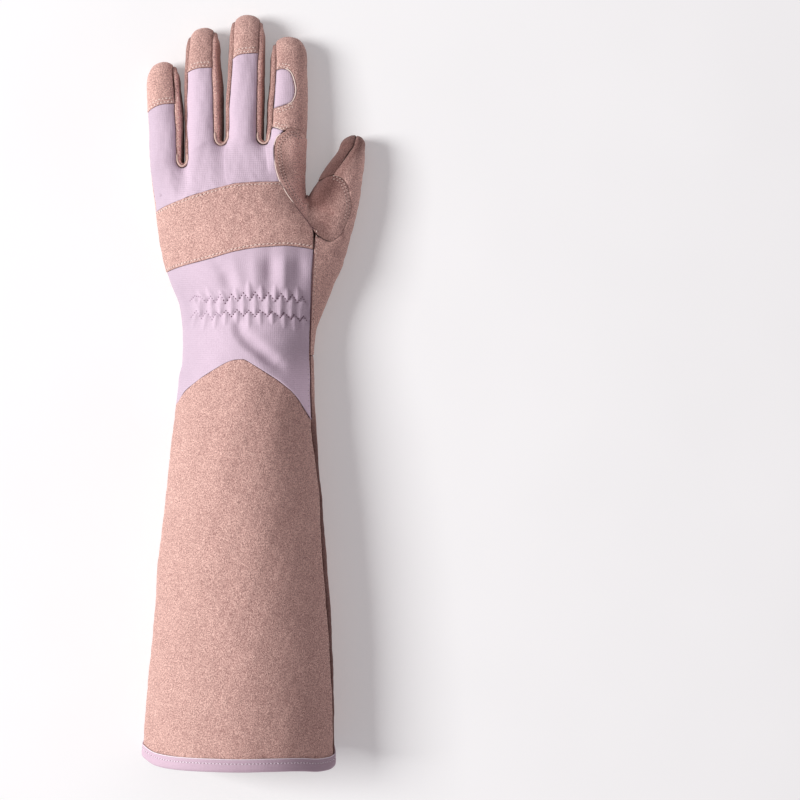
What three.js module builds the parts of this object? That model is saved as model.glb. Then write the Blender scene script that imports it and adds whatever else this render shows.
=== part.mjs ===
// Long-cuff gardening glove for the left hand, lying palm down.
// Millimetres. +Z is up, +Y points to the fingertips, +X to the thumb.
// The origin is on the resting plane, under the middle of the glove's outline.
import * as THREE from 'three';

// ---------------------------------------------------------------- driving dimensions
const WALL = 1.4;          // thickness of the suede and of the fabric
const SEAM_GAP = 0.44;     // clearance between two panels that are sewn together
const PROUD = 0.55;        // how far a lapped piece stands above the fabric
const BEVEL = 1.0;         // how far a panel's inner edge is set back at a seam
const FINGER_DROP = 22;    // length over which the finger crowns fade into the hand
const WRIST_SEAM_Y = 23.5; // where the palm ends and the gauntlet's underside starts
const THUMB_SPLIT_Y = 118; // level of the web between thumb and index finger
const BINDING_WIDTH = 7.6; // visible width of the cuff binding
const BINDING_SHEET = 0.8;   // thickness of the binding's fabric
const PALM_RHO = 0.82;       // palm seam of a finger, as a fraction of its half width
const PALM_INSET = 2.2;      // palm seam of the hand, in from the outline
const UNDER_GAP = 0.7;       // clearance of the palm from the web patch and the thumb's inner side
const CENTRE_X = -0.31;      // moves the outline's middle to the origin
const CENTRE_Y = 4.86;

// Hand and gauntlet sections. left/right: outline, side: height of the widest
// point, top: height of the crown, round: squareness of the crown, crest: how far
// its highest line lies towards the thumb, peak: 0.5 for an arch, more for a lens.
const BODY = [
  { y: -222, left: -65.9, right: 47.6, side: 22.0, top: 55.0, round: 2.05, crest: 0.04, peak: 0.78 },
  { y: -180, left: -63.6, right: 47.2, side: 21.5, top: 54.5, round: 2.05, crest: 0.04, peak: 0.78 },
  { y: -140, left: -59.7, right: 46.0, side: 21.0, top: 53.5, round: 2.05, crest: 0.04, peak: 0.78 },
  { y: -98, left: -56.6, right: 43.2, side: 20.0, top: 52.0, round: 2.05, crest: 0.05, peak: 0.78 },
  { y: -55, left: -51.7, right: 39.4, side: 19.0, top: 49.5, round: 2.05, crest: 0.05, peak: 0.78 },
  { y: -20, left: -48.3, right: 36.7, side: 17.5, top: 46.0, round: 2.05, crest: 0.07, peak: 0.76 },
  { y: 9, left: -44.9, right: 35.3, side: 16.0, top: 42.0, round: 2.05, crest: 0.09, peak: 0.73 },
  { y: 25, left: -42.7, right: 35.3, side: 15.0, top: 39.5, round: 2.05, crest: 0.11, peak: 0.71 },
  { y: 38, left: -43.0, right: 36.6, side: 14.5, top: 37.5, round: 2.10, crest: 0.13, peak: 0.69 },
  { y: 52, left: -44.6, right: 41.2, side: 14.0, top: 37.0, round: 2.10, crest: 0.14, peak: 0.67 },
  { y: 66, left: -49.9, right: 47.2, side: 13.5, top: 37.5, round: 2.15, crest: 0.14, peak: 0.66 },
  { y: 80, left: -54.6, right: 53.0, side: 13.0, top: 37.5, round: 2.20, crest: 0.14, peak: 0.65 },
  { y: 95, left: -57.2, right: 50.5, side: 12.5, top: 37.0, round: 2.25, crest: 0.15, peak: 0.62 },
  { y: 109, left: -59.2, right: 37.5, side: 12.0, top: 35.5, round: 2.35, crest: 0.20, peak: 0.58 },
  { y: 118, left: -60.3, right: 30.6, side: 11.5, top: 33.5, round: 2.50, crest: 0.14, peak: 0.56 },
  { y: 132, left: -61.7, right: 29.9, side: 10.5, top: 30.0, round: 2.70, crest: 0.08, peak: 0.52 },
  { y: 156, left: -63.3, right: 30.6, side: 9.5, top: 25.0, round: 3.10, crest: 0.00, peak: 0.50 },
];

// Thumb sections, from the wrist side of its base to the start of its tip.
const THUMB = [
  { y: 40, left: 6.0, right: 37.0, side: 14.5, top: 24.0 },
  { y: 66, left: 14.0, right: 47.2, side: 13.5, top: 25.0 },
  { y: 80, left: 18.0, right: 53.0, side: 13.0, top: 26.0 },
  { y: 95, left: 22.5, right: 57.3, side: 12.5, top: 26.5 },
  { y: 109, left: 27.0, right: 60.8, side: 12.0, top: 26.0 },
  { y: 118, left: 30.6, right: 62.6, side: 11.5, top: 25.5 },
  { y: 128, left: 37.0, right: 63.8, side: 11.0, top: 24.0 },
  { y: 137, left: 43.0, right: 65.0, side: 10.5, top: 22.5 },
  { y: 146, left: 49.6, right: 65.5, side: 9.5, top: 19.5 },
];

// Fingers. seamL/seamR: where the back panel meets the side strips.
const PINKY = {
  rows: [
    { y: 132, left: -62.0, right: -42.8, side: 10.0, top: 23.5, seamL: -61.6, seamR: -45.9 },
    { y: 146, left: -63.1, right: -42.4, side: 9.5, top: 22.5, seamL: -62.9, seamR: -46.1 },
    { y: 157, left: -63.5, right: -42.5, side: 9.2, top: 21.5, seamL: -63.3, seamR: -46.4 },
    { y: 168, left: -64.1, right: -42.9, side: 9.0, top: 20.5, seamL: -63.9, seamR: -47.0 },
    { y: 184, left: -64.7, right: -44.8, side: 8.5, top: 18.5, seamL: -64.5, seamR: -47.7 },
    { y: 199, left: -64.0, right: -45.4, side: 8.0, top: 17.0, seamL: -64.2, seamR: -49.6 },
  ],
  dome: 184, tip: 198.9, outline: 2.2, lean: 0.0, round: 2.4,
};
const RING = {
  rows: [
    { y: 132, left: -41.2, right: -18.6, side: 10.0, top: 24.5, seamL: -38.4, seamR: -22.4 },
    { y: 149, left: -41.4, right: -18.8, side: 9.7, top: 23.5, seamL: -39.7, seamR: -23.3 },
    { y: 161, left: -41.5, right: -18.8, side: 9.5, top: 22.5, seamL: -40.3, seamR: -23.7 },
    { y: 182, left: -41.5, right: -19.0, side: 9.2, top: 21.0, seamL: -40.2, seamR: -24.4 },
    { y: 203, left: -41.4, right: -21.1, side: 8.5, top: 19.0, seamL: -38.9, seamR: -25.2 },
    { y: 220, left: -40.8, right: -21.6, side: 8.0, top: 17.5, seamL: -38.0, seamR: -25.0 },
  ],
  dome: 203, tip: 219.3, outline: 2.3, lean: 0.06, round: 2.4,
};
const MIDDLE = {
  rows: [
    { y: 132, left: -17.0, right: 4.6, side: 10.0, top: 25.0, seamL: -14.9, seamR: 1.6 },
    { y: 152, left: -17.1, right: 5.0, side: 9.7, top: 24.0, seamL: -15.2, seamR: 1.7 },
    { y: 171, left: -17.6, right: 5.5, side: 9.5, top: 22.5, seamL: -14.9, seamR: 1.7 },
    { y: 193, left: -16.4, right: 5.7, side: 9.2, top: 21.0, seamL: -13.3, seamR: 2.1 },
    { y: 208, left: -15.8, right: 5.7, side: 8.7, top: 19.5, seamL: -12.5, seamR: 2.5 },
    { y: 228, left: -15.2, right: 5.6, side: 8.0, top: 17.5, seamL: -11.6, seamR: 2.7 },
  ],
  dome: 208, tip: 227.0, outline: 2.5, lean: 0.03, round: 2.4,
};
const INDEX = {
  rows: [
    { y: 132, left: 6.2, right: 29.9, side: 10.0, top: 25.0, seamL: 8.6, seamR: 27.0 },
    { y: 152, left: 6.3, right: 30.3, side: 9.7, top: 24.0, seamL: 9.2, seamR: 27.0 },
    { y: 161, left: 6.5, right: 30.6, side: 9.5, top: 23.0, seamL: 10.9, seamR: 27.0 },
    { y: 172, left: 7.0, right: 30.8, side: 9.5, top: 22.5, seamL: 11.5, seamR: 27.0 },
    { y: 182, left: 8.0, right: 30.9, side: 9.2, top: 21.5, seamL: 12.2, seamR: 27.0 },
    { y: 198, left: 8.9, right: 30.5, side: 8.7, top: 19.5, seamL: 12.9, seamR: 27.0 },
    { y: 214, left: 9.4, right: 29.8, side: 8.0, top: 17.5, seamL: 12.4, seamR: 27.0 },
  ],
  dome: 198, tip: 213.8, outline: 2.4, lean: 0.03, round: 2.4,
};
const THUMB_TIP = { rows: THUMB, dome: 146, tip: 155.2, outline: 2.2, lean: 0.2, round: 2.3 };

// Where the strips turn at the bottom of each finger gap, and how deep.
const CROTCHES = [
  { leftY: 139.5, rightY: 139.5, depth: 4.4, core: 1.2 },
  { leftY: 152.3, rightY: 153.3, depth: 5.0, core: 1.6 },
  { leftY: 152.3, rightY: 151.6, depth: 3.4, core: 0.6 },
];

// Lower edges of the fingertip caps on the back.
const CAPS = {
  pinky: [{ x: -66, y: 167.5 }, { x: -54.4, y: 172.0 }, { x: -42, y: 173.3 }],
  ring: [{ x: -42, y: 191.0 }, { x: -32.3, y: 193.5 }, { x: -19, y: 194.3 }],
  middle: [{ x: -17, y: 196.0 }, { x: -8.6, y: 201.5 }, { x: 6, y: 203.0 }],
};

// Edges of the knuckle band across the hand.
const BAND_TOP = [
  { x: -62, y: 107.0 }, { x: -56.4, y: 109.8 }, { x: -43.1, y: 114.4 }, { x: -30.6, y: 118.5 },
  { x: -19.1, y: 121.7 }, { x: -9.1, y: 123.9 }, { x: 0.8, y: 124.8 }, { x: 16, y: 125.4 },
];
const BAND_BOTTOM = [
  { x: -58, y: 71.0 }, { x: -51.5, y: 73.2 }, { x: -43.5, y: 75.4 }, { x: -26.1, y: 79.3 },
  { x: -9.1, y: 83.8 }, { x: 0.8, y: 85.5 }, { x: 11.0, y: 86.5 }, { x: 21.1, y: 86.9 },
  { x: 28.9, y: 86.3 }, { x: 37, y: 85.0 },
];

// Arched upper edge of the gauntlet.
const ARCH = [
  { x: -60, y: -14.0 }, { x: -46, y: -5.0 }, { x: -40.9, y: 1.7 }, { x: -35.6, y: 5.8 },
  { x: -27.8, y: 11.1 }, { x: -21.6, y: 14.6 }, { x: -14.4, y: 18.2 }, { x: -9.5, y: 19.9 },
  { x: -5.9, y: 20.5 }, { x: -2.4, y: 19.9 }, { x: 3.5, y: 17.0 }, { x: 9.3, y: 12.8 },
  { x: 16.8, y: 8.2 }, { x: 22.6, y: 2.8 }, { x: 26.6, y: -2.4 }, { x: 30.6, y: -9.1 },
  { x: 34.4, y: -15.6 },
];

// Long seam on the thumb side: gauntlet and wrist panel against the palm.
const RIGHT_SEAM = [
  { y: -222, x: 47.3 }, { y: -180, x: 46.4 }, { y: -144, x: 44.7 }, { y: -121, x: 42.9 },
  { y: -97, x: 40.9 }, { y: -62, x: 38.9 }, { y: -38, x: 36.4 }, { y: -26, x: 34.7 },
  { y: -15, x: 34.0 }, { y: 9, x: 33.2 }, { y: 28, x: 32.9 }, { y: 43, x: 33.4 },
  { y: 58, x: 34.1 }, { y: 71, x: 34.8 }, { y: 83, x: 35.6 }, { y: 96, x: 35.8 },
];
// How far the little-finger side seam lies past the outline, towards the
// underside (negative: still on the back).
const LEFT_SEAM = [
  { y: -222, past: 13 }, { y: 0, past: 12 }, { y: 24, past: 9 }, { y: 50, past: 4 },
  { y: 75, past: -0.5 }, { y: 100, past: -2.2 }, { y: 156, past: -2.0 }, { y: 200, past: -1.6 },
];

// Web patch: outer edge on the back (ox, oy) against its fold line between
// index finger and thumb (mx, my, mz).
const WEB = [
  { ox: 17.9, oy: 155.2, mx: 30.5, my: 153.0, mz: 9.7 },
  { ox: 13.5, oy: 151.6, mx: 30.3, my: 149.5, mz: 9.8 },
  { ox: 11.9, oy: 145.2, mx: 30.1, my: 144.0, mz: 10.0 },
  { ox: 12.9, oy: 135.7, mx: 29.9, my: 136.0, mz: 10.5 },
  { ox: 15.0, oy: 127.6, mx: 29.8, my: 129.0, mz: 11.0 },
  { ox: 19.1, oy: 119.3, mx: 29.8, my: 123.5, mz: 12.0 },
  { ox: 24.9, oy: 111.2, mx: 30.0, my: 119.6, mz: 13.0 },
  { ox: 31.1, oy: 103.3, mx: 30.5, my: 117.8, mz: 13.5 },
  { ox: 38.1, oy: 93.9, mx: 31.0, my: 117.3, mz: 13.8 },
  { ox: 45.5, oy: 90.5, mx: 31.5, my: 117.3, mz: 13.8 },
  { ox: 51.2, oy: 94.6, mx: 32.0, my: 117.8, mz: 13.6 },
  { ox: 55.0, oy: 102.0, mx: 32.6, my: 118.8, mz: 13.2 },
  { ox: 57.3, oy: 109.7, mx: 33.3, my: 120.2, mz: 12.6 },
  { ox: 56.8, oy: 116.5, mx: 34.3, my: 122.2, mz: 12.0 },
  { ox: 55.3, oy: 122.7, mx: 35.5, my: 124.2, mz: 11.6 },
  { ox: 52.4, oy: 127.4, mx: 36.6, my: 125.8, mz: 11.3 },
  { ox: 46.5, oy: 129.7, mx: 37.6, my: 127.2, mz: 11.1 },
];
// Scalloped end of the web patch across the index finger, and the strap above it.
const SCALLOP = [{ x: 17.9, y: 155.2 }, { x: 20.0, y: 157.0 }, { x: 22.8, y: 157.8 }, { x: 27.2, y: 156.3 }, { x: 31, y: 153.0 }];
const STRAP_LOWER = [{ x: 10.4, y: 158.7 }, { x: 14, y: 157.6 }, { x: 17.9, y: 155.9 }];
// Opening in the index panel.
const WINDOW = { left: 11.9, right: 23.9, bottom: 170.6, top: 193.2, round: 2.8 };

// Back seam of the thumb.
const THUMB_SEAM = [{ y: 129.9, x: 47.6 }, { y: 134.1, x: 50.3 }, { y: 142.6, x: 55.4 }, { y: 148.3, x: 59.0 }, { y: 156, x: 60.6 }];

// Broad folds and dents pressed into the back: centre line, width and depth.
const FOLDS = [
  { name: 'diagonal wrinkle', x0: -13, y0: 38, x1: 12, y1: 16, width: 5, depth: 1.5 },
  { name: 'web crease', x0: 32, y0: 115, x1: 44, y1: 108, width: 4, depth: 2.2 },
  { name: 'gather right', x0: 10, y0: 84, x1: 11, y1: 63, width: 4, depth: 1.6 },
  { name: 'gather far right', x0: 24, y0: 84, x1: 22, y1: 63, width: 4, depth: 1.4 },
  { name: 'gather middle', x0: -16, y0: 74, x1: -12, y1: 60, width: 4, depth: 1.2 },
];
const ELASTIC = { y0: 45, y1: 59, depth: 1.5, fade: 7 };  // drawn-in wrist

// Colours, as linear-looking sRGB values, and surface finish.
const SUEDE = { color: 0xc89a8c, roughness: 0.95, metalness: 0 };
const FABRIC = { color: 0xd9c0d8, roughness: 0.85, metalness: 0 };
const BINDING = { color: 0xcdb4d2, roughness: 0.8, metalness: 0 };

// ---------------------------------------------------------------- small helpers
const lerp = (a, b, t) => a + (b - a) * t;
const clamp = (v, a, b) => Math.min(b, Math.max(a, v));
const smooth = (t) => { const c = clamp(t, 0, 1); return c * c * (3 - 2 * c); };
const mix = (p, q, t) => [lerp(p[0], q[0], t), lerp(p[1], q[1], t), lerp(p[2], q[2], t)];
const add = (p, q, k = 1) => [p[0] + q[0] * k, p[1] + q[1] * k, p[2] + q[2] * k];
const sub = (p, q) => [p[0] - q[0], p[1] - q[1], p[2] - q[2]];
const cross = (a, b) => [a[1] * b[2] - a[2] * b[1], a[2] * b[0] - a[0] * b[2], a[0] * b[1] - a[1] * b[0]];
const len = (a) => Math.hypot(a[0], a[1], a[2]);
const unit = (a) => { const l = len(a) || 1; return [a[0] / l, a[1] / l, a[2] / l]; };
const dist2 = (p, q) => Math.hypot(p[0] - q[0], p[1] - q[1]);

// Smooth, never overshooting value of one column of a table.
function read(table, by, key, at) {
  const n = table.length;
  if (at <= table[0][by]) return table[0][key];
  if (at >= table[n - 1][by]) return table[n - 1][key];
  let i = 0;
  while (table[i + 1][by] < at) i++;
  const h = (k) => table[k + 1][by] - table[k][by];
  const d = (k) => (table[k + 1][key] - table[k][key]) / h(k);
  const slope = (k) => {
    if (k === 0) return d(0);
    if (k === n - 1) return d(n - 2);
    const a = d(k - 1), b = d(k);
    if (a * b <= 0) return 0;
    const w1 = 2 * h(k) + h(k - 1), w2 = h(k) + 2 * h(k - 1);
    return (w1 + w2) / (w1 / a + w2 / b);
  };
  const w = h(i), t = (at - table[i][by]) / w;
  const m0 = slope(i) * w, m1 = slope(i + 1) * w;
  const a = table[i][key], b = table[i + 1][key];
  const t2 = t * t, t3 = t2 * t;
  return a * (2 * t3 - 3 * t2 + 1) + m0 * (t3 - 2 * t2 + t) + b * (3 * t2 - 2 * t3) + m1 * (t3 - t2);
}

// Point at a fraction of the length of a polyline.
function along(points, t) {
  const cum = [0];
  for (let i = 1; i < points.length; i++) cum.push(cum[i - 1] + len(sub(points[i], points[i - 1])));
  const at = clamp(t, 0, 1) * cum[cum.length - 1];
  let i = 1;
  while (i < cum.length - 1 && cum[i] < at) i++;
  const w = cum[i] - cum[i - 1] || 1;
  return mix(points[i - 1], points[i], (at - cum[i - 1]) / w);
}

// ---------------------------------------------------------------- the glove's skin
const smoothMax = (a, b, k) => { const h = Math.max(k - Math.abs(a - b), 0) / k; return Math.max(a, b) + h * h * k / 4; };

// Height of a crowned section: from side at the outline to top at its middle.
function crown(x, left, right, side, top, round, crest = 0, peak = 0.5) {
  const u = (x - (left + right) / 2) / ((right - left) / 2);
  const xi = u < crest ? (crest - u) / (1 + crest) : (u - crest) / (1 - crest);
  return side + (top - side) * Math.pow(Math.max(0, 1 - Math.pow(Math.min(xi, 1), round)), peak);
}

function foldDepth(x, y) {
  let z = 0;
  for (const f of FOLDS) {
    const dx = f.x1 - f.x0, dy = f.y1 - f.y0, L = Math.hypot(dx, dy);
    const t = clamp(((x - f.x0) * dx + (y - f.y0) * dy) / (L * L), 0, 1);
    const d = Math.hypot(x - f.x0 - dx * t, y - f.y0 - dy * t);
    z -= f.depth * Math.exp(-Math.pow(d / f.width, 2)) * Math.sin(Math.PI * clamp(t, 0.12, 0.88));
  }
  const e = Math.max(ELASTIC.y0 - y, y - ELASTIC.y1, 0) / ELASTIC.fade;
  return z - ELASTIC.depth * Math.exp(-e * e);
}

const handEdge = (y) => ({
  left: read(BODY, 'y', 'left', y), right: read(BODY, 'y', 'right', y),
  side: read(BODY, 'y', 'side', y), top: read(BODY, 'y', 'top', y), round: read(BODY, 'y', 'round', y),
  crest: read(BODY, 'y', 'crest', y), peak: read(BODY, 'y', 'peak', y),
});
const thumbEdge = (y) => ({
  left: read(THUMB, 'y', 'left', y), right: read(THUMB, 'y', 'right', y),
  side: read(THUMB, 'y', 'side', y), top: read(THUMB, 'y', 'top', y),
});
// Outline of the whole section: hand alone, or hand and thumb base together.
function bodyEdge(y) {
  const h = handEdge(y);
  if (y > THUMB_SPLIT_Y || y < THUMB[0].y) return h;
  return { ...h, right: Math.max(h.right, thumbEdge(y).right) };
}
function bodyTop(x, y) {
  const h = handEdge(y);
  let z = crown(x, h.left, h.right, h.side, h.top, h.round, h.crest, h.peak);
  if (x > h.right) z = h.side - (x - h.right) * 3;
  if (y <= THUMB_SPLIT_Y && y > 40) {
    const t = thumbEdge(y);
    if (x > t.left) {
      const zt = crown(x, t.left, t.right, t.side, t.top, 2.3);
      const near = Math.min(1, (bodyEdge(y).right - x) / 6);
      z = smoothMax(z, zt, Math.max(0.01, 5 * near));
    }
  }
  const e = bodyEdge(y);
  const rim = Math.min(x - e.left, e.right - x);
  return z + foldDepth(x, y) * smooth(rim / 8);
}
// The underside is flat on the resting plane, with rounded corners. Near the
// cuff it lifts by the thickness of the binding.
function floorRise(x, edge, corner, lift = 0) {
  const mid = (edge.left + edge.right) / 2, hw = (edge.right - edge.left) / 2;
  const e = clamp((Math.abs(x - mid) - (hw - corner)) / corner, 0, 1);
  return lift + (edge.side - lift) * (1 - Math.sqrt(1 - e * e));
}
const cuffLift = (y) => 1.47 * smooth((-192 - y) / 14);
const bodyCorner = (y) => (y > THUMB_SPLIT_Y ? 9 : lerp(15, 9, smooth((y - 40) / 78)));

// Closed section as a polyline with arc lengths. It starts on top at the
// reference x, runs left, down, across the floor, and up the right side.
function makeLoop(y, edge, topAt, bottomAt, ref) {
  const pts = [];
  const N = 26;
  for (let k = 0; k <= N; k++) {
    const x = ref + (edge.left - ref) * Math.sin(Math.PI / 2 * k / N);
    pts.push([x, k === N ? edge.side : topAt(x)]);
  }
  const mid = (edge.left + edge.right) / 2, hw = (edge.right - edge.left) / 2;
  for (let k = 1; k < 2 * N; k++) pts.push([mid - hw * Math.cos(Math.PI * k / (2 * N)), bottomAt(mid - hw * Math.cos(Math.PI * k / (2 * N)))]);
  for (let k = 0; k <= N; k++) {
    const x = edge.right + (ref - edge.right) * (1 - Math.cos(Math.PI / 2 * k / N));
    pts.push([x, k === 0 ? edge.side : topAt(x)]);
  }
  const s = [0];
  for (let i = 1; i < pts.length; i++) s.push(s[i - 1] + Math.hypot(pts[i][0] - pts[i - 1][0], pts[i][1] - pts[i - 1][1]));
  const total = s[s.length - 1];
  const leftAt = s[N], rightAt = s[3 * N];
  const at = (q) => {
    let v = q;
    if (v < 0) v += total;
    if (v > total) v -= total;
    let lo = 0, hi = s.length - 1;
    while (hi - lo > 1) { const m = (lo + hi) >> 1; if (s[m] <= v) lo = m; else hi = m; }
    const t = (v - s[lo]) / (s[hi] - s[lo] || 1);
    return [lerp(pts[lo][0], pts[hi][0], t), y, lerp(pts[lo][1], pts[hi][1], t)];
  };
  const find = (from, to, x) => {
    for (let i = from; i < to; i++) {
      const a = pts[i][0], b = pts[i + 1][0];
      if ((a - x) * (b - x) <= 0 && a !== b) return s[i] + (s[i + 1] - s[i]) * (x - a) / (b - a);
    }
    return Math.abs(pts[from][0] - x) < Math.abs(pts[to][0] - x) ? s[from] : s[to];
  };
  // arc position of a point on the back, counted leftwards (negative: rightwards)
  const topS = (x) => (x <= ref ? find(0, N, x) : find(3 * N, 4 * N, x) - total);
  const floorS = (x) => find(N, 3 * N, x);
  return { at, topS, floorS, leftAt, rightAt, total };
}
const bodyLoops = new Map();
function bodyLoop(y) {
  const key = y.toFixed(4);
  if (!bodyLoops.has(key)) {
    const e = bodyEdge(y), c = bodyCorner(y);
    bodyLoops.set(key, makeLoop(y, e, (x) => bodyTop(x, y), (x) => floorRise(x, e, c, cuffLift(y)), 0));
  }
  return bodyLoops.get(key);
}

// ---- digits
function digitEdge(d, y) {
  const rows = d.rows;
  const yy = Math.min(y, d.dome);
  const l0 = read(rows, 'y', 'left', yy), r0 = read(rows, 'y', 'right', yy);
  const mid = (l0 + r0) / 2 + d.lean * Math.max(0, y - d.dome);
  const eta = clamp((y - d.dome) / (d.tip - d.dome), 0, 1);
  const hw = (r0 - l0) / 2, now = hw * Math.pow(1 - Math.pow(eta, d.outline), 1 / d.outline);
  return { left: mid - now, right: mid + now, mid, hw, eta, side: read(rows, 'y', 'side', y), top: read(rows, 'y', 'top', yy) };
}
function rho(d, x, y) {
  const e = digitEdge(d, y);
  const xi = Math.abs((x - e.mid) / e.hw);
  return Math.min(1, Math.pow(Math.pow(xi, d.outline) + Math.pow(e.eta, d.outline), 1 / d.outline));
}
function digitTop(d, x, y) {
  const e = digitEdge(d, y);
  return e.side + (e.top - e.side) * Math.sqrt(Math.max(0, 1 - Math.pow(rho(d, x, y), d.round)));
}
function digitFloor(d, x, y) {
  const e = digitEdge(d, y);
  const c = 0.55, k = clamp((rho(d, x, y) - (1 - c)) / c, 0, 1);
  return e.side * (1 - Math.sqrt(1 - k * k));
}
// y where the outline passes x, on the tip side
function tipY(d, x) {
  let y = d.tip - 1;
  for (let i = 0; i < 8; i++) {
    const e = digitEdge(d, y);
    const xi = Math.min(1, Math.abs((x - e.mid) / e.hw));
    y = d.dome + (d.tip - d.dome) * Math.pow(1 - Math.pow(xi, d.outline), 1 / d.outline);
  }
  return y;
}
function digitLoop(d, y) {
  const e = digitEdge(d, y);
  return makeLoop(y, e, (x) => digitTop(d, x, y), (x) => digitFloor(d, x, y), e.mid);
}

// ---------------------------------------------------------------- sheets into solids
// A sheet is made of blocks, each a grid of points on the outer face. Blocks
// share their common edges. thicken() adds the inner face and the edge walls.
class Sheet {
  constructor() { this.v = []; this.f = []; this.hash = new Map(); }
  id(p) {
    const c = 0.05, k = p.map((q) => Math.round(q / c));
    for (let a = -1; a <= 1; a++) for (let b = -1; b <= 1; b++) for (let e = -1; e <= 1; e++) {
      const list = this.hash.get(`${k[0] + a},${k[1] + b},${k[2] + e}`);
      if (list) for (const i of list) if (len(sub(this.v[i], p)) < 0.03) return i;
    }
    this.v.push(p);
    const key = k.join(',');
    if (!this.hash.has(key)) this.hash.set(key, []);
    this.hash.get(key).push(this.v.length - 1);
    return this.v.length - 1;
  }
  tri(a, b, c) { if (a !== b && b !== c && c !== a) this.f.push([a, b, c]); }
  // grid[i][j]: i along the first direction, j along the second; outward = i x j
  grid(g, keep = () => true) {
    const ids = g.map((row) => row.map((p) => this.id(p)));
    for (let i = 0; i + 1 < g.length; i++) for (let j = 0; j + 1 < g[i].length; j++) {
      if (!keep(i, j)) continue;
      const a = ids[i][j], b = ids[i + 1][j], c = ids[i + 1][j + 1], e = ids[i][j + 1];
      if (len(sub(g[i][j], g[i + 1][j + 1])) <= len(sub(g[i + 1][j], g[i][j + 1]))) { this.tri(a, b, c); this.tri(a, c, e); }
      else { this.tri(a, b, e); this.tri(b, c, e); }
    }
    return this;
  }
  // triangles between two rows with different numbers of points
  zip(lower, upper) {
    const a = lower.map((p) => this.id(p)), b = upper.map((p) => this.id(p));
    const part = (q) => { const c = [0]; for (let i = 1; i < q.length; i++) c.push(c[i - 1] + len(sub(q[i], q[i - 1]))); return c.map((v) => v / c[c.length - 1]); };
    const u = part(lower), w = part(upper);
    let i = 0, j = 0;
    while (i + 1 < a.length || j + 1 < b.length) {
      if (j + 1 >= b.length || (i + 1 < a.length && u[i + 1] <= w[j + 1])) { this.tri(a[i], a[i + 1], b[j]); i++; }
      else { this.tri(a[i], b[j + 1], b[j]); j++; }
    }
    return this;
  }
  normals() {
    const n = this.v.map(() => [0, 0, 0]);
    for (const [a, b, c] of this.f) {
      const m = cross(sub(this.v[b], this.v[a]), sub(this.v[c], this.v[a]));
      for (const i of [a, b, c]) n[i] = add(n[i], m);
    }
    return n.map(unit);
  }
  border() {
    const edges = new Map();
    for (const t of this.f) for (let k = 0; k < 3; k++) edges.set(`${t[k]},${t[(k + 1) % 3]}`, [t[k], t[(k + 1) % 3]]);
    const open = [];
    for (const [, [a, b]] of edges) if (!edges.has(`${b},${a}`)) open.push([a, b]);
    return open;
  }
}

function thicken(sheet, wall = WALL, lift = 0) {
  const n = sheet.normals(), open = sheet.border();
  const outer = sheet.v.map((p, i) => add(p, n[i], lift));
  const edgeOf = new Map();
  for (const [a, b] of open) { edgeOf.set(a, true); edgeOf.set(b, true); }
  // direction from an edge vertex into the panel
  const inward = new Map(), reach = new Map();
  for (const t of sheet.f) for (const i of t) if (edgeOf.has(i)) {
    const c = t.map((k) => sheet.v[k]).reduce((s, p) => add(s, p, 1 / 3), [0, 0, 0]);
    inward.set(i, add(inward.get(i) || [0, 0, 0], sub(c, sheet.v[i])));
    for (const k of t) if (!edgeOf.has(k)) reach.set(i, Math.min(reach.get(i) ?? 1e9, len(sub(sheet.v[k], sheet.v[i]))));
  }
  const inner = sheet.v.map((p, i) => {
    let q = add(p, n[i], -wall);
    if (edgeOf.has(i)) {
      let d = inward.get(i);
      const along_n = d[0] * n[i][0] + d[1] * n[i][1] + d[2] * n[i][2];
      d = unit(add(d, n[i], -along_n));
      q = add(q, d, Math.min(BEVEL, 0.35 * (reach.get(i) ?? 2)));
    }
    return q;
  });
  const count = outer.length, pos = [...outer, ...inner], tris = [];
  for (const [a, b, c] of sheet.f) { tris.push([a, b, c]); tris.push([a + count, c + count, b + count]); }
  for (const [a, b] of open) { tris.push([b, a, a + count]); tris.push([b, a + count, b + count]); }
  return { pos, tris };
}

const group = new THREE.Group();
const stats = [];
function addMesh(name, { pos, tris }, finish) {
  const g = new THREE.BufferGeometry();
  g.setAttribute('position', new THREE.Float32BufferAttribute(pos.flat(), 3));
  g.setIndex(tris.flat());
  g.computeVertexNormals();
  const m = new THREE.Mesh(g, new THREE.MeshStandardMaterial({ ...finish, side: THREE.DoubleSide }));
  m.name = name;
  m.position.set(-CENTRE_X, -CENTRE_Y, 0);
  group.add(m);
  stats.push([name, tris.length]);
}

// Grid over a function of (c, r), trimmed by the seam clearance on chosen sides.
function sample(fn, nc, nr, trim = {}, easeC = (t) => t, easeR = (t) => t) {
  const width = len(sub(fn(1, 0.5), fn(0, 0.5))) || 1, height = len(sub(fn(0.5, 1), fn(0.5, 0))) || 1;
  const c0 = (trim.c0 || 0) * SEAM_GAP / 2 / width, c1 = 1 - (trim.c1 || 0) * SEAM_GAP / 2 / width;
  const r0 = (trim.r0 || 0) * SEAM_GAP / 2 / height, r1 = 1 - (trim.r1 || 0) * SEAM_GAP / 2 / height;
  const g = [];
  for (let i = 0; i <= nc; i++) {
    const col = [];
    for (let j = 0; j <= nr; j++) col.push(fn(lerp(c0, c1, easeC(i / nc)), lerp(r0, r1, easeR(j / nr))));
    g.push(col);
  }
  return g;
}

// ---------------------------------------------------------------- body panels
// Positions on the body skin are (a, y): a counts leftwards along the section.
const P = (a, y) => bodyLoop(y).at(a);
const seamLeftS = (y) => bodyLoop(y).leftAt + read(LEFT_SEAM, 'y', 'past', y);
const seamRightS = (y) => bodyLoop(y).topS(read(RIGHT_SEAM, 'y', 'x', y));
// x on the back, running on past the outline on the little-finger side
function unrolledX(a, y) {
  const L = bodyLoop(y);
  return a <= L.leftAt ? L.at(a)[0] : bodyEdge(y).left - (a - L.leftAt);
}
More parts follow.
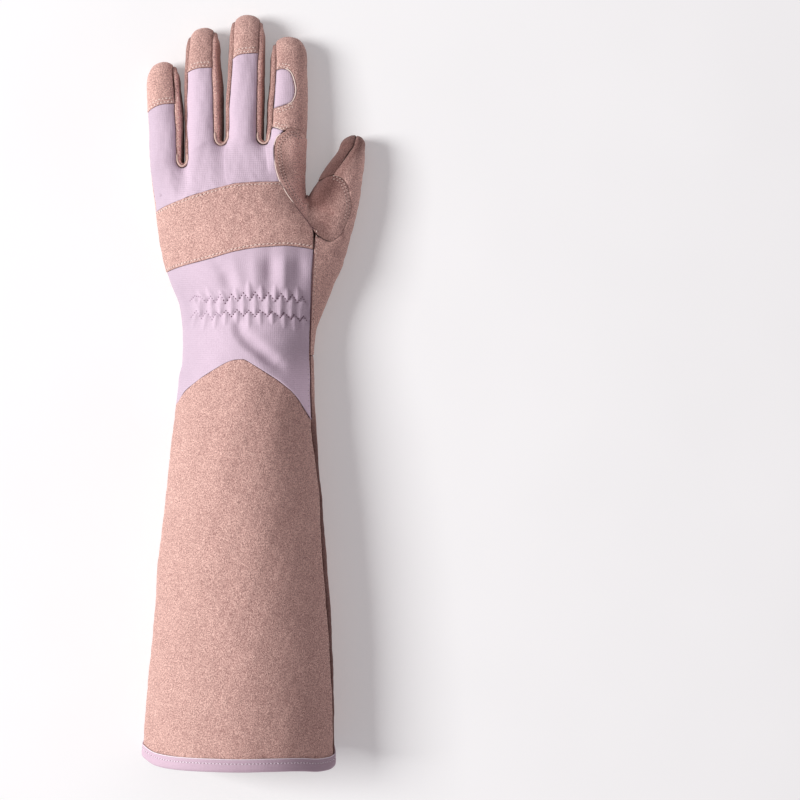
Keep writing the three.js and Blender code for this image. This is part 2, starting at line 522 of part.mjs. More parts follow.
// Point of a back panel: c from the little-finger side (0) to the thumb side (1),
// r from the lower edge curve (0) to the upper one (1).
function strip(lower, upper, right = seamRightS, left = seamLeftS) {
  return (c, r) => {
    let y = lerp(lower[Math.floor(lower.length / 2)].y, upper[Math.floor(upper.length / 2)].y, r);
    for (let i = 0; i < 7; i++) {
      const a = lerp(left(y), right(y), c), x = unrolledX(a, y);
      y = lerp(read(lower, 'x', 'y', x), read(upper, 'x', 'y', x), r);
    }
    return P(lerp(left(y), right(y), c), y);
  };
}
// the open cuff edge: level across the back, drawn up a little at both sides
const HEM = [{ x: -90, y: -209.5 }, { x: -72, y: -211 }, { x: -62, y: -214.5 }, { x: -48, y: -216.4 }, { x: -20, y: -216.8 },
  { x: 10, y: -217.2 }, { x: 34, y: -217.6 }, { x: 47.6, y: -216.5 }, { x: 60, y: -213 }, { x: 90, y: -209.5 }];
const shift = (t, dy) => t.map((r) => ({ ...r, y: r.y + dy }));
const BIND_EDGE = shift(HEM, 1.25);

const cuffRows = (t) => (t < 1 / 8 ? t * 8 * 0.05 : 0.05 + 0.95 * (t - 1 / 8) * 8 / 7);  // one row close to the cuff
const gauntletBack = new Sheet().grid(sample(strip(BIND_EDGE, ARCH), 15, 8, { c0: 1, c1: 1, r1: 1 }, undefined, cuffRows));
addMesh('gauntlet_back', thicken(gauntletBack), SUEDE);

const wristPanel = new Sheet().grid(sample(strip(ARCH, BAND_BOTTOM), 15, 7, { c0: 1, c1: 1, r0: 1, r1: 1 }));
addMesh('wrist_panel', thicken(wristPanel), FABRIC);

// underside of the gauntlet, from the long seam under to the little-finger side
const under = (c, r) => {
  let y = lerp(-210, WRIST_SEAM_Y, r);
  const a = () => lerp(seamRightS(y) + bodyLoop(y).total, seamLeftS(y), c);
  for (let i = 0; i < 4; i++) {
    const L = bodyLoop(y), s = a();
    const past = s < (L.leftAt + L.rightAt) / 2 ? bodyEdge(y).left - (s - L.leftAt) : bodyEdge(y).right + (L.rightAt - s);
    y = lerp(read(BIND_EDGE, 'x', 'y', past), WRIST_SEAM_Y, r);
  }
  return P(a(), y);
};
const gauntletPalm = new Sheet().grid(sample(under, 12, 8, { c0: 1, c1: 1, r1: 1 }, undefined, cuffRows));
addMesh('gauntlet_palm', thicken(gauntletPalm), SUEDE);

// web patch at a fractional table row
const webRows = WEB.map((r, i) => ({ ...r, i }));
const webAt = (t) => {
  const q = clamp(t, 0, WEB.length - 1);
  const [ox, oy, mx, my, mz] = ['ox', 'oy', 'mx', 'my', 'mz'].map((k) => read(webRows, 'i', k, q));
  return { o: [ox, oy], m: [mx, my, mz] };
};

// knuckle band: its thumb-side edge follows the web patch
const bandRight = [{ y: 60, x: 35.2 }, { y: 85, x: 35.6 }, { y: 92.5, x: 35.8 }, { y: 97.4, x: 35.2 },
  ...WEB.slice(3, 8).reverse().map((r) => ({ y: r.oy, x: r.ox }))];
const bandRightS = (y) => bodyLoop(y).topS(read(bandRight, 'y', 'x', y));
const band = new Sheet().grid(sample(strip(BAND_BOTTOM, BAND_TOP, bandRightS), 15, 4, { c0: 1, c1: 1.8, r0: 1, r1: 1 }));
addMesh('knuckle_band', thicken(band, WALL + PROUD, PROUD), SUEDE);

// ---------------------------------------------------------------- fingers
const digitSeam = (d, which, y) => (d === THUMB_TIP && which === 'left' ? read(THUMB_SEAM, 'y', 'x', y)
  : read(d.rows, 'y', which === 'left' ? 'seamL' : 'seamR', y));
// where a back seam runs out at the fingertip's outline
function seamEnd(d, which) {
  let y = d.tip - 4;
  for (let i = 0; i < 12; i++) y = tipY(d, digitSeam(d, which, y));
  return y;
}
// polyline from B on the back over the outline point M and under to Q
function crossLine(topAt, floorAt, B, M, Q, zm, n = 12) {
  const pts = [];
  for (let k = 0; k <= n; k++) {
    const t = Math.sin(Math.PI / 2 * k / n), x = lerp(B[0], M[0], t), y = lerp(B[1], M[1], t);
    pts.push([x, y, k === n ? zm : topAt(x, y)]);
  }
  for (let k = 1; k <= n; k++) {
    const t = 1 - Math.cos(Math.PI / 2 * k / n), x = lerp(M[0], Q[0], t), y = lerp(M[1], Q[1], t);
    pts.push([x, y, floorAt(x, y)]);
  }
  return pts;
}
const digitCentre = (d, y) => { const e = digitEdge(d, Math.min(y, d.dome)); return [e.mid, Math.min(y, d.dome)]; };
// point of the palm seam that belongs to an outline point
function palmSeamOf(d, M) {
  const c = digitCentre(d, M[1]);
  if (M[1] <= d.dome) return [lerp(c[0], M[0], PALM_RHO), M[1]];
  return [lerp(c[0], M[0], PALM_RHO), lerp(c[1], M[1], PALM_RHO)];
}
function sideLine(d, which, y, seamX = null) {
  const e = digitEdge(d, y);
  const M = [which === 'left' ? e.left : e.right, y];
  let bx = seamX ?? digitSeam(d, which, y);
  bx = which === 'left' ? Math.max(bx, M[0]) : Math.min(bx, M[0]);
  return crossLine((x, q) => digitTop(d, x, q), (x, q) => digitFloor(d, x, q), [bx, y], M, palmSeamOf(d, M), e.side);
}
// turn of a side strip at the bottom of a finger gap: u from the left finger (0)
// to the right one (1), v from the back seam (0) to the palm seam (1)
function crotchPoint(k, u, v) {
  const A = [PINKY, RING, MIDDLE][k], B = [RING, MIDDLE, INDEX][k], C = CROTCHES[k];
  const a = along(sideLine(A, 'right', C.leftY), v), b = along(sideLine(B, 'left', C.rightY), v);
  const a0 = along(sideLine(A, 'right', C.leftY), 0), b0 = along(sideLine(B, 'left', C.rightY), 0);
  const ea = digitEdge(A, C.leftY).right, eb = digitEdge(B, C.rightY).left;
  const off = (ea - a[0] + b[0] - eb) / (ea - a0[0] + b0[0] - eb);
  const phi = Math.PI * u, p = mix(a, b, (1 - Math.cos(phi)) / 2);
  return [p[0], p[1] - (C.core + (C.depth - C.core) * off) * Math.sin(phi), p[2]];
}

// back of a finger between its two seams, from its base to the line upperY(x)
function fingerBack(d, baseL, baseR, upper) {
  return (c, r) => {
    let y = lerp(baseL, baseR, c), p = null;
    for (let i = 0; i < 5; i++) {
      const L = digitLoop(d, y);
      p = L.at(lerp(L.topS(digitSeam(d, 'left', y)), L.topS(digitSeam(d, 'right', y)), c));
      y = lerp(lerp(baseL, baseR, c), read(upper, 'x', 'y', p[0]), r);
    }
    return p;
  };
}
// tip cap from the line lower(x) over the tip to the palm seam below it
function capPoint(d, lower, seamR = null) {
  const ends = [seamEnd(d, 'left'), seamEnd(d, 'right')];
  const ex = [digitSeam(d, 'left', ends[0]), digitSeam(d, 'right', ends[1])];
  const outerLeft = digitEdge(d, d.dome).left;
  if (digitSeam(d, 'left', d.dome) < outerLeft + 0.4) ex[0] = outerLeft;
  const baseRow = (c) => {
    let y = lower[1].y, p = null;
    for (let i = 0; i < 6; i++) {
      const L = digitLoop(d, y);
      p = L.at(lerp(L.topS(digitSeam(d, 'left', y)), L.topS(digitSeam(d, 'right', y)), c));
      y = read(lower, 'x', 'y', p[0]);
    }
    return p;
  };
  return (c, r) => {
    const B = baseRow(c), x = lerp(ex[0], ex[1], c), M = [x, tipY(d, x)];
    const side = digitEdge(d, M[1]).side;
    return along(crossLine((q, y) => digitTop(d, q, y), (q, y) => digitFloor(d, q, y), B, M, palmSeamOf(d, M), side), r);
  };
}

const FINGERS = [
  { d: PINKY, cap: CAPS.pinky, baseL: 139.5, baseR: 139.5, n: 4 },
  { d: RING, cap: CAPS.ring, baseL: 139.5, baseR: 152.3, n: 4 },
  { d: MIDDLE, cap: CAPS.middle, baseL: 153.3, baseR: 152.3, n: 4 },
];
const fingerRows = 4, gapCols = 4, handRows = 4;

// ---- fabric back of the hand with three finger backs
const half = SEAM_GAP / 2;
function trimmedRange(width, lo = 1, hi = 1) { return [lo * half / width, 1 - hi * half / width]; }
const handBack = new Sheet();
const knuckleLine = [];   // points along the finger bases, little finger first
FINGERS.forEach((F, k) => {
  const fn = fingerBack(F.d, F.baseL, F.baseR, shift(F.cap, -half));
  const w = len(sub(fn(1, 0), fn(0, 0)));
  const [c0, c1] = trimmedRange(w);
  const g = [];
  for (let i = 0; i <= F.n; i++) {
    const col = [];
    for (let j = 0; j <= fingerRows; j++) col.push(fn(lerp(c0, c1, i / F.n), j / fingerRows));
    g.push(col);
    knuckleLine.push(col[0]);
  }
  handBack.grid(g);
  for (let i = 1; i < gapCols; i++) {
    const u = i / gapCols, p = crotchPoint(k, u, 0);
    knuckleLine.push([p[0] - half * Math.cos(Math.PI * u), p[1] - half * Math.sin(Math.PI * u), p[2]]);
  }
});
// index base: a small tongue of fabric up to the strap
const blendTop = (x, y) => lerp(bodyTop(x, y), digitTop(INDEX, x, y), smooth(1 - (151.6 - y) / FINGER_DROP));
const tongueN = 2;
const tongue = [];
for (let i = 0; i <= tongueN; i++) {
  const col = [];
  for (let j = 0; j <= 2; j++) {
    const r = j / 2;
    const left = [lerp(digitSeam(INDEX, 'left', 151.6), 10.7, r) + half, lerp(151.6, 158.4, r)];
    const o = webAt(1 - r).o;
    const right = [o[0] - 0.4, lerp(151.0, 155.9, r)];
    const x = lerp(left[0], right[0], i / tongueN), y = lerp(left[1], right[1], i / tongueN);
    col.push([x, y, blendTop(x, y)]);
  }
  tongue.push(col);
}
handBack.grid(tongue);
tongue.forEach((col) => knuckleLine.push(col[0]));
// hand block: from the band's upper edge to the knuckle line
const handRight = [{ y: 118, x: 19.8 }, ...WEB.slice(2, 6).reverse().map((r) => ({ y: r.oy, x: r.ox })), { y: 152, x: 13.7 }];
const handRightS = (y) => bodyLoop(y).topS(read(handRight, 'y', 'x', y) - 0.35);
function bandTopPoint(c) {
  let y = 120;
  for (let i = 0; i < 7; i++) {
    const a = lerp(seamLeftS(y) - half, handRightS(y), c);
    y = read(BAND_TOP, 'x', 'y', unrolledX(a, y)) + half;
  }
  return [lerp(seamLeftS(y) - half, handRightS(y), c), y];
}
function handBlock(targets, rows) {
  const x0 = targets[0][0], x1 = targets[targets.length - 1][0];
  return targets.map((T, i) => {
    const c = i === 0 ? 0 : i === targets.length - 1 ? 1 : (T[0] - x0) / (x1 - x0);
    const [, y0] = bandTopPoint(c);
    const lo = seamLeftS(T[1]) - half, hi = handRightS(T[1]);
    const cK = i === 0 ? 0 : i === targets.length - 1 ? 1 : clamp((bodyLoop(T[1]).topS(T[0]) - lo) / (hi - lo), 0.004, 0.985);
    const col = [];
    for (let j = 0; j <= rows; j++) {
      const r = j / rows, y = lerp(y0, T[1], r);
      let a;
      if (i === 0) a = seamLeftS(y) - half;
      else if (i === targets.length - 1) a = handRightS(y);
      else a = lerp(seamLeftS(y) - half, handRightS(y), lerp(c, cK, r));
      const base = P(a, y);
      const top = i === 0 ? P(seamLeftS(T[1]) - half, T[1]) : i === targets.length - 1 ? P(handRightS(T[1]), T[1]) : P(bodyLoop(T[1]).topS(T[0]), T[1]);
      col.push(j === rows ? T : add(base, sub(T, top), smooth(1 - (T[1] - y) / FINGER_DROP)));
    }
    return col;
  });
}
handBack.grid(handBlock(knuckleLine, handRows));
addMesh('hand_back', thicken(handBack), FABRIC);

// ---- fingertip caps
[['pinky_cap', PINKY, CAPS.pinky], ['ring_cap', RING, CAPS.ring], ['middle_cap', MIDDLE, CAPS.middle]].forEach(([name, d, cap]) => {
  const s = new Sheet().grid(sample(capPoint(d, shift(cap, half)), 4, 6, { c0: 1, c1: 1, r1: 1 }));
  addMesh(name, thicken(s, WALL + PROUD * 0.6, PROUD * 0.6), SUEDE);
});

// ---- side strips between the fingers
function stripBetween(k, nSide, nTurn, nAcross) {
  const A = [PINKY, RING, MIDDLE][k], B = [RING, MIDDLE, INDEX][k], C = CROTCHES[k];
  const endA = seamEnd(A, 'right') - 0.5, endB = seamEnd(B, 'left') - 0.5;
  const rows = [];
  const ease = (t) => Math.sin(Math.PI / 2 * t);
  for (let i = 0; i < nSide; i++) rows.push((v) => along(sideLine(A, 'right', lerp(C.leftY, endA, ease(1 - i / nSide))), v));
  for (let i = 0; i <= nTurn; i++) rows.push((v) => crotchPoint(k, i / nTurn, v));
  for (let i = 1; i <= nSide; i++) rows.push((v) => along(sideLine(B, 'left', lerp(C.rightY, endB, ease(i / nSide))), v));
  return rows.map((f) => {
    const w = len(sub(f(0.5), f(0))) + len(sub(f(1), f(0.5)));
    const [v0, v1] = trimmedRange(w, 1.2, 1.2);
    return Array.from({ length: nAcross + 1 }, (_, j) => f(lerp(v0, v1, j / nAcross)));
  });
}
['fourchette_pinky_ring', 'fourchette_ring_middle', 'fourchette_middle_index'].forEach((name, k) => {
  addMesh(name, thicken(new Sheet().grid(stripBetween(k, 6, 6, 4)), 1.1), SUEDE);
});


// ---- web patch between index finger and thumb
// palm-side edge of the patch: in from the fold line, close to the floor
function webUnder(t) {
  const e = 0.25, a = webAt(Math.max(0, t - e)).m, b = webAt(Math.min(16, t + e)).m, m = webAt(t).m;
  const l = dist2(a, b);
  return [m[0] + PALM_INSET * (b[1] - a[1]) / l, m[1] - PALM_INSET * (b[0] - a[0]) / l, m[2] * 0.258];
}
const thumbTop = (x, y) => (y <= THUMB_SPLIT_Y ? bodyTop(x, y) : digitTop(THUMB_TIP, x, y));
function webLine(t) {
  const { o, m } = webAt(t), q = webUnder(t), L = dist2(o, m), pts = [];
  const top = (x, y) => (y <= THUMB_SPLIT_Y ? bodyTop(x, y) : t < 8.5 ? bodyTop(Math.min(x, 29.5), y) : digitTop(THUMB_TIP, x, y));
  for (let k = 0; k <= 12; k++) {
    const f = Math.sin(Math.PI / 2 * k / 12), x = lerp(o[0], m[0], f), y0 = lerp(o[1], m[1], f);
    // the first rows rise to the scalloped seam of the index finger
    const y = y0 + Math.max(0, read(SCALLOP, 'x', 'y', clamp(x, 17.9, 31)) - 0.45 - y0) * Math.max(0, 1 - (t - 0.1) / 0.9);
    const g = clamp(1 - (1 - f) * L / 7, 0, 1);
    pts.push([x, y, lerp(top(x, y), m[2], 1 - Math.sqrt(1 - g * g))]);
  }
  for (let k = 1; k <= 8; k++) {
    const c = 1 - 0.33 * Math.pow(k / 8, 2);
    const f = (1 - c) / 0.33;
    pts.push([lerp(m[0], q[0], f), lerp(m[1], q[1], f), m[2] * (1 - Math.sqrt(1 - c * c))]);
  }
  return pts;
}
const lengthOf = (pts) => pts.reduce((s, p, i) => (i ? s + len(sub(p, pts[i - 1])) : 0), 0);
{
  const nT = 20, nC = 8, g = [];
  for (let i = 0; i <= nC; i++) {
    const col = [];
    for (let j = 0; j <= nT; j++) {
      const t = lerp(0.1, 15.93, j / nT), line = webLine(t).reverse(), w = lengthOf(line);
      const [v0, v1] = trimmedRange(w);
      col.push(along(line, lerp(v0, v1, i / nC)));
    }
    g.push(col);
  }
  addMesh('thumb_web_patch', thicken(new Sheet().grid(g), WALL + PROUD, PROUD), SUEDE);
}

// ---- thumb: its rows run from the back seam over an outline to the palm seam
const thumbSeamEnd = (() => { let y = 152; for (let i = 0; i < 12; i++) y = tipY(THUMB_TIP, read(THUMB_SEAM, 'y', 'x', y)); return [read(THUMB_SEAM, 'y', 'x', y), y]; })();
const thumbMid = digitEdge(THUMB_TIP, THUMB_TIP.dome);
const tipAngleEnd = Math.acos(clamp((thumbSeamEnd[0] - thumbMid.mid - THUMB_TIP.lean * (thumbSeamEnd[1] - THUMB_TIP.dome)) / thumbMid.hw, -1, 1));
// outline point of the thumb tip at an angle (0 right, PI left)
function thumbOutline(angle) {
  const p = THUMB_TIP.outline, c = Math.cos(angle), s = Math.sin(angle);
  const k = Math.pow(Math.pow(Math.abs(c), p) + Math.pow(Math.abs(s), p), -1 / p);
  const y = THUMB_TIP.dome + (THUMB_TIP.tip - THUMB_TIP.dome) * k * s;
  return [thumbMid.mid + THUMB_TIP.lean * (y - THUMB_TIP.dome) + thumbMid.hw * k * c, y];
}
const thumbSeamPoint = (y) => [read(THUMB_SEAM, 'y', 'x', y), y];
const thumbSide = (which, y) => [digitEdge(THUMB_TIP, y)[which], y];
const thumbPalm = (M) => palmSeamOf(THUMB_TIP, M);

// ---- inner side of the thumb
{
  const rows = [];
  const under = (M) => thumbPalm(M);
  for (let j = 0; j <= 4; j++) {
    const r = j / 4;
    const M = j === 0 ? webAt(16).m : thumbSide('left', lerp(webAt(16).m[1], THUMB_TIP.dome, r));
    const Q = j === 0 ? webUnder(16) : under(M);
    rows.push([thumbSeamPoint(lerp(130.2, 147.5, r)), M, Q]);
  }
  for (let j = 1; j <= 3; j++) {
    const r = j / 3, M = thumbOutline(lerp(Math.PI, tipAngleEnd + 0.09, r));
    rows.push([j === 3 ? M : thumbSeamPoint(lerp(147.5, thumbSeamEnd[1] - 0.3, r)), M, under(M)]);
  }
  const g = rows.map(([B, M, Q], j) => {
    const e = digitEdge(THUMB_TIP, Math.min(M[1], THUMB_TIP.dome));
    const line = crossLine((x, y) => digitTop(THUMB_TIP, x, y), (x, y) => digitFloor(THUMB_TIP, x, y), B, M, Q, j === 0 ? webAt(16).m[2] : e.side).reverse();
    const w = lengthOf(line), [v0, v1] = trimmedRange(w);
    let pts = Array.from({ length: 6 }, (_, i) => along(line, lerp(v0, v1, i / 5)));
    if (j === 0) pts = pts.map((p) => add(p, [0.4, 0.54, 0]));
    return pts;
  });
  const cols = g[0].map((_, i) => g.map((row) => row[i]));
  addMesh('thumb_inner', thicken(new Sheet().grid(cols)), SUEDE);
}

// ---- suede of the index finger, with its rounded opening
const OPENING = [   // from the back seam round the opening and back to the seam
  { x: 11.6, y: 169.6 }, { x: 17.3, y: 171.0 }, { x: 22.2, y: 173.2 }, { x: 24.4, y: 178.7 },
  { x: 23.9, y: 184.8 }, { x: 20.2, y: 192.3 }, { x: 16.2, y: 193.2 }, { x: 12.9, y: 192.6 },
];
const openingAt = (i, out) => {
  const p = OPENING[i], q = [OPENING[Math.max(0, i - 1)], OPENING[Math.min(7, i + 1)]];
  const dx = q[1].x - q[0].x, dy = q[1].y - q[0].y, l = Math.hypot(dx, dy);
  return [p.x + out * dy / l, p.y - out * dx / l];
};
const indexTop = (x, y) => digitTop(INDEX, x, y);
const onIndex = ([x, y]) => [x, y, indexTop(x, y)];
const indexRim = (M, j) => {   // j = 1..3: from the outline under to the palm seam
  const Q = palmSeamOf(INDEX, M), f = [0, 0.12, 0.42, 0.9][j], e = digitEdge(INDEX, Math.min(M[1], INDEX.dome));
  if (j === 0) return [M[0], M[1], e.side];
  const x = lerp(M[0], Q[0], f), y = lerp(M[1], Q[1], f);
  return [x, y, digitFloor(INDEX, x, y)];
};
{
  const s = new Sheet();
  const R = (y) => [digitEdge(INDEX, y).right, y];
  const seamX = (y) => read(INDEX.rows, 'y', 'seamL', y) + half;
  const low = shift([...STRAP_LOWER.slice(0, 2), { x: 17.9, y: 156.3 }, ...SCALLOP.slice(1)], half);
  const lowAt = (x) => [x, read(low, 'x', 'y', x)];
  const M0 = [digitEdge(INDEX, 153.6).right, 153.4];
  const rows = [
    [[10.9, 158.9], lowAt(14.4), lowAt(18.4), lowAt(24.4), lowAt(28.2), M0],
    [[seamX(164), 164], [15.2, 164], [19.6, 164.3], [25, 164.5], [28.8, 164.5], R(164.5)],
    [openingAt(0, half), openingAt(1, half), openingAt(2, half), [26.4, 173], [29.3, 173], R(173)],
  ];
  rows[2][0][0] = seamX(rows[2][0][1]);
  const beside = [
    rows[2].slice(2),
    [openingAt(3, half), [27.6, 178.7], [29.6, 178.7], R(178.7)],
    [openingAt(4, half), [27.3, 184.8], [29.5, 184.8], R(184.8)],
    [openingAt(5, half), [25.6, 191.4], [29.0, 191.2], R(191.2)],
  ];
  const topRow = [openingAt(7, half), openingAt(6, half), ...beside[3]];
  topRow[0][0] = seamX(topRow[0][1]);
  const domeRow = [[seamX(198), 198], [16.4, 198], [20.4, 198], [25.2, 198], [28.4, 198], R(198)];
  const xs = [seamEnd(INDEX, 'left')].map((y) => digitSeam(INDEX, 'left', y) + half);
  const tipX = [xs[0], 16.6, 20.6, 25.0, 28.3];
  const tips = [...tipX.map((x) => [x, tipY(INDEX, x)]), R(198)];
  const upper = [topRow, domeRow, ...[0.5, 0.82, 1].map((f) => domeRow.map((p, i) => [lerp(p[0], tips[i][0], f), lerp(p[1], tips[i][1], f)]))];
  const toGrid = (rws, f = onIndex) => rws[0].map((_, i) => rws.map((r) => f(r[i])));
  const top = (p) => {
    const e = digitEdge(INDEX, Math.min(p[1], INDEX.dome));
    return rho(INDEX, p[0], p[1]) > 0.998 ? [p[0], p[1], e.side] : onIndex(p);
  };
  s.grid(toGrid(rows, top)); s.grid(toGrid(beside, top)); s.grid(toGrid(upper, top));
  const rim = [rows[0][5], rows[1][5], rows[2][5], beside[1][3], beside[2][3], beside[3][3], domeRow[5], ...tips.slice(0, 5).reverse()];
  s.grid([0, 1, 2, 3].map((j) => rim.map((M) => (j === 0 ? top(M) : indexRim(M, j)))));
  addMesh('index_panel', thicken(s, WALL + PROUD * 0.6, PROUD * 0.6), SUEDE);

  const w = new Sheet();
  const inA = OPENING.map((_, i) => [...openingAt(i, -half), 0]);
  inA[0][0] = seamX(inA[0][1]); inA[7][0] = seamX(inA[7][1]);
  const bottom = inA.slice(0, 3), right = inA.slice(2, 6), upperEdge = [inA[7], inA[6], inA[5]];
  const left = [0, 1, 2, 3, 4].map((i) => { const y = lerp(inA[0][1], inA[7][1], i / 4); return [seamX(y), y, 0]; });
  const g = [];
  for (let i = 0; i <= 4; i++) {
    const col = [];
    for (let j = 0; j <= 4; j++) {
      const c = i / 4, r = j / 4;
      const a = mix(along(left, r), along(right, r), c), b = mix(along(bottom, c), along(upperEdge, c), r);
      const k = mix(mix(bottom[0], bottom[2], c), mix(upperEdge[0], upperEdge[2], c), r);
      const p = add(add(a, b), k, -1);
      col.push(onIndex(p));
    }
    g.push(col);
  }
  addMesh('index_window', thicken(w.grid(g)), FABRIC);
}

// ---- palm
{
  const s = new Sheet();
  const cornerEnd = (y, side) => {
    const e = bodyEdge(y), c = bodyCorner(y);
    return bodyLoop(y).floorS(side === 'right' ? e.right - c : e.left + c);
  };
  const splitX = (y) => Math.min(webUnder(8.5)[0], bodyEdge(y).right - bodyCorner(y) - 3);
  // arc positions of one row, thumb side first: six on the back, five to the
  // split column, then five to the little-finger side
  const stops = (y, from) => {
    const L = bodyLoop(y), end = seamLeftS(y) + half, ce = cornerEnd(y, 'right'), cl = cornerEnd(y, 'left'), sp = L.floorS(splitX(y));
    return [
      ...from.map((f) => f),
      L.rightAt, lerp(L.rightAt, ce, 0.33), lerp(L.rightAt, ce, 0.67), ce, lerp(ce, sp, 0.5), sp,
      lerp(sp, cl, 0.5), cl, lerp(cl, end, 0.33), lerp(cl, end, 0.67), end,
    ];
  };
  const rowAt = (y, fromFractions, aR) => {
    const L = bodyLoop(y);
    return stops(y, fromFractions.map((f) => lerp(aR, L.rightAt, f))).map((a) => L.at(a));
  };
  const aSeam = (y) => bodyLoop(y).total + seamRightS(y) - half;
  const six = [0, 0.2, 0.4, 0.6, 0.8];
  const ys = [WRIST_SEAM_Y + half, 34, 45, 52, 60, 70, 80];
  const rowsA = ys.map((y) => rowAt(y, six, aSeam(y)));
  // last row of the lower part follows the patch's curve on the back
  const outBy = (t, k) => {
    const a = webAt(t - 0.2).o, b = webAt(t + 0.2).o, o = webAt(t).o, l = dist2(a, b);
    return [o[0] + k * (b[1] - a[1]) / l, o[1] - k * (b[0] - a[0]) / l];
  };
  const onTop = ([x, y]) => [x, y, thumbTop(x, y)];
  const yB = 91, base = rowAt(yB, six, aSeam(yB));
  const last = base.slice();
  [7.86, 8.4, 9.0, 9.7].forEach((t, i) => { last[i] = onTop(outBy(t, half + 0.1)); });
  last[4] = mix(last[3], base[5], 0.5); last[4][2] = bodyTop(last[4][0], last[4][1]);
  rowsA.push(last);
  s.grid(last.map((_, i) => rowsA.map((r) => r[i])));
  // beside the thumb base
  const rowsB = [last.slice(3)];
  [[99, 10.75], [107, 11.75]].forEach(([y, t]) => {
    const B = outBy(t, half + 0.1), L = bodyLoop(y);
    const row = rowAt(y, six, aSeam(y)).slice(3);
    row[0] = onTop(B);
    const e = bodyEdge(y);
    const mx = (B[0] + e.right) / 2 + 1, my = (B[1] + y) / 2;
    row[1] = [mx, my, bodyTop(mx, my)];
    rowsB.push(row);
  });
  const yC = webUnder(8.5)[1];
  const rowC = rowAt(yC, six, aSeam(yC)).slice(3);
  // thumb rows
  const T = [];
  const spec = [
    [outBy(12.8, half + 0.1), [bodyEdge(yC).right, yC], webUnder(8.5)],
    [outBy(13.5, half + 0.1), thumbSide('right', 118.6), webUnder(10.4)],
    [outBy(14.3, half + 0.1), thumbSide('right', 122), webUnder(12.3)],
    [outBy(15.1, half + 0.1), thumbSide('right', 125.5), webUnder(14.2)],
    [[47.9, 129.6], thumbSide('right', 130), webUnder(16)],
    ...[[136, 136, 133], [142.2, 141, 139.5], [147.4, 146, 146]].map(([b, m, q]) => {
      const S = thumbSeamPoint(b);
      return [[S[0] + half * 1.2, S[1] - half], thumbSide('right', m), thumbPalm(thumbSide('left', q))];
    }),
    ...[1, 2, 3].map((j) => {
      const M = thumbOutline(lerp(0, tipAngleEnd - 0.09, j / 3)), S = thumbSeamPoint(lerp(147.4, thumbSeamEnd[1] - 0.6, j / 3));
      return [j === 3 ? M : [S[0] + half * 1.4, S[1]], M, j === 3 ? thumbPalm(M) : thumbPalm(thumbOutline(lerp(Math.PI, tipAngleEnd, j / 3)))];
    }),
  ];
  spec.forEach(([B, M, Q], j) => {
    const low = M[1] <= THUMB_SPLIT_Y, n = 16;
    const floorAt = (x, y) => (low ? floorRise(x, bodyEdge(Math.min(y, THUMB_SPLIT_Y)), bodyCorner(y)) : digitFloor(THUMB_TIP, x, y));
    const side = low ? bodyEdge(M[1]).side : digitEdge(THUMB_TIP, Math.min(M[1], THUMB_TIP.dome)).side;
    const upPart = [], downPart = [];
    for (let k = 0; k <= n; k++) {
      const f = Math.sin(Math.PI / 2 * k / n), x = lerp(B[0], M[0], f), y = lerp(B[1], M[1], f);
      upPart.push([x, y, k === n ? side : thumbTop(x, y)]);
    }
    for (let k = 0; k <= n; k++) {
      const f = (1 - Math.cos(Math.PI * k / n)) / 2, x = lerp(M[0], Q[0], f), y = lerp(M[1], Q[1], f);
      downPart.push([x, y, k === 0 ? side : floorAt(x, y)]);
    }
    if (j <= 4) downPart[n] = Q;
    const up = lengthOf(upPart), down = lengthOf(downPart);
    const first = j === T.length && up < 0.5 ? 0 : 0;
    const row = [along(upPart, first), along(upPart, 0.5), along(upPart, 1)];
    [0.11, 0.22, 0.34, 0.8].forEach((f) => row.push(along(downPart, f)));
    row.push(along(downPart, 1 - (j < 4 ? UNDER_GAP : UNDER_GAP + 0.35) / down));
    T.push(row);
  });
  T[0] = [onTop(outBy(12.8, half + 0.1)), ...rowC.slice(1, 7), webUnder(8.5)];
  T[0][1] = [(T[0][0][0] + T[0][2][0]) / 2 + 0.8, yC, 0]; T[0][1][2] = bodyTop(T[0][1][0], yC);
  const split = webUnder(8.5);
  T[0][7] = [split[0], split[1] - 1.1, split[2] * 0.8];
  const fullC = [...T[0], ...rowC.slice(8)];
  rowsB.push(fullC);
  s.grid(fullC.map((_, i) => rowsB.map((r) => r[i])));
  s.grid(T[0].map((_, i) => T.map((r) => r[i])));

  // finger fronts
  const rhoIn = (d) => PALM_RHO - half / digitEdge(d, d.dome).hw;
  const front = (d, c, r, baseR, baseL) => {   // c: right to left
    const k = rhoIn(d), u = 1 - 2 * c, y0 = lerp(baseR, baseL, c);
    const end = d.dome + k * (d.tip - d.dome) * Math.pow(Math.max(0, 1 - Math.pow(Math.abs(u), d.outline)), 1 / d.outline);
    const y = lerp(y0, end, r), e = digitEdge(d, Math.min(y, d.dome));
    const x = e.mid + k * e.hw * u + d.lean * Math.max(0, y - d.dome);
    return [x, y, digitFloor(d, x, y)];
  };
  const digits = [
    { d: INDEX, R: 151.6, L: 151.6 }, { d: MIDDLE, R: 152.3, L: 153.3 },
    { d: RING, R: 152.3, L: 139.5 }, { d: PINKY, R: 139.5, L: 139.5 },
  ];
  const rowsF = [0, 0.3, 0.62, 0.86, 0.96, 1];
  const kLine = [];
  digits.forEach(({ d, R, L }, k) => {
    const g = [0, 0.2, 0.8, 1].map((c) => rowsF.map((r) => front(d, c, r, R, L)));
    if (k === 0) { const q = webUnder(0.6); g[0][0] = [q[0] - 0.4, 151.6, q[2]]; }
    s.grid(g);
    g.forEach((col) => kLine.push(col[0]));
    if (k < 3) {
      for (let i = 1; i < 4; i++) {
        const u = 1 - i / 4, p = crotchPoint(2 - k, u, 1);
        kLine.push([p[0] - half * Math.cos(Math.PI * u), p[1] - half * Math.sin(Math.PI * u), p[2] * 0.9]);
      }
    }
  });
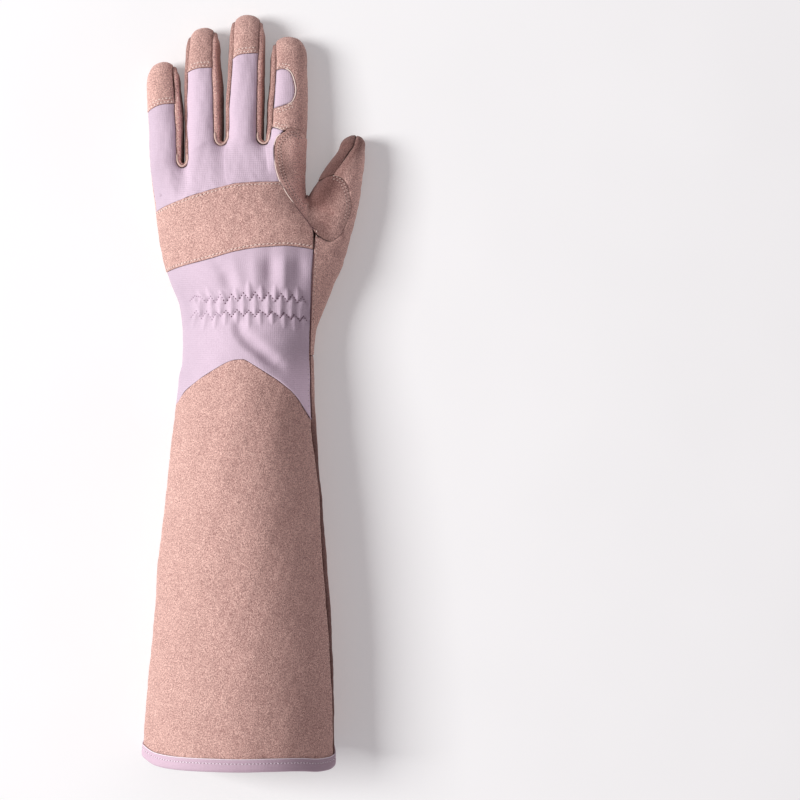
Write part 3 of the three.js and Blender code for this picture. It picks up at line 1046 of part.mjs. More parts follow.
  // outer side of the little finger, up to its back seam
  const wrap = (y, v) => {
    const line = sideLine(PINKY, 'left', y), w = lengthOf(line);
    return along(line, clamp(1 - v, (half + 0.05) / w, 1 - half / w));
  };
  const wrapRows = rowsF.slice(0, 6).map((r) => lerp(139.5, PINKY.dome - 0.25, Math.min(1, r)));
  const gW = [0, 0.33, 0.66, 1].map((v) => rowsF.map((r, j) => (v === 0 ? front(PINKY, 1, r, 139.5, 139.5) : wrap(lerp(139.5, PINKY.dome - 0.25, r), v))));
  s.grid(gW);
  const wrapK = gW.slice(1).map((col) => col[0]);
  // hand floor between the split row and the finger bases
  const nFloor = kLine.length, xK0 = kLine[0][0], xK1 = kLine[nFloor - 1][0];
  const tRight = [6.4, 4.4, 2.4];
  const rowsH = [];
  tRight.forEach((t, j) => {
    const q = webUnder(t), r = j / 3, yL = lerp(118.5, 139.5, r);
    const L = bodyLoop(yL), end = seamLeftS(yL) + half, fade = smooth(1 - (139.5 - yL) / FINGER_DROP);
    const wrapBody = [0, 0.33, 0.66, 1].map((v) => L.at(lerp(L.floorS(bodyEdge(yL).left + 3.6), end, v)));
    const wrapAll = [kLine[nFloor - 1], ...wrapK];
    const yK = 139.5, LK = bodyLoop(yK), endK = seamLeftS(yK) + half;
    const bodyK = [0, 0.33, 0.66, 1].map((v) => LK.at(lerp(LK.floorS(bodyEdge(yK).left + 3.6), endK, v)));
    const wrapRow = wrapBody.map((p, i) => add(p, sub(wrapAll[i], bodyK[i]), fade));
    const row = kLine.map((p, i) => {
      const f = (xK0 - p[0]) / (xK0 - xK1);
      const x0 = lerp(q[0] - UNDER_GAP, wrapRow[0][0], f), y0 = lerp(q[1], yL, f);
      const x = lerp(x0, p[0], r * 0.9), y = lerp(y0, p[1], r * 0.15);
      if (i === 0) return [q[0] - UNDER_GAP, q[1] - (j === 0 ? 0.4 : 0), q[2]];
      if (i === nFloor - 1) return wrapRow[0];
      const e = bodyEdge(Math.max(119, y));
      return [x, y, floorRise(x, e, 8) * (i === 1 ? 0.6 : 1)];
    });
    rowsH.push([...row, ...wrapRow.slice(1)]);
  });
  rowsH.push([...kLine, ...wrapK]);
  s.grid(rowsH[0].map((_, i) => rowsH.map((r) => r[i])));
  s.zip([T[0][7], ...rowC.slice(8)], rowsH[0]);
  addMesh('palm_panel', thicken(s), SUEDE);
}

// ---- binding folded over the open cuff edge
{
  const clear = 0.36, out = clear + BINDING_SHEET, inn = -(WALL + clear), inner = inn - BINDING_SHEET;
  const profile = [   // [height above the fold, distance from the skin]
    [BINDING_WIDTH, out], [1.2, out], [0.25, out - 0.5], [0, (out + inner) / 2 + 0.6], [0, (out + inner) / 2 - 0.6], [0.25, inner + 0.5], [1.2, inner],
    [BINDING_WIDTH, inner], [BINDING_WIDTH, inn], [0.9, inn], [0.9, clear], [BINDING_WIDTH, clear],
  ];
  const stations = [];
  const back = (c) => (y) => bodyLoop(y).at(lerp(seamLeftS(y), seamRightS(y), c));
  const front = (c) => (y) => bodyLoop(y).at(lerp(seamRightS(y) + bodyLoop(y).total, seamLeftS(y), c));
  const past = (a, y) => { const L = bodyLoop(y); const q = a < 0 ? a + L.total : a; return q <= L.leftAt ? L.at(q)[0] : q >= L.rightAt ? L.at(q)[0] : q < (L.leftAt + L.rightAt) / 2 ? bodyEdge(y).left - (q - L.leftAt) : bodyEdge(y).right + (L.rightAt - q); };
  for (let i = 0; i <= 15; i++) stations.push({ f: back(i / 15), a: (y) => lerp(seamLeftS(y), seamRightS(y), i / 15) });
  for (let i = 1; i < 12; i++) stations.push({ f: front(i / 12), a: (y) => lerp(seamRightS(y) + bodyLoop(y).total, seamLeftS(y), i / 12) });
  const rings = stations.map(({ f, a }) => {
    let y = -214;
    for (let i = 0; i < 5; i++) y = read(HEM, 'x', 'y', past(a(y), y));
    return { f, y };
  });
  const n = rings.length, pos = [], tris = [], m = profile.length;
  rings.forEach((R, i) => {
    const a = rings[(i + n - 1) % n], b = rings[(i + 1) % n];
    for (const [h, d] of profile) {
      const p = R.f(R.y + h), q0 = a.f(a.y + h), q1 = b.f(b.y + h);
      // outward: along the ring crossed with the glove's length
      const N = unit(cross(sub(q1, q0), [0, 1, 0]));
      pos.push(add(p, N, d));
    }
  });
  for (let i = 0; i < n; i++) for (let j = 0; j < m; j++) {
    const a = i * m + j, b = ((i + 1) % n) * m + j, c = ((i + 1) % n) * m + (j + 1) % m, e = i * m + (j + 1) % m;
    tris.push([a, c, b]); tris.push([a, e, c]);
  }
  addMesh('cuff_binding', { pos, tris }, BINDING);
}

export { stats };
export default group;
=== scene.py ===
import math

import bpy
import numpy as np
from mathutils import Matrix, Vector
from mathutils.bvhtree import BVHTree
from mathutils.kdtree import KDTree


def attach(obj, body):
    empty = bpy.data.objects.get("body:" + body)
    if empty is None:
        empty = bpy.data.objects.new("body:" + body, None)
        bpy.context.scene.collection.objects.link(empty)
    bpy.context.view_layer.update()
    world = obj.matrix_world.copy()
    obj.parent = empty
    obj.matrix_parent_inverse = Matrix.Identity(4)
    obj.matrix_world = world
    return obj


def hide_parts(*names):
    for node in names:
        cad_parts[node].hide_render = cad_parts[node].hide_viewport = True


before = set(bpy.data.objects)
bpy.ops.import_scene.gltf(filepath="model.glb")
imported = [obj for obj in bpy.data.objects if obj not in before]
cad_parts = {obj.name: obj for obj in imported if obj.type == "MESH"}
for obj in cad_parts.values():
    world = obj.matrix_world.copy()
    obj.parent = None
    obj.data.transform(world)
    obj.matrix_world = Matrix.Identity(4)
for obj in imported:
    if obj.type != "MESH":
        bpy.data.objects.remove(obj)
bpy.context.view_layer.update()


# ------------------------------------------------------------------ the glove's shape, in millimetres
CENTRE_X, CENTRE_Y = -0.31, 4.86
FINGER_DROP, WRIST_SEAM_Y, SPLIT_Y = 22.0, 23.5, 118.0
BINDING_WIDTH = 7.6
PALM_RHO, PALM_INSET = 0.82, 2.2


def pchip(xs, ys):
    """Smooth, never overshooting curve through the points, held level past both ends."""
    xs, ys = np.asarray(xs, float), np.asarray(ys, float)
    h, d = np.diff(xs), np.diff(ys) / np.diff(xs)
    m = np.zeros(len(xs))
    m[0], m[-1] = d[0], d[-1]
    for k in range(1, len(xs) - 1):
        if d[k - 1] * d[k] > 0:
            w1, w2 = 2 * h[k] + h[k - 1], h[k] + 2 * h[k - 1]
            m[k] = (w1 + w2) / (w1 / d[k - 1] + w2 / d[k])

    def at(x):
        x = np.clip(np.asarray(x, float), xs[0], xs[-1])
        i = np.clip(np.searchsorted(xs, x, side="right") - 1, 0, len(xs) - 2)
        w = h[i]
        t = (x - xs[i]) / w
        t2, t3 = t * t, t * t * t
        return ys[i] * (2 * t3 - 3 * t2 + 1) + m[i] * w * (t3 - 2 * t2 + t) + ys[i + 1] * (3 * t2 - 2 * t3) + m[i + 1] * w * (t3 - t2)

    return at


def table(columns, rows, key=0):
    """A table with named columns, as one curve per column over the key column."""
    cols = list(zip(*rows))
    return {name: pchip(cols[key], cols[i]) for i, name in enumerate(columns) if i != key}


BODY = table(("y", "left", "right", "side", "top", "round", "crest", "peak"), [
    (-222, -65.9, 47.6, 22, 55, 2.05, 0.04, 0.78), (-180, -63.6, 47.2, 21.5, 54.5, 2.05, 0.04, 0.78),
    (-140, -59.7, 46, 21, 53.5, 2.05, 0.04, 0.78), (-98, -56.6, 43.2, 20, 52, 2.05, 0.05, 0.78),
    (-55, -51.7, 39.4, 19, 49.5, 2.05, 0.05, 0.78), (-20, -48.3, 36.7, 17.5, 46, 2.05, 0.07, 0.76),
    (9, -44.9, 35.3, 16, 42, 2.05, 0.09, 0.73), (25, -42.7, 35.3, 15, 39.5, 2.05, 0.11, 0.71),
    (38, -43, 36.6, 14.5, 37.5, 2.1, 0.13, 0.69), (52, -44.6, 41.2, 14, 37, 2.1, 0.14, 0.67),
    (66, -49.9, 47.2, 13.5, 37.5, 2.15, 0.14, 0.66), (80, -54.6, 53, 13, 37.5, 2.2, 0.14, 0.65),
    (95, -57.2, 50.5, 12.5, 37, 2.25, 0.15, 0.62), (109, -59.2, 37.5, 12, 35.5, 2.35, 0.2, 0.58),
    (118, -60.3, 30.6, 11.5, 33.5, 2.5, 0.14, 0.56), (132, -61.7, 29.9, 10.5, 30, 2.7, 0.08, 0.52),
    (156, -63.3, 30.6, 9.5, 25, 3.1, 0, 0.5)])
THUMB_ROWS = [
    (40, 6.0, 37.0, 14.5, 24.0), (66, 14.0, 47.2, 13.5, 25.0), (80, 18.0, 53.0, 13.0, 26.0), (95, 22.5, 57.3, 12.5, 26.5),
    (109, 27.0, 60.8, 12.0, 26.0), (118, 30.6, 62.6, 11.5, 25.5), (128, 37.0, 63.8, 11.0, 24.0), (137, 43.0, 65.0, 10.5, 22.5),
    (146, 49.6, 65.5, 9.5, 19.5)]
THUMB = table(("y", "left", "right", "side", "top"), THUMB_ROWS)
DIGIT_COLS = ("y", "left", "right", "side", "top", "seamL", "seamR")


def digit(rows, dome, tip, outline, lean, rnd, cols=DIGIT_COLS):
    d = table(cols, rows)
    d.update(dome=dome, tip=tip, outline=outline, lean=lean, round=rnd)
    return d


PINKY = digit([
    (132, -62.0, -42.8, 10.0, 23.5, -61.6, -45.9), (146, -63.1, -42.4, 9.5, 22.5, -62.9, -46.1),
    (157, -63.5, -42.5, 9.2, 21.5, -63.3, -46.4), (168, -64.1, -42.9, 9.0, 20.5, -63.9, -47.0),
    (184, -64.7, -44.8, 8.5, 18.5, -64.5, -47.7), (199, -64.0, -45.4, 8.0, 17.0, -64.2, -49.6)], 184, 198.9, 2.2, 0.0, 2.4)
RING = digit([
    (132, -41.2, -18.6, 10.0, 24.5, -38.4, -22.4), (149, -41.4, -18.8, 9.7, 23.5, -39.7, -23.3),
    (161, -41.5, -18.8, 9.5, 22.5, -40.3, -23.7), (182, -41.5, -19.0, 9.2, 21.0, -40.2, -24.4),
    (203, -41.4, -21.1, 8.5, 19.0, -38.9, -25.2), (220, -40.8, -21.6, 8.0, 17.5, -38.0, -25.0)], 203, 219.3, 2.3, 0.06, 2.4)
MIDDLE = digit([
    (132, -17.0, 4.6, 10.0, 25.0, -14.9, 1.6), (152, -17.1, 5.0, 9.7, 24.0, -15.2, 1.7),
    (171, -17.6, 5.5, 9.5, 22.5, -14.9, 1.7), (193, -16.4, 5.7, 9.2, 21.0, -13.3, 2.1),
    (208, -15.8, 5.7, 8.7, 19.5, -12.5, 2.5), (228, -15.2, 5.6, 8.0, 17.5, -11.6, 2.7)], 208, 227.0, 2.5, 0.03, 2.4)
INDEX = digit([
    (132, 6.2, 29.9, 10.0, 25.0, 8.6, 27.0), (152, 6.3, 30.3, 9.7, 24.0, 9.2, 27.0),
    (161, 6.5, 30.6, 9.5, 23.0, 10.9, 27.0), (172, 7.0, 30.8, 9.5, 22.5, 11.5, 27.0),
    (182, 8.0, 30.9, 9.2, 21.5, 12.2, 27.0), (198, 8.9, 30.5, 8.7, 19.5, 12.9, 27.0),
    (214, 9.4, 29.8, 8.0, 17.5, 12.4, 27.0)], 198, 213.8, 2.4, 0.03, 2.4)
TIP = digit(THUMB_ROWS, 146, 155.2, 2.2, 0.2, 2.3, ("y", "left", "right", "side", "top"))

CROTCHES = [
    {"leftY": 139.5, "rightY": 139.5, "depth": 4.4, "core": 1.2},
    {"leftY": 152.3, "rightY": 153.3, "depth": 5.0, "core": 1.6},
    {"leftY": 152.3, "rightY": 151.6, "depth": 3.4, "core": 0.6}]
XY = ("x", "y")


def line(*rows):
    return table(XY, rows)["y"]


CAP_PINKY = line((-66, 167.5), (-54.4, 172.0), (-42, 173.3))
CAP_RING = line((-42, 191.0), (-32.3, 193.5), (-19, 194.3))
CAP_MIDDLE = line((-17, 196.0), (-8.6, 201.5), (6, 203.0))
BAND_TOP = line((-62, 107.0), (-56.4, 109.8), (-43.1, 114.4), (-30.6, 118.5), (-19.1, 121.7), (-9.1, 123.9), (0.8, 124.8), (16, 125.4))
BAND_BOTTOM = line((-58, 71.0), (-51.5, 73.2), (-43.5, 75.4), (-26.1, 79.3), (-9.1, 83.8), (0.8, 85.5), (11.0, 86.5), (21.1, 86.9), (28.9, 86.3), (37, 85.0))
ARCH = line((-60, -14.0), (-46, -5.0), (-40.9, 1.7), (-35.6, 5.9), (-27.9, 11.3), (-19.0, 16.5), (-13.1, 19.4), (-8.7, 20.5), (-4.6, 20.6),
            (-2.6, 19.8), (-0.4, 18.5), (6.2, 14.4), (13.7, 9.6), (18.9, 5.6), (22.6, 2.4), (26.6, -2.4), (30.6, -9.1), (34.4, -15.6))
RIGHT_SEAM = table(("y", "x"), [
    (-222, 47.3), (-180, 46.4), (-144, 44.7), (-121, 42.9), (-97, 40.9), (-62, 38.9), (-38, 36.4), (-26, 34.7), (-15, 34.0),
    (9, 33.2), (28, 32.9), (43, 33.4), (58, 34.1), (71, 34.8), (83, 35.6), (96, 35.8)])["x"]
LEFT_SEAM = table(("y", "past"), [(-222, 13), (0, 12), (24, 9), (50, 4), (75, -0.5), (100, -2.2), (156, -2.0), (200, -1.6)])["past"]
WEB_ROWS = [
    (17.9, 155.2, 30.5, 153.0, 9.7), (13.5, 151.6, 30.3, 149.5, 9.8), (11.9, 145.2, 30.1, 144.0, 10.0), (12.9, 135.7, 29.9, 136.0, 10.5),
    (15.0, 127.6, 29.8, 129.0, 11.0), (19.1, 119.3, 29.8, 123.5, 12.0), (24.9, 111.2, 30.0, 119.6, 13.0), (31.1, 103.3, 30.5, 117.8, 13.5),
    (38.1, 93.9, 31.0, 117.3, 13.8), (45.5, 90.5, 31.5, 117.3, 13.8), (51.2, 94.6, 32.0, 117.8, 13.6), (55.0, 102.0, 32.6, 118.8, 13.2),
    (57.3, 109.7, 33.3, 120.2, 12.6), (56.8, 116.5, 34.3, 122.2, 12.0), (55.3, 122.7, 35.5, 124.2, 11.6), (52.4, 127.4, 36.6, 125.8, 11.3),
    (46.5, 129.7, 37.6, 127.2, 11.1)]
WEB = table(("i", "ox", "oy", "mx", "my", "mz"), [(i, *r) for i, r in enumerate(WEB_ROWS)])
SCALLOP = line((17.9, 155.2), (20.0, 157.0), (22.8, 157.8), (27.2, 156.3), (31, 153.0))
INDEX_LOW = line((10.4, 158.7), (14, 157.6), (17.9, 156.1), (20.0, 157.0), (22.8, 157.8), (27.2, 156.3), (31, 153.0))
THUMB_SEAM = table(("y", "x"), [(129.9, 47.6), (134.1, 50.3), (142.6, 55.4), (148.3, 59.0), (156, 60.6)])["x"]
HEM = line((-90, -210.5), (-72, -211.5), (-64, -214.2), (-57, -216.6), (-48, -217.0), (-20, -216.5), (5, -216.6), (20, -217.2), (30, -218.3), (40, -220.2), (45, -220.4), (49, -218.6), (60, -213.6), (90, -209.5))
OPENING = np.array([(11.6, 169.6), (17.3, 171.0), (22.2, 173.2), (24.4, 178.7), (23.9, 184.8), (20.2, 192.3), (16.2, 193.2), (12.9, 192.6)])
# folds pressed into the back: x0, y0, x1, y1, width, depth
FOLDS = [
    (-7, 39, 16.5, 15, 4.2, 1.7), (32, 115, 44, 108, 4, 2.2), (11.5, 84, 11.5, 63, 4, 1.2), (28, 84, 29, 63, 3.6, 0.9), (-16, 74, -12, 60, 4, 1.2)]
ELASTIC_Y0, ELASTIC_Y1, ELASTIC_DEPTH, ELASTIC_FADE = 45, 59, 1.5, 7


def lerp(a, b, t):
    return a + (b - a) * t


def smooth(t):
    c = np.clip(t, 0, 1)
    return c * c * (3 - 2 * c)


def crown(x, left, right, side, top, rnd, crest=0.0, peak=0.5):
    u = (x - (left + right) / 2) / ((right - left) / 2)
    xi = np.clip(np.where(u < crest, (crest - u) / (1 + crest), (u - crest) / (1 - crest)), 0, 1)
    return side + (top - side) * np.maximum(0, 1 - xi ** rnd) ** peak


def smooth_max(a, b, k):
    h = np.maximum(k - np.abs(a - b), 0) / k
    return np.maximum(a, b) + h * h * k / 4


def fold_depth(x, y):
    z = np.zeros(np.broadcast(x, y).shape)
    for x0, y0, x1, y1, width, depth in FOLDS:
        dx, dy = x1 - x0, y1 - y0
        L2 = dx * dx + dy * dy
        t = np.clip(((x - x0) * dx + (y - y0) * dy) / L2, 0, 1)
        d = np.hypot(x - x0 - dx * t, y - y0 - dy * t)
        z = z - depth * np.exp(-(d / width) ** 2) * np.sin(np.pi * np.clip(t, 0.12, 0.88))
    e = np.maximum(np.maximum(ELASTIC_Y0 - y, y - ELASTIC_Y1), 0) / ELASTIC_FADE
    return z - ELASTIC_DEPTH * np.exp(-e * e)


def body_right(y):
    on = (y <= SPLIT_Y) & (y >= 40)
    return np.where(on, np.maximum(BODY["right"](y), THUMB["right"](y)), BODY["right"](y))


def body_top(x, y):
    x, y = np.broadcast_arrays(np.asarray(x, float), np.asarray(y, float))
    hl, hr, hs = BODY["left"](y), BODY["right"](y), BODY["side"](y)
    z = crown(x, hl, hr, hs, BODY["top"](y), BODY["round"](y), BODY["crest"](y), BODY["peak"](y))
    z = np.where(x > hr, hs - (x - hr) * 3, z)
    tl, tr = THUMB["left"](y), THUMB["right"](y)
    er = body_right(y)
    zt = crown(x, tl, tr, THUMB["side"](y), THUMB["top"](y), 2.3)
    near = np.minimum(1, (er - x) / 6)
    both = smooth_max(z, zt, np.maximum(0.01, 5 * near))
    z = np.where((y <= SPLIT_Y) & (y > 40) & (x > tl), both, z)
    rim = np.minimum(x - hl, er - x)
    return z + fold_depth(x, y) * smooth(rim / 8)


def cuff_lift(y):
    return 1.47 * smooth((-192 - y) / 14)


def body_corner(y):
    return np.where(y > SPLIT_Y, 9.0, lerp(15, 9, smooth((y - 40) / 78)))


def floor_rise(x, left, right, side, corner, lift=0.0):
    mid, hw = (left + right) / 2, (right - left) / 2
    e = np.clip((np.abs(x - mid) - (hw - corner)) / corner, 0, 1)
    return lift + (side - lift) * (1 - np.sqrt(np.maximum(0, 1 - e * e)))


def body_floor(x, y, corner=None):
    return floor_rise(x, BODY["left"](y), body_right(y), BODY["side"](y), body_corner(y) if corner is None else corner, cuff_lift(y))


# Closed sections of the body, counted by length leftwards from x = 0 on the back.
YS = np.arange(-224.0, 160.01, 0.5)
_N = 70
_k = np.arange(_N + 1) / _N


def _sections():
    y = YS[:, None]
    left, right = BODY["left"](YS)[:, None], body_right(YS)[:, None]
    side = BODY["side"](YS)[:, None]
    xa = left * np.sin(np.pi / 2 * _k)[None]
    za = body_top(xa, y + 0 * xa)
    za[:, -1] = side[:, 0]
    mid, hw = (left + right) / 2, (right - left) / 2
    kb = np.arange(1, 2 * _N) / (2 * _N)
    xb = mid - hw * np.cos(np.pi * kb)[None]
    zb = body_floor(xb, y + 0 * xb)
    xc = right - right * (1 - np.cos(np.pi / 2 * _k))[None]
    zc = body_top(xc, y + 0 * xc)
    zc[:, 0] = side[:, 0]
    X, Z = np.concatenate([xa, xb, xc], 1), np.concatenate([za, zb, zc], 1)
    S = np.concatenate([np.zeros((len(YS), 1)), np.cumsum(np.hypot(np.diff(X), np.diff(Z)), 1)], 1)
    return X, Z, S


SX, SZ, SS = _sections()
TOTAL, LEFT_AT, RIGHT_AT = SS[:, -1], SS[:, _N], SS[:, 3 * _N]
_M = 1600
_U = np.linspace(0, 1, _M + 1)
UX = np.array([np.interp(_U, s / s[-1], x) for s, x in zip(SS, SX)])
UZ = np.array([np.interp(_U, s / s[-1], z) for s, z in zip(SS, SZ)])


def by_y(values):
    return lambda y: np.interp(y, YS, values)


total, left_at, right_at = by_y(TOTAL), by_y(LEFT_AT), by_y(RIGHT_AT)


def P(a, y):
    """Point of the body's skin."""
    a, y = np.broadcast_arrays(np.asarray(a, float), np.asarray(y, float))
    u = (a / total(y)) % 1.0 * _M
    v = np.clip((y - YS[0]) / 0.5, 0, len(YS) - 1.001)
    i, j = np.clip(u.astype(int), 0, _M - 1), v.astype(int)
    fu, fv = u - i, v - j
    out = np.empty(a.shape + (3,))
    for k, G in ((0, UX), (2, UZ)):
        out[..., k] = (G[j, i] * (1 - fu) + G[j, i + 1] * fu) * (1 - fv) + (G[j + 1, i] * (1 - fu) + G[j + 1, i + 1] * fu) * fv
    out[..., 1] = y
    return out


def top_s(xs):
    """Length position on the back of x, for every section."""
    out = []
    for x, X, S, T in zip(xs, SX, SS, TOTAL):
        if x <= 0:
            out.append(np.interp(-x, -X[:_N + 1], S[:_N + 1]))
        else:
            out.append(np.interp(-x, -X[3 * _N:], S[3 * _N:]) - T)
    return np.array(out)


seam_left_s = by_y(LEFT_AT + LEFT_SEAM(YS))
seam_right_s = by_y(top_s(RIGHT_SEAM(YS)))


def floor_s(x, y):
    """Length position on the underside of x, one section."""
    j = int(np.clip(round((y - YS[0]) / 0.5), 0, len(YS) - 1))
    return float(np.interp(x, SX[j][_N:3 * _N + 1], SS[j][_N:3 * _N + 1]))


def unrolled_x(a, y):
    return np.where(a <= left_at(y), P(a, y)[..., 0], BODY["left"](y) - (a - left_at(y)))


def strip(lower, upper, right=seam_right_s, left=seam_left_s):
    def at(c, r):
        y = lerp(lower(0.0), upper(0.0), r)
        for _ in range(8):
            a = lerp(left(y), right(y), c)
            x = unrolled_x(a, y)
            y = lerp(lower(x), upper(x), r)
        return P(lerp(left(y), right(y), c), y)
    return at


# ---- digits
def d_edge(d, y):
    yy = np.minimum(y, d["dome"])
    l0, r0 = d["left"](yy), d["right"](yy)
    mid = (l0 + r0) / 2 + d["lean"] * np.maximum(0, y - d["dome"])
    eta = np.clip((y - d["dome"]) / (d["tip"] - d["dome"]), 0, 1)
    hw = (r0 - l0) / 2
    now = hw * (1 - eta ** d["outline"]) ** (1 / d["outline"])
    return mid - now, mid + now, mid, hw, eta, d["side"](y), d["top"](yy)


def d_rho(d, x, y):
    _, _, mid, hw, eta, _, _ = d_edge(d, y)
    return np.minimum(1, (np.abs((x - mid) / hw) ** d["outline"] + eta ** d["outline"]) ** (1 / d["outline"]))


def d_top(d, x, y):
    e = d_edge(d, y)
    return e[5] + (e[6] - e[5]) * np.sqrt(np.maximum(0, 1 - d_rho(d, x, y) ** d["round"]))


def d_floor(d, x, y):
    e = d_edge(d, y)
    k = np.clip((d_rho(d, x, y) - 0.45) / 0.55, 0, 1)
    return e[5] * (1 - np.sqrt(np.maximum(0, 1 - k * k)))


def tip_y(d, x):
    y = np.full(np.shape(x), d["tip"] - 1.0)
    for _ in range(10):
        _, _, mid, hw, _, _, _ = d_edge(d, y)
        xi = np.minimum(1, np.abs((x - mid) / hw))
        y = d["dome"] + (d["tip"] - d["dome"]) * (1 - xi ** d["outline"]) ** (1 / d["outline"])
    return y


def d_seam(d, which, y):
    return d["seamL" if which == "left" else "seamR"](y)


def seam_end(d, which):
    y = d["tip"] - 4.0
    for _ in range(14):
        y = float(tip_y(d, d_seam(d, which, y)))
    return y


def palm_seam_of(d, M):
    yy = min(M[1], d["dome"])
    mid = float(d_edge(d, yy)[2])
    if M[1] <= d["dome"]:
        return [lerp(mid, M[0], PALM_RHO), M[1]]
    return [lerp(mid, M[0], PALM_RHO), lerp(yy, M[1], PALM_RHO)]


def cross_line(top, floor, B, M, Q, zm, n=40):
    """From B on the back over the outline point M and under to Q."""
    t = np.sin(np.pi / 2 * np.arange(n + 1) / n)
    x, y = lerp(B[0], M[0], t), lerp(B[1], M[1], t)
    z = top(x, y)
    z[-1] = zm
    a = np.stack([x, y, z], 1)
    t = 1 - np.cos(np.pi / 2 * np.arange(1, n + 1) / n)
    x, y = lerp(M[0], Q[0], t), lerp(M[1], Q[1], t)
    return np.concatenate([a, np.stack([x, y, floor(x, y)], 1)])


def side_line(d, which, y):
    e = d_edge(d, y)
    M = [float(e[0] if which == "left" else e[1]), float(y)]
    bx = float(d_seam(d, which, y))
    bx = max(bx, M[0]) if which == "left" else min(bx, M[0])
    return cross_line(lambda x, q: d_top(d, x, q), lambda x, q: d_floor(d, x, q), [bx, y], M, palm_seam_of(d, M), float(e[5]))


def lengths(pts):
    return np.concatenate([[0], np.cumsum(np.linalg.norm(np.diff(pts, axis=0), axis=1))])


def along(pts, t):
    s = lengths(pts)
    q = np.clip(t, 0, 1) * s[-1]
    return np.stack([np.interp(q, s, pts[:, k]) for k in range(3)], -1)


def crotch_line(k, u, n=60):
    """One line across the turn of a side strip: u from the left finger to the right one."""
    A, B, C = (PINKY, RING, MIDDLE)[k], (RING, MIDDLE, INDEX)[k], CROTCHES[k]
    v = np.linspace(0, 1, n + 1)
    a, b = along(side_line(A, "right", C["leftY"]), v), along(side_line(B, "left", C["rightY"]), v)
    ea, eb = float(d_edge(A, C["leftY"])[1]), float(d_edge(B, C["rightY"])[0])
    off = (ea - a[:, 0] + b[:, 0] - eb) / (ea - a[0, 0] + b[0, 0] - eb)
    phi = np.pi * u
    p = lerp(a, b, (1 - math.cos(phi)) / 2)
    p[:, 1] -= (C["core"] + (C["depth"] - C["core"]) * off) * math.sin(phi)
    return p


# ------------------------------------------------------------------ sheets into pieces
EDGE = (0, 0.1, 0.28, 0.55, 0.9, 1.4, 2.1, 3.0)


def fractions(length, step, near0=True, near1=True):
    """Parameters 0..1 along a length, closer together near the sewn edges."""
    e = np.array(EDGE)
    if length < 9:
        e = e * length / 9
    lo, hi = (e if near0 else np.zeros(1)), (e if near1 else np.zeros(1))
    a, b = lo[-1], length - hi[-1]
    n = max(1, int(round((b - a) / step)))
    mid = np.linspace(a, b, n + 1)
    return np.concatenate([lo[:-1], mid, (length - hi[:-1])[::-1]]) / length


def resample_rows(lines, fr):
    """Each line resampled at the same fractions of its own length."""
    return np.array([along(l, fr) for l in lines])


class Sheet:
    """Blocks of points on a panel's outer face. Blocks share their common edges."""

    def __init__(self):
        self.v, self.f, self.rim, self.n = [], [], [], 0

    def grid(self, g):
        """g[i, j]: i along the first direction, j along the second; outward is i x j."""
        g = np.asarray(g, float)
        C, R = g.shape[:2]
        ids = self.n + np.arange(C * R).reshape(C, R)
        self.v.append(g.reshape(-1, 3))
        self.rim.append(np.concatenate([ids[0], ids[-1], ids[:, 0], ids[:, -1]]))
        q = np.stack([ids[:-1, :-1], ids[1:, :-1], ids[1:, 1:], ids[:-1, 1:]], -1).reshape(-1, 4)
        self.f.append(q)
        self.n += C * R
        return self

    def zip(self, lower, upper):
        a = self.n + np.arange(len(lower))
        b = self.n + len(lower) + np.arange(len(upper))
        self.v += [np.asarray(lower, float), np.asarray(upper, float)]
        self.rim += [a, b]
        self.n += len(lower) + len(upper)
        u, w = lengths(np.asarray(lower)), lengths(np.asarray(upper))
        u, w = u / u[-1], w / w[-1]
        i = j = 0
        out = []
        while i + 1 < len(a) or j + 1 < len(b):
            if j + 1 >= len(b) or (i + 1 < len(a) and u[i + 1] <= w[j + 1]):
                out.append((a[i], a[i + 1], b[j], b[j]))
                i += 1
            else:
                out.append((a[i], b[j + 1], b[j], b[j]))
                j += 1
        self.f.append(np.array(out))
        return self

    def merged(self):
        v, f = np.concatenate(self.v), np.concatenate(self.f)
        rim = np.unique(np.concatenate(self.rim))
        tree = KDTree(len(rim))
        for i in rim:
            tree.insert(v[i], int(i))
        tree.balance()
        to = np.arange(len(v))
        for i in rim:
            to[i] = min(k for _, k, _ in tree.find_range(v[i], 0.012))
        for _ in range(3):
            to = to[to]
        f = to[f]
        faces = []
        for q in f.tolist():
            r = [q[k] for k in range(4) if q[k] != q[k - 1]]
            if len(set(r)) == len(r) and len(r) >= 3:
                faces.append(r)
        used = np.unique([i for r in faces for i in r])
        back = np.full(len(v), -1)
        back[used] = np.arange(len(used))
        return v[used], [[int(back[i]) for i in r] for r in faces]


def normals_of(v, faces):
    n = np.zeros_like(v)
    tri = np.array([(r[0], r[k], r[k + 1]) for r in faces for k in range(1, len(r) - 1)])
    m = np.cross(v[tri[:, 1]] - v[tri[:, 0]], v[tri[:, 2]] - v[tri[:, 0]])
    for k in range(3):
        np.add.at(n, tri[:, k], m)
    return n / np.maximum(np.linalg.norm(n, axis=1, keepdims=True), 1e-9)


def border_of(faces):
    e = set()
    for r in faces:
        for k in range(len(r)):
            e.add((r[k - 1], r[k]))
    return [(a, b) for a, b in e if (b, a) not in e]


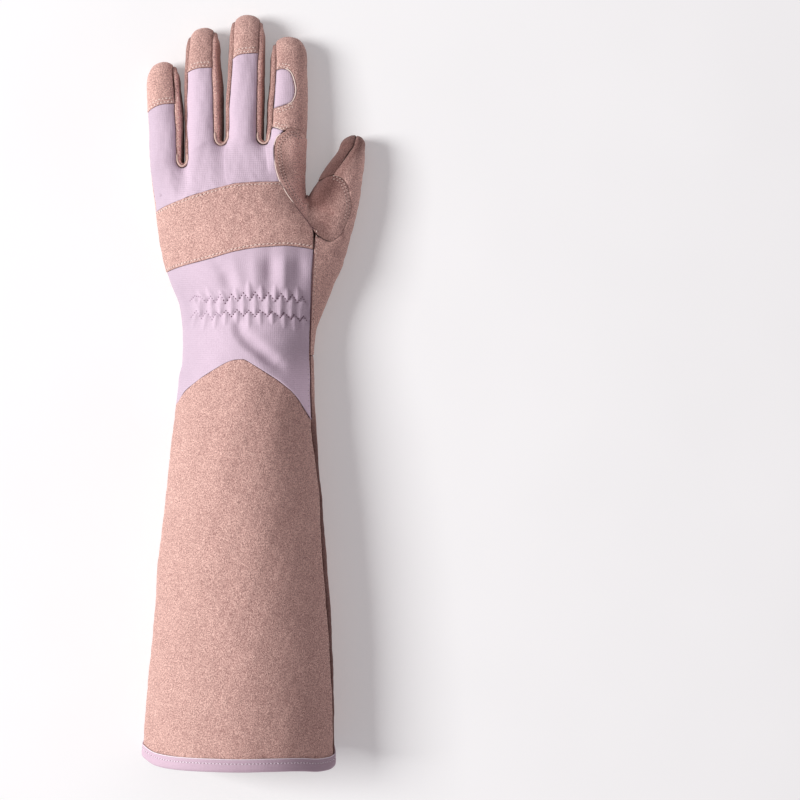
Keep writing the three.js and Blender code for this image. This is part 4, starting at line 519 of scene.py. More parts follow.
def seg_distance(v, segs):
    """Distance of each point to the nearest border piece, by the nearest border points and their neighbours."""
    pts = sorted({i for s in segs for i in s})
    tree = KDTree(len(pts))
    for i in pts:
        tree.insert(v[i], i)
    tree.balance()
    near = {}
    for a, b in segs:
        near.setdefault(a, []).append(b)
        near.setdefault(b, []).append(a)
    out = np.full(len(v), 99.0)
    who = np.full(len(v), -1)
    for i in range(len(v)):
        _, k, d = tree.find(v[i])
        who[i] = k
        if d > 14:
            out[i] = d
            continue
        best = d
        p = v[i]
        for q in near[k]:
            ab = v[q] - v[k]
            t = min(1.0, max(0.0, float(np.dot(p - v[k], ab) / max(1e-9, np.dot(ab, ab)))))
            best = min(best, float(np.linalg.norm(p - v[k] - ab * t)))
        out[i] = best
    return out, who


def wobble(x, y, size, seed, octaves=7):
    """Soft, uneven surface of handled cloth, about -1 to 1."""
    rng = np.random.default_rng(seed)
    z = np.zeros(np.shape(x))
    for _ in range(octaves):
        a, w = rng.uniform(0, 2 * np.pi), rng.uniform(0.7, 1.5) * 2 * np.pi / size
        z = z + np.sin((x * math.cos(a) + y * math.sin(a)) * w + rng.uniform(0, 6.28))
    return z / math.sqrt(octaves)


# Zigzag stitching of the wrist elastic: corners of each row, in millimetres
PITCH = 7.1
ZIG_UPPER = [(-37.6, 55.6), (-34.6, 58.3), (-31.0, 57.6), (-27.5, 54.5), (-24.6, 57.7), (-22.1, 54.1), (-18.7, 58.7), (-15.8, 53.6), (-12.1, 58.7), (-8.3, 55.0),
             (-5.0, 59.5), (-1.2, 55.4), (1.9, 59.8), (5.8, 55.0), (9.6, 59.5), (13.4, 54.8), (16.9, 59.1), (20.4, 54.8), (23.3, 58.5), (26.2, 54.2), (29.1, 57.5), (31.3, 53.3)]
ZIG_LOWER = [(-37.0, 46.0), (-33.5, 49.5), (-30.5, 45.0), (-27.2, 49.0), (-23.8, 44.1), (-21.2, 48.3), (-18.7, 46.2), (-15.4, 49.2), (-12.1, 45.8), (-8.8, 49.6),
             (-5.0, 46.2), (-2.0, 49.3), (1.7, 45.8), (4.6, 49.3), (9.2, 46.0), (11.6, 48.7), (16.3, 45.2), (18.4, 47.9), (22.5, 44.5), (24.2, 47.0), (27.6, 43.7), (29.6, 46.2), (32.0, 42.9)]


def near_line(x, y, pts):
    best = np.full(np.shape(x), 1e9)
    for (x0, y0), (x1, y1) in zip(pts[:-1], pts[1:]):
        dx, dy = x1 - x0, y1 - y0
        t = np.clip(((x - x0) * dx + (y - y0) * dy) / (dx * dx + dy * dy), 0, 1)
        best = np.minimum(best, np.hypot(x - x0 - dx * t, y - y0 - dy * t))
    return best


def corners(pts, high):
    return [p for i, p in enumerate(pts[1:-1], 1) if (p[1] > (pts[i - 1][1] + pts[i + 1][1]) / 2) == high]


def puffs():
    """Ridges between the gathers: start, end, half width at the start, in the middle and at the end, height."""
    rng = np.random.default_rng(11)
    out = []
    for x, y in corners(ZIG_UPPER, False):    # tapering upwards from the upper row
        lean = float(np.interp(x, [-34, -22, -10, 0, 24, 32], [-0.95, -0.55, -0.25, -0.04, 0.03, 0.16]))
        L = rng.uniform(9.0, 13.0) * float(np.interp(x, [-34, -22, 0, 30], [0.8, 0.9, 1.0, 0.85]))
        out.append((x, y + 0.3, x + lean * L, y + L, 1.6, 1.6, 0.45, rng.uniform(1.0, 1.35) * float(np.interp(x, [-40, -20, 0], [0.75, 0.95, 1.1]))))
    for x, y in corners(ZIG_UPPER, True):     # diamonds between the rows
        lows = corners(ZIG_LOWER, False)
        q = min(lows, key=lambda p: abs(p[0] - x))
        out.append((x, y - 1.2, q[0], q[1] + 1.2, 0.9, 2.1, 0.9, 0.80 * float(np.interp(x, [-40, -20, 0], [0.85, 1.0, 1.1]))))
    for x, y in corners(ZIG_LOWER, True):     # tapering downwards from the lower row
        L = rng.uniform(8.0, 13.0)
        lean = float(np.interp(x, [-34, -20, 0, 32], [-0.25, -0.10, 0.03, 0.08]))
        out.append((x, y - 1.0, x + lean * L, y - L, 1.55, 1.4, 0.45, rng.uniform(0.85, 1.15) * float(np.interp(x, [-40, -20, 0], [0.7, 0.85, 1.0]))))
    return out


def gathers(x, y):
    """Puffs and folds round the wrist elastic, in millimetres along the normal."""
    up, lo = near_line(x, y, ZIG_UPPER), near_line(x, y, ZIG_LOWER)
    left_fade = 0.35 + 0.65 * smooth((x + 34) / 16)
    d = (-0.32 * np.exp(-(up / 0.8) ** 2) - 0.32 * np.exp(-(lo / 0.8) ** 2)) * left_fade
    for x0, y0, x1, y1, w0, w1, w2, h in puffs():
        dx, dy = x1 - x0, y1 - y0
        L = math.hypot(dx, dy)
        t = ((x - x0) * dx + (y - y0) * dy) / (L * L)
        side = ((x - x0) * dy - (y - y0) * dx) / L
        tc = np.clip(t, 0, 1)
        w = np.where(tc < 0.5, lerp(w0, w1, smooth(tc * 2)), lerp(w1, w2, smooth(tc * 2 - 1)))
        past = np.where(t < 0, -t * L, np.where(t > 1, (t - 1) * L, 0))
        grow = smooth(tc / 0.14 + 0.3) * (np.sqrt(1 - tc) * smooth((1 - tc) / 0.35) if w2 < 0.5 else smooth((1 - tc) / 0.14 + 0.3))
        d = d + h * grow * np.exp(-(side / w) ** 2) * np.exp(-(past / 0.8) ** 2)
    # broad soft folds between the elastic and the band
    run = smooth((y - 57) / 9) * (0.25 + 0.75 * smooth((85 - y) / 11))
    for xc, lean, w, h in ((2.2, -0.05, 3.4, 0.75), (10.4, 0.0, 3.8, -1.15), (18.6, 0.02, 2.5, 0.95), (26.4, 0.03, 4.2, -1.05), (-14.5, -0.55, 3.6, -0.45), (-7.0, -0.30, 3.2, 0.40)):
        xx = x - xc - lean * (y - 66)
        d = d + run * h * np.exp(-(xx / w) ** 2)
    # the crease that runs down from the elastic towards the arch, full beside it
    path = [(-10.4, 44.5), (-9.9, 39.5), (-8.4, 35.0), (-5.5, 31.0), (-1.0, 27.0), (4.2, 23.2), (9.4, 19.2), (13.5, 15.6)]
    off = near_line(x, y, [(a + 2.0, b + 1.1) for a, b in path])
    t = np.clip((44 - y) / 28, 0, 1)
    along_it = smooth((46 - y) / 5) * smooth((y - 12.5) / 7)
    d = d - along_it * 1.15 * np.exp(-(off / lerp(2.6, 3.6, t)) ** 2)
    full = near_line(x, y, [(a + 7.0, b + 4.2) for a, b in path[1:-1]])
    d = d + 0.42 * smooth((45 - y) / 6) * smooth((y - 16) / 8) * np.exp(-(full / 3.4) ** 2)
    lip = near_line(x, y, [(a - 2.6, b - 1.6) for a, b in path[1:]])
    d = d + 0.22 * along_it * np.exp(-(lip / 2.0) ** 2)
    return d * smooth((x + 45) / 5)


MM = 0.001
SHIFT = np.array([-CENTRE_X, -CENTRE_Y, 0.0])
made = {}
outer_faces = []   # for placing stitches


def weave_coords(v):
    """Length round the body and length along it, in millimetres, for the weave of the fabric."""
    j = np.clip(np.round((np.minimum(v[:, 1], 150) - YS[0]) / 0.5).astype(int), 0, len(YS) - 1)
    u = np.empty(len(v))
    for i in range(0, len(v), 4000):
        k = j[i:i + 4000]
        d = (SX[k] - v[i:i + 4000, 0:1]) ** 2 + 0.4 * (SZ[k] - v[i:i + 4000, 2:3]) ** 2
        u[i:i + 4000] = SS[k, np.argmin(d, 1)]
    return np.stack([np.where(u > TOTAL[j] * 0.55, u - TOTAL[j], u), v[:, 1]], 1)


def stretched(v, faces, free, base):
    """Heights of the free points as a stretched sheet over a base surface, held by all the others."""
    free = free & ~np.isin(np.arange(len(v)), sorted({i for b in border_of(faces) for i in b}))
    tri = np.array([(r[0], r[k], r[k + 1]) for r in faces for k in range(1, len(r) - 1)])
    tri = tri[free[tri].any(axis=1)]
    n = len(v)
    index = np.full(n, -1)
    index[free] = np.arange(free.sum())
    A, rhs = np.zeros((free.sum(), free.sum())), np.zeros(free.sum())
    d = v[:, 2] - base
    for k in range(3):
        a, b, c = tri[:, k], tri[:, (k + 1) % 3], tri[:, (k + 2) % 3]
        u, w = v[a, :2] - v[c, :2], v[b, :2] - v[c, :2]
        cot = np.clip((u * w).sum(1) / np.maximum(np.abs(u[:, 0] * w[:, 1] - u[:, 1] * w[:, 0]), 1e-4), 0.01, 30) / 2
        for p, q in ((a, b), (b, a)):
            m = index[p] >= 0
            np.add.at(A, (index[p[m]], index[p[m]]), cot[m])
            inside = m & (index[q] >= 0)
            np.add.at(A, (index[p[inside]], index[q[inside]]), -cot[inside])
            held = m & (index[q] < 0)
            np.add.at(rhs, index[p[held]], cot[held] * d[q[held]])
    out = v.copy()
    out[free, 2] = base[free] + np.linalg.solve(A + 1e-9 * np.eye(len(A)), rhs)
    return out


def piece(name, sheet, material, wall=1.3, lift=0.0, roll=0.85, width=1.5, extra=None, edge=None, keep_flat=True, bulge=None, even=None, wear=None):
    """Makes a panel: its outer face with rolled edges, an inner face and the edge between them."""
    v, faces = sheet.merged()
    if even is not None:
        v = stretched(v, faces, *even(v))
    n = normals_of(v, faces)
    segs = border_of(faces)
    dist, who = seg_distance(v, segs)
    depth, wid = np.full(len(v), roll), np.full(len(v), width)
    rise = np.full(len(v), lift)
    if edge is not None:
        for i in np.nonzero(dist < 12)[0]:
            e = edge(v[who[i]])
            if e is not None:
                depth[i], wid[i], r = e
                if r is not None:
                    rise[i] = lerp(r, lift, float(smooth((dist[i] - 1.0) / 6)))
    t = np.clip(1 - dist / wid, 0, 1)
    d = rise - depth * (1 - np.sqrt(np.maximum(0, 1 - t * t)))
    if bulge is not None:   # a swelling beside the seams
        d = d + bulge[0] * np.exp(-((dist - bulge[1]) / bulge[2]) ** 2) * smooth(v[:, 2] - bulge[3])
    if extra is not None:
        d = d + extra(v)
    if keep_flat:   # what lies on the surface stays on it
        low = smooth((v[:, 2] - 1.0) / 5)
        d = np.where(d > 0, d * low, d)
    out = v + n * d[:, None]
    out[:, 2] = np.maximum(out[:, 2], 0.02)
    n2 = normals_of(out, faces)
    thick = lerp(0.4, wall, smooth(dist / 2.5))
    inner = out - n2 * thick[:, None]
    # the inner edge is set back a little, so that neighbours clear each other at ridges
    count = len(v)
    all_faces = list(faces) + [[i + count for i in reversed(r)] for r in faces] + [[b, a, a + count, b + count] for a, b in segs]
    pts = (np.concatenate([out, inner]) + SHIFT) * MM
    me = bpy.data.meshes.new(name)
    me.from_pydata(pts.tolist(), [], all_faces)
    me.update()
    me.polygons.foreach_set("use_smooth", [True] * len(me.polygons))
    o = bpy.data.objects.new(name, me)
    bpy.context.scene.collection.objects.link(o)
    me.materials.append(material)
    # how far the nap is rubbed pale (over 1) or pressed dark (under 1)
    rub = np.ones(len(v)) if wear is None else np.clip(wear(v, dist), 0.1, 2.0)
    me.attributes.new("wear", "FLOAT", "POINT").data.foreach_set("value", np.tile(rub, 2).astype(np.float32))
    if material.name == "lavender_knit":
        uv = np.tile(weave_coords(v), (2, 1))
        idx = np.empty(len(me.loops), dtype=np.int32)
        me.loops.foreach_get("vertex_index", idx)
        me.uv_layers.new(name="weave").data.foreach_set("uv", uv[idx].ravel())
    made[name] = o
    outer_faces.append((out, faces))
    return o


half = 0.06


def trim(length, a=1.0, b=1.0):
    return a * half / length, 1 - b * half / length


def patch(fn, nc_step, nr_step, trims=(1, 1, 1, 1), near=(True, True, True, True), size=None):
    """Grid over a function of (c, r), finer near the edges."""
    m = 0.5
    width = size[0] if size else float(np.linalg.norm(np.diff(fn(np.linspace(0, 1, 41), np.full(41, m)), axis=0), axis=1).sum())
    height = size[1] if size else float(np.linalg.norm(np.diff(fn(np.full(41, m), np.linspace(0, 1, 41)), axis=0), axis=1).sum())
    c0, c1 = trim(width, trims[0], trims[1])
    r0, r1 = trim(height, trims[2], trims[3])
    fc = lerp(c0, c1, fractions(width, nc_step, near[0], near[1]))
    fr = lerp(r0, r1, fractions(height, nr_step, near[2], near[3]))
    C, R = np.meshgrid(fc, fr, indexing="ij")
    return fn(C, R)


# ------------------------------------------------------------------ materials
def material(name, build, **kw):
    m = bpy.data.materials.new(name)
    m.use_nodes = True
    nt = m.node_tree
    nt.nodes.clear()
    out = nt.nodes.new("ShaderNodeOutputMaterial")
    bsdf = nt.nodes.new("ShaderNodeBsdfPrincipled")
    nt.links.new(bsdf.outputs["BSDF"], out.inputs["Surface"])
    build(nt, bsdf, **kw)
    return m


def node(nt, kind, **values):
    n = nt.nodes.new(kind)
    for k, v in values.items():
        if k in n.inputs:
            n.inputs[k].default_value = v
        else:
            setattr(n, k, v)
    return n


def maths(nt, op, a, b=None, clamp=False):
    n = nt.nodes.new("ShaderNodeMath")
    n.operation, n.use_clamp = op, clamp
    for i, v in enumerate((a, b)):
        if v is None:
            continue
        if isinstance(v, (int, float)):
            n.inputs[i].default_value = v
        else:
            nt.links.new(v, n.inputs[i])
    return n.outputs[0]


def coords(nt, scale=(1, 1, 1)):
    g = nt.nodes.new("ShaderNodeTexCoord")
    m = node(nt, "ShaderNodeMapping")
    m.inputs["Scale"].default_value = scale
    nt.links.new(g.outputs["Object"], m.inputs["Vector"])
    return m.outputs["Vector"]


def noise(nt, vec, scale, detail=2.0, rough=0.5):
    n = node(nt, "ShaderNodeTexNoise", Scale=scale, Detail=detail, Roughness=rough)
    nt.links.new(vec, n.inputs["Vector"])
    return n.outputs["Fac"]


def ramp(nt, fac, stops):
    r = nt.nodes.new("ShaderNodeValToRGB")
    e = r.color_ramp.elements
    e[0].position, e[0].color = stops[0][0], (*stops[0][1], 1)
    e[1].position, e[1].color = stops[-1][0], (*stops[-1][1], 1)
    for p, c in stops[1:-1]:
        e.new(p).color = (*c, 1)
    nt.links.new(fac, r.inputs["Fac"])
    return r.outputs["Color"]


def scaled(nt, colour, factor, powers=(1, 1, 1)):
    """Colour times a factor, to its own power in red, green and blue."""
    m = nt.nodes.new("ShaderNodeMix")
    m.data_type, m.blend_type = "RGBA", "MULTIPLY"
    m.inputs[0].default_value = 1.0
    nt.links.new(colour, m.inputs[6])
    c = nt.nodes.new("ShaderNodeCombineColor")
    for k in range(3):
        f = factor
        if powers[k] != 1:   # only what is pressed dark changes in hue
            f = maths(nt, "MULTIPLY", maths(nt, "POWER", maths(nt, "MINIMUM", factor, 1.0), powers[k]), maths(nt, "MAXIMUM", factor, 1.0))
        nt.links.new(f, c.inputs[k])
    nt.links.new(c.outputs["Color"], m.inputs[7])
    return m.outputs[2]


def lin(r, g, b):
    f = lambda v: (v / 255 / 12.92) if v <= 10.3 else ((v / 255 + 0.055) / 1.055) ** 2.4
    return (f(r), f(g), f(b))


def tint(c, k):
    return tuple(min(1.0, v * k) for v in c)


SUEDE_BASE = (0.612, 0.370, 0.324)
FABRIC_BASE = (0.672, 0.530, 0.632)
BIND_BASE = (0.62, 0.455, 0.545)


def suede(nt, bsdf, base=SUEDE_BASE):
    v = coords(nt)
    big = noise(nt, v, 24, 3, 0.6)          # broad patches of brushed nap, about 40 mm
    mid = noise(nt, v, 170, 3, 0.6)         # finger marks in the nap, about 6 mm
    grain = noise(nt, v, 1450, 2, 0.65)     # the speckle that reads from a metre away
    fine = noise(nt, coords(nt, (1.0, 0.75, 1.0)), 2600, 2, 0.7)
    g = maths(nt, "MULTIPLY", maths(nt, "SUBTRACT", grain, 0.5), 2.25)
    f = maths(nt, "MULTIPLY", maths(nt, "SUBTRACT", fine, 0.5), 1.5)
    m = maths(nt, "MULTIPLY", maths(nt, "SUBTRACT", mid, 0.5), 0.24)
    b_ = maths(nt, "MULTIPLY", maths(nt, "SUBTRACT", big, 0.5), 0.20)
    mix = maths(nt, "ADD", maths(nt, "ADD", g, f), maths(nt, "ADD", maths(nt, "ADD", m, b_), 0.5))
    col = ramp(nt, mix, [(0.10, tint((base[0], base[1] * 0.90, base[2] * 0.92), 0.62)), (0.5, base), (0.90, tint((base[0] * 0.98, base[1] * 1.08, base[2] * 1.06), 1.55))])
    ao = node(nt, "ShaderNodeAmbientOcclusion", Distance=0.004)
    ao.samples = 6
    dark = maths(nt, "ADD", maths(nt, "MULTIPLY", ao.outputs["AO"], 0.40), 0.60)
    rub = nt.nodes.new("ShaderNodeAttribute")
    rub.attribute_name = "wear"
    nt.links.new(scaled(nt, scaled(nt, col, dark), rub.outputs["Fac"], (1.0, 1.18, 1.18)), bsdf.inputs["Base Color"])
    nt.links.new(maths(nt, "ADD", maths(nt, "MULTIPLY", grain, 0.16), 0.82), bsdf.inputs["Roughness"])
    bsdf.inputs["Specular IOR Level"].default_value = 0.14
    bsdf.inputs["Sheen Weight"].default_value = 0.14
    bsdf.inputs["Sheen Roughness"].default_value = 0.55
    bsdf.inputs["Sheen Tint"].default_value = (1.0, 0.88, 0.84, 1)
    b = node(nt, "ShaderNodeBump", Strength=1.0, Distance=0.0007)
    h = maths(nt, "ADD", maths(nt, "MULTIPLY", grain, 0.85), maths(nt, "ADD", maths(nt, "MULTIPLY", mid, 0.8), maths(nt, "MULTIPLY", fine, 0.30)))
    nt.links.new(h, b.inputs["Height"])
    nt.links.new(b.outputs["Normal"], bsdf.inputs["Normal"])


def fabric(nt, bsdf, base=FABRIC_BASE, pitch=1.15, depth=1.0):
    """Fine square knit: wales along the glove, courses across it."""
    g = nt.nodes.new("ShaderNodeUVMap")
    g.uv_map = "weave"
    warp = node(nt, "ShaderNodeTexNoise", Scale=45.0, Detail=2.0)
    nt.links.new(coords(nt), warp.inputs["Vector"])
    add = nt.nodes.new("ShaderNodeVectorMath")
    add.operation = "MULTIPLY_ADD"
    nt.links.new(warp.outputs["Color"], add.inputs[0])
    add.inputs[1].default_value = (1.1, 1.1, 0)
    nt.links.new(g.outputs["UV"], add.inputs[2])
    sep = nt.nodes.new("ShaderNodeSeparateXYZ")
    nt.links.new(add.outputs[0], sep.inputs[0])

    def wave(socket, p):
        return maths(nt, "ADD", maths(nt, "MULTIPLY", maths(nt, "SINE", maths(nt, "MULTIPLY", socket, 2 * math.pi / p)), 0.5), 0.5)

    wales, courses = wave(sep.outputs["X"], pitch), wave(sep.outputs["Y"], pitch * 1.04)
    v = coords(nt)
    fuzz, big, patchy = noise(nt, v, 1300, 3, 0.7), noise(nt, v, 38, 2), noise(nt, v, 90, 2)
    weave = maths(nt, "ADD", maths(nt, "MULTIPLY", wales, 0.36), maths(nt, "MULTIPLY", courses, 0.60))
    shown = maths(nt, "MULTIPLY", maths(nt, "SUBTRACT", weave, 0.5), maths(nt, "MULTIPLY", maths(nt, "SUBTRACT", patchy, 0.30), 0.85))
    t = maths(nt, "ADD", maths(nt, "MULTIPLY", shown, 0.9 * depth), maths(nt, "ADD", maths(nt, "MULTIPLY", maths(nt, "SUBTRACT", fuzz, 0.5), 0.55), maths(nt, "ADD", maths(nt, "MULTIPLY", maths(nt, "SUBTRACT", big, 0.5), 0.20), 0.5)))
    col = ramp(nt, t, [(0.15, tint(base, 0.80)), (0.5, base), (0.85, tint((base[0] * 1.0, base[1] * 1.03, base[2] * 1.01), 1.12))])
    ao = node(nt, "ShaderNodeAmbientOcclusion", Distance=0.005)
    ao.samples = 6
    dark = maths(nt, "ADD", maths(nt, "MULTIPLY", ao.outputs["AO"], 0.38), 0.62)
    rub = nt.nodes.new("ShaderNodeAttribute")
    rub.attribute_name = "wear"
    nt.links.new(scaled(nt, scaled(nt, col, dark), rub.outputs["Fac"], (1.0, 0.98, 0.96)), bsdf.inputs["Base Color"])
    nt.links.new(maths(nt, "ADD", maths(nt, "MULTIPLY", fuzz, 0.15), 0.80), bsdf.inputs["Roughness"])
    bsdf.inputs["Specular IOR Level"].default_value = 0.16
    bsdf.inputs["Sheen Weight"].default_value = 0.06
    bsdf.inputs["Sheen Roughness"].default_value = 0.5
    b = node(nt, "ShaderNodeBump", Strength=0.5 * depth, Distance=0.00028)
    nt.links.new(maths(nt, "ADD", maths(nt, "MULTIPLY", weave, 0.9), maths(nt, "MULTIPLY", fuzz, 0.45)), b.inputs["Height"])
    nt.links.new(b.outputs["Normal"], bsdf.inputs["Normal"])


def thread(nt, bsdf, base=(0.80, 0.66, 0.62)):
    v = coords(nt)
    n = noise(nt, v, 3200, 2)
    col = ramp(nt, n, [(0.3, tint(base, 0.82)), (0.7, tint(base, 1.12))])
    nt.links.new(col, bsdf.inputs["Base Color"])
    bsdf.inputs["Roughness"].default_value = 0.7
    bsdf.inputs["Sheen Weight"].default_value = 0.2
    b = node(nt, "ShaderNodeBump", Strength=0.4, Distance=0.0001)
    nt.links.new(n, b.inputs["Height"])
    nt.links.new(b.outputs["Normal"], bsdf.inputs["Normal"])


MAT_SUEDE = material("suede", suede)
MAT_SUEDE_DARK = material("suede_inside_strip", suede, base=tint(SUEDE_BASE, 1.0))
MAT_SUEDE_NAP = material("suede_nap_brushed_down", suede, base=tint(SUEDE_BASE, 0.80))
MAT_FABRIC = material("lavender_knit", fabric)
MAT_BIND = material("binding_weave", fabric, base=BIND_BASE, pitch=0.8, depth=1.2)
MAT_THREAD = material("pale_thread", thread, base=(0.95, 0.74, 0.66))
MAT_THREAD_LILAC = material("lilac_thread", thread, base=(0.78, 0.68, 0.80))
MAT_HOLE = material("needle_hole", thread, base=(0.12, 0.055, 0.05))
MAT_DASH = material("plum_thread", thread, base=(0.17, 0.075, 0.125))
MAT_DASH_PALE = material("mauve_thread", thread, base=(0.46, 0.33, 0.43))
MAT_SEAM = material("seam_depth", thread, base=(0.13, 0.05, 0.055))
MAT_INNER = material("seam_allowance", thread, base=(0.30, 0.165, 0.14))
MAT_LIP = material("binding_lip", thread, base=(0.86, 0.76, 0.82))
MAT_EDGE = material("raw_edge", thread, base=(0.90, 0.72, 0.64))
MAT_LOOP = material("folded_edge", thread, base=(0.74, 0.52, 0.44))


# ------------------------------------------------------------------ body panels
def shifted(f, dy):
    return lambda x: f(x) + dy


def noise_of(amp, fine=0.12, seed=1, size=24.0):
    def f(v):
        return amp * wobble(v[:, 0], v[:, 1] + 0.6 * v[:, 2], size, seed) + fine * wobble(v[:, 0], v[:, 1] + v[:, 2], 7.5, seed + 1)
    return f


BIND_EDGE = shifted(HEM, 1.25)


def fabric_wear(v, dist):
    """Slightly greyed close to the little finger's edge."""
    x, y = v[:, 0], v[:, 1]
    left = np.where(y > 134, PINKY["left"](y), BODY["left"](y))
    reach = lerp(24.0, 11.0, smooth((y - 105) / 30))
    right = smooth((x - 12) / 9) * smooth((92 - y) / 8)
    return lerp(0.83, 1.03, smooth((x - left - 0.5) / reach)) * lerp(1.0, lerp(1.22, 0.86, smooth((y - 6) / 22)), right)


def cuff_wear(v, dist):
    """The raised middle of the gauntlet is rubbed a little paler."""
    return np.interp(v[:, 0], [-32, -16, -5, 8, 18], [1.0, 1.07, 1.07, 1.03, 1.0])


def band_wear(v, dist):
    return np.interp(v[:, 0], [-50, -30, -5, 12, 27], [1.0, 1.10, 1.14, 1.04, 0.92])


def gauntlet_edge(p):
    """Flat where the fabric meets it along the arch; full along the seam on the thumb's side."""
    x, y = float(p[0]), float(p[1])
    if abs(y - float(ARCH(x))) < 1.2 and p[2] > 16:
        return 0.22, 0.6, None
    if x > 20 and y > -205:
        return 0.75, 1.0, 0.15
    return None


def under_wear(v, dist):
    """The nap lies pressed and dark in the seam on the thumb's side."""
    right = smooth((v[:, 0] - 15) / 6) * smooth((v[:, 2] - 7) / 7)
    return 1 - 0.72 * right * smooth((8.5 - dist) / 5) * smooth((12 - v[:, 1]) / 40)


piece("gauntlet_back", Sheet().grid(patch(strip(BIND_EDGE, ARCH), 1.7, 2.0, (1, 1, 0, 1), (True, True, False, True))), MAT_SUEDE, roll=0.6, width=1.1, extra=noise_of(0.22, 0.10, 3), edge=gauntlet_edge, wear=cuff_wear)


def wrist_relief(v):
    return gathers(v[:, 0], v[:, 1]) * smooth((v[:, 2] - 9) / 5) + 0.16 * wobble(v[:, 0], v[:, 1], 15, 8) * smooth((44 - v[:, 1]) / 10)


def wrist_edge(p):
    x, y = float(p[0]), float(p[1])
    if abs(y - float(BAND_BOTTOM(x))) < 1.2:
        return 0.12, 0.6, None
    if abs(y - float(ARCH(x))) < 1.2:   # on the thumb's side the fold of the fabric stands up a little
        up = float(smooth((x + 2) / 8))
        return lerp(0.14, 0.55, up), lerp(0.6, 0.7, up), lerp(0.0, 0.42, up)
    return None


piece("wrist_panel", Sheet().grid(patch(strip(ARCH, BAND_BOTTOM), 0.62, 0.62)), MAT_FABRIC, wall=1.0, roll=0.35, width=0.9, extra=wrist_relief, edge=wrist_edge, wear=fabric_wear)


def under(c, r):
    y = lerp(-210.0, WRIST_SEAM_Y, r)
    for _ in range(6):
        s = lerp(seam_right_s(y) + total(y), seam_left_s(y), c)
        past = np.where(s < (left_at(y) + right_at(y)) / 2, BODY["left"](y) - (s - left_at(y)), body_right(y) + (right_at(y) - s))
        y = lerp(BIND_EDGE(past), WRIST_SEAM_Y, r)
    return P(lerp(seam_right_s(y) + total(y), seam_left_s(y), c), y)


piece("gauntlet_palm", Sheet().grid(patch(under, 1.9, 2.4, (1, 1, 0, 1), (True, True, False, True))), MAT_SUEDE, extra=noise_of(0.2, 0.1, 13), wear=under_wear)

BAND_RIGHT = table(("y", "x"), [(60, 35.2), (85, 35.6), (92.5, 35.8), (97.4, 35.2)] + [(r[1], r[0]) for r in WEB_ROWS[7:2:-1]])["x"]
band_right_s = by_y(top_s(BAND_RIGHT(YS)))
piece("knuckle_band", Sheet().grid(patch(strip(BAND_BOTTOM, BAND_TOP, band_right_s), 1.2, 1.0, (1, 1.8, 1, 1))), MAT_SUEDE, wall=1.5, lift=0.5, roll=0.5, width=0.7, extra=noise_of(0.18, 0.1, 21), wear=band_wear)


# ------------------------------------------------------------------ hand back
def web_at(t):
    t = np.asarray(t, float)
    return np.stack([WEB["ox"](t), WEB["oy"](t)], -1), np.stack([WEB["mx"](t), WEB["my"](t), WEB["mz"](t)], -1)


class FingerTop:
    """Back of a finger between its seams: c by length across, at any y."""

    def __init__(self, d, y0, y1):
        self.d, self.y0, self.n = d, y0, int((y1 - y0) / 0.5) + 2
        self.X = []
        u = np.sin(np.linspace(-np.pi / 2, np.pi / 2, 81))
        for j in range(self.n):
            y = y0 + 0.5 * j
            l, r = float(d_seam(d, "left", y)), float(d_seam(d, "right", y))
            x = lerp(l, r, (u + 1) / 2)
            z = d_top(d, x, np.full_like(x, y))
            s = np.concatenate([[0], np.cumsum(np.hypot(np.diff(x), np.diff(z)))])
            self.X.append(np.interp(np.linspace(0, 1, 81), s / s[-1], x))
        self.X = np.array(self.X)

    def x(self, c, y):
        v = np.clip((y - self.y0) / 0.5, 0, self.n - 1.001)
        u = np.clip(c, 0, 1) * 80
        j, i = v.astype(int), np.clip(u.astype(int), 0, 79)
        fv, fu = v - j, u - i
        X = self.X
        return (X[j, i] * (1 - fu) + X[j, i + 1] * fu) * (1 - fv) + (X[j + 1, i] * (1 - fu) + X[j + 1, i + 1] * fu) * fv

    def at(self, c, y):
        c, y = np.broadcast_arrays(np.asarray(c, float), np.asarray(y, float))
        x = self.x(c, y)
        return np.stack([x, y, d_top(self.d, x, y)], -1)


TOPS = {"pinky": FingerTop(PINKY, 130, 199), "ring": FingerTop(RING, 130, 220), "middle": FingerTop(MIDDLE, 130, 228)}
FINGERS = [(PINKY, "pinky", CAP_PINKY, 139.5, 139.5), (RING, "ring", CAP_RING, 139.5, 152.3), (MIDDLE, "middle", CAP_MIDDLE, 153.3, 152.3)]
hand = Sheet()
knuckles = []
for k, (d, key, cap, bl, br) in enumerate(FINGERS):
    top = TOPS[key]
    w = float(d_seam(d, "right", 150) - d_seam(d, "left", 150)) * 1.1
    fc = lerp(*trim(w), fractions(w, 1.1))
    base = lerp(bl, br, fc)
    L = float(cap(0.5 * (d_seam(d, "left", 170) + d_seam(d, "right", 170)))) - bl
    fr = fractions(L, 1.3, False, True)
    C, R = np.meshgrid(fc, fr, indexing="ij")
    B = np.broadcast_to(base[:, None], C.shape)
    Y = B + R * L
    for _ in range(6):
        Y = lerp(B, cap(top.x(C, Y)) - half, R)
    g = top.at(C, Y)
    hand.grid(g)
    knuckles += list(g[:, 0])
    n = 9
    for i in range(1, n):
        u = i / n
        p = crotch_line(k, u)[0].copy()
        p[0] -= half * math.cos(math.pi * u)
        p[1] -= half * math.sin(math.pi * u)
        knuckles.append(p)


def blend_top(x, y):
    return lerp(body_top(x, y), d_top(INDEX, x, y), smooth(1 - (151.6 - y) / FINGER_DROP))


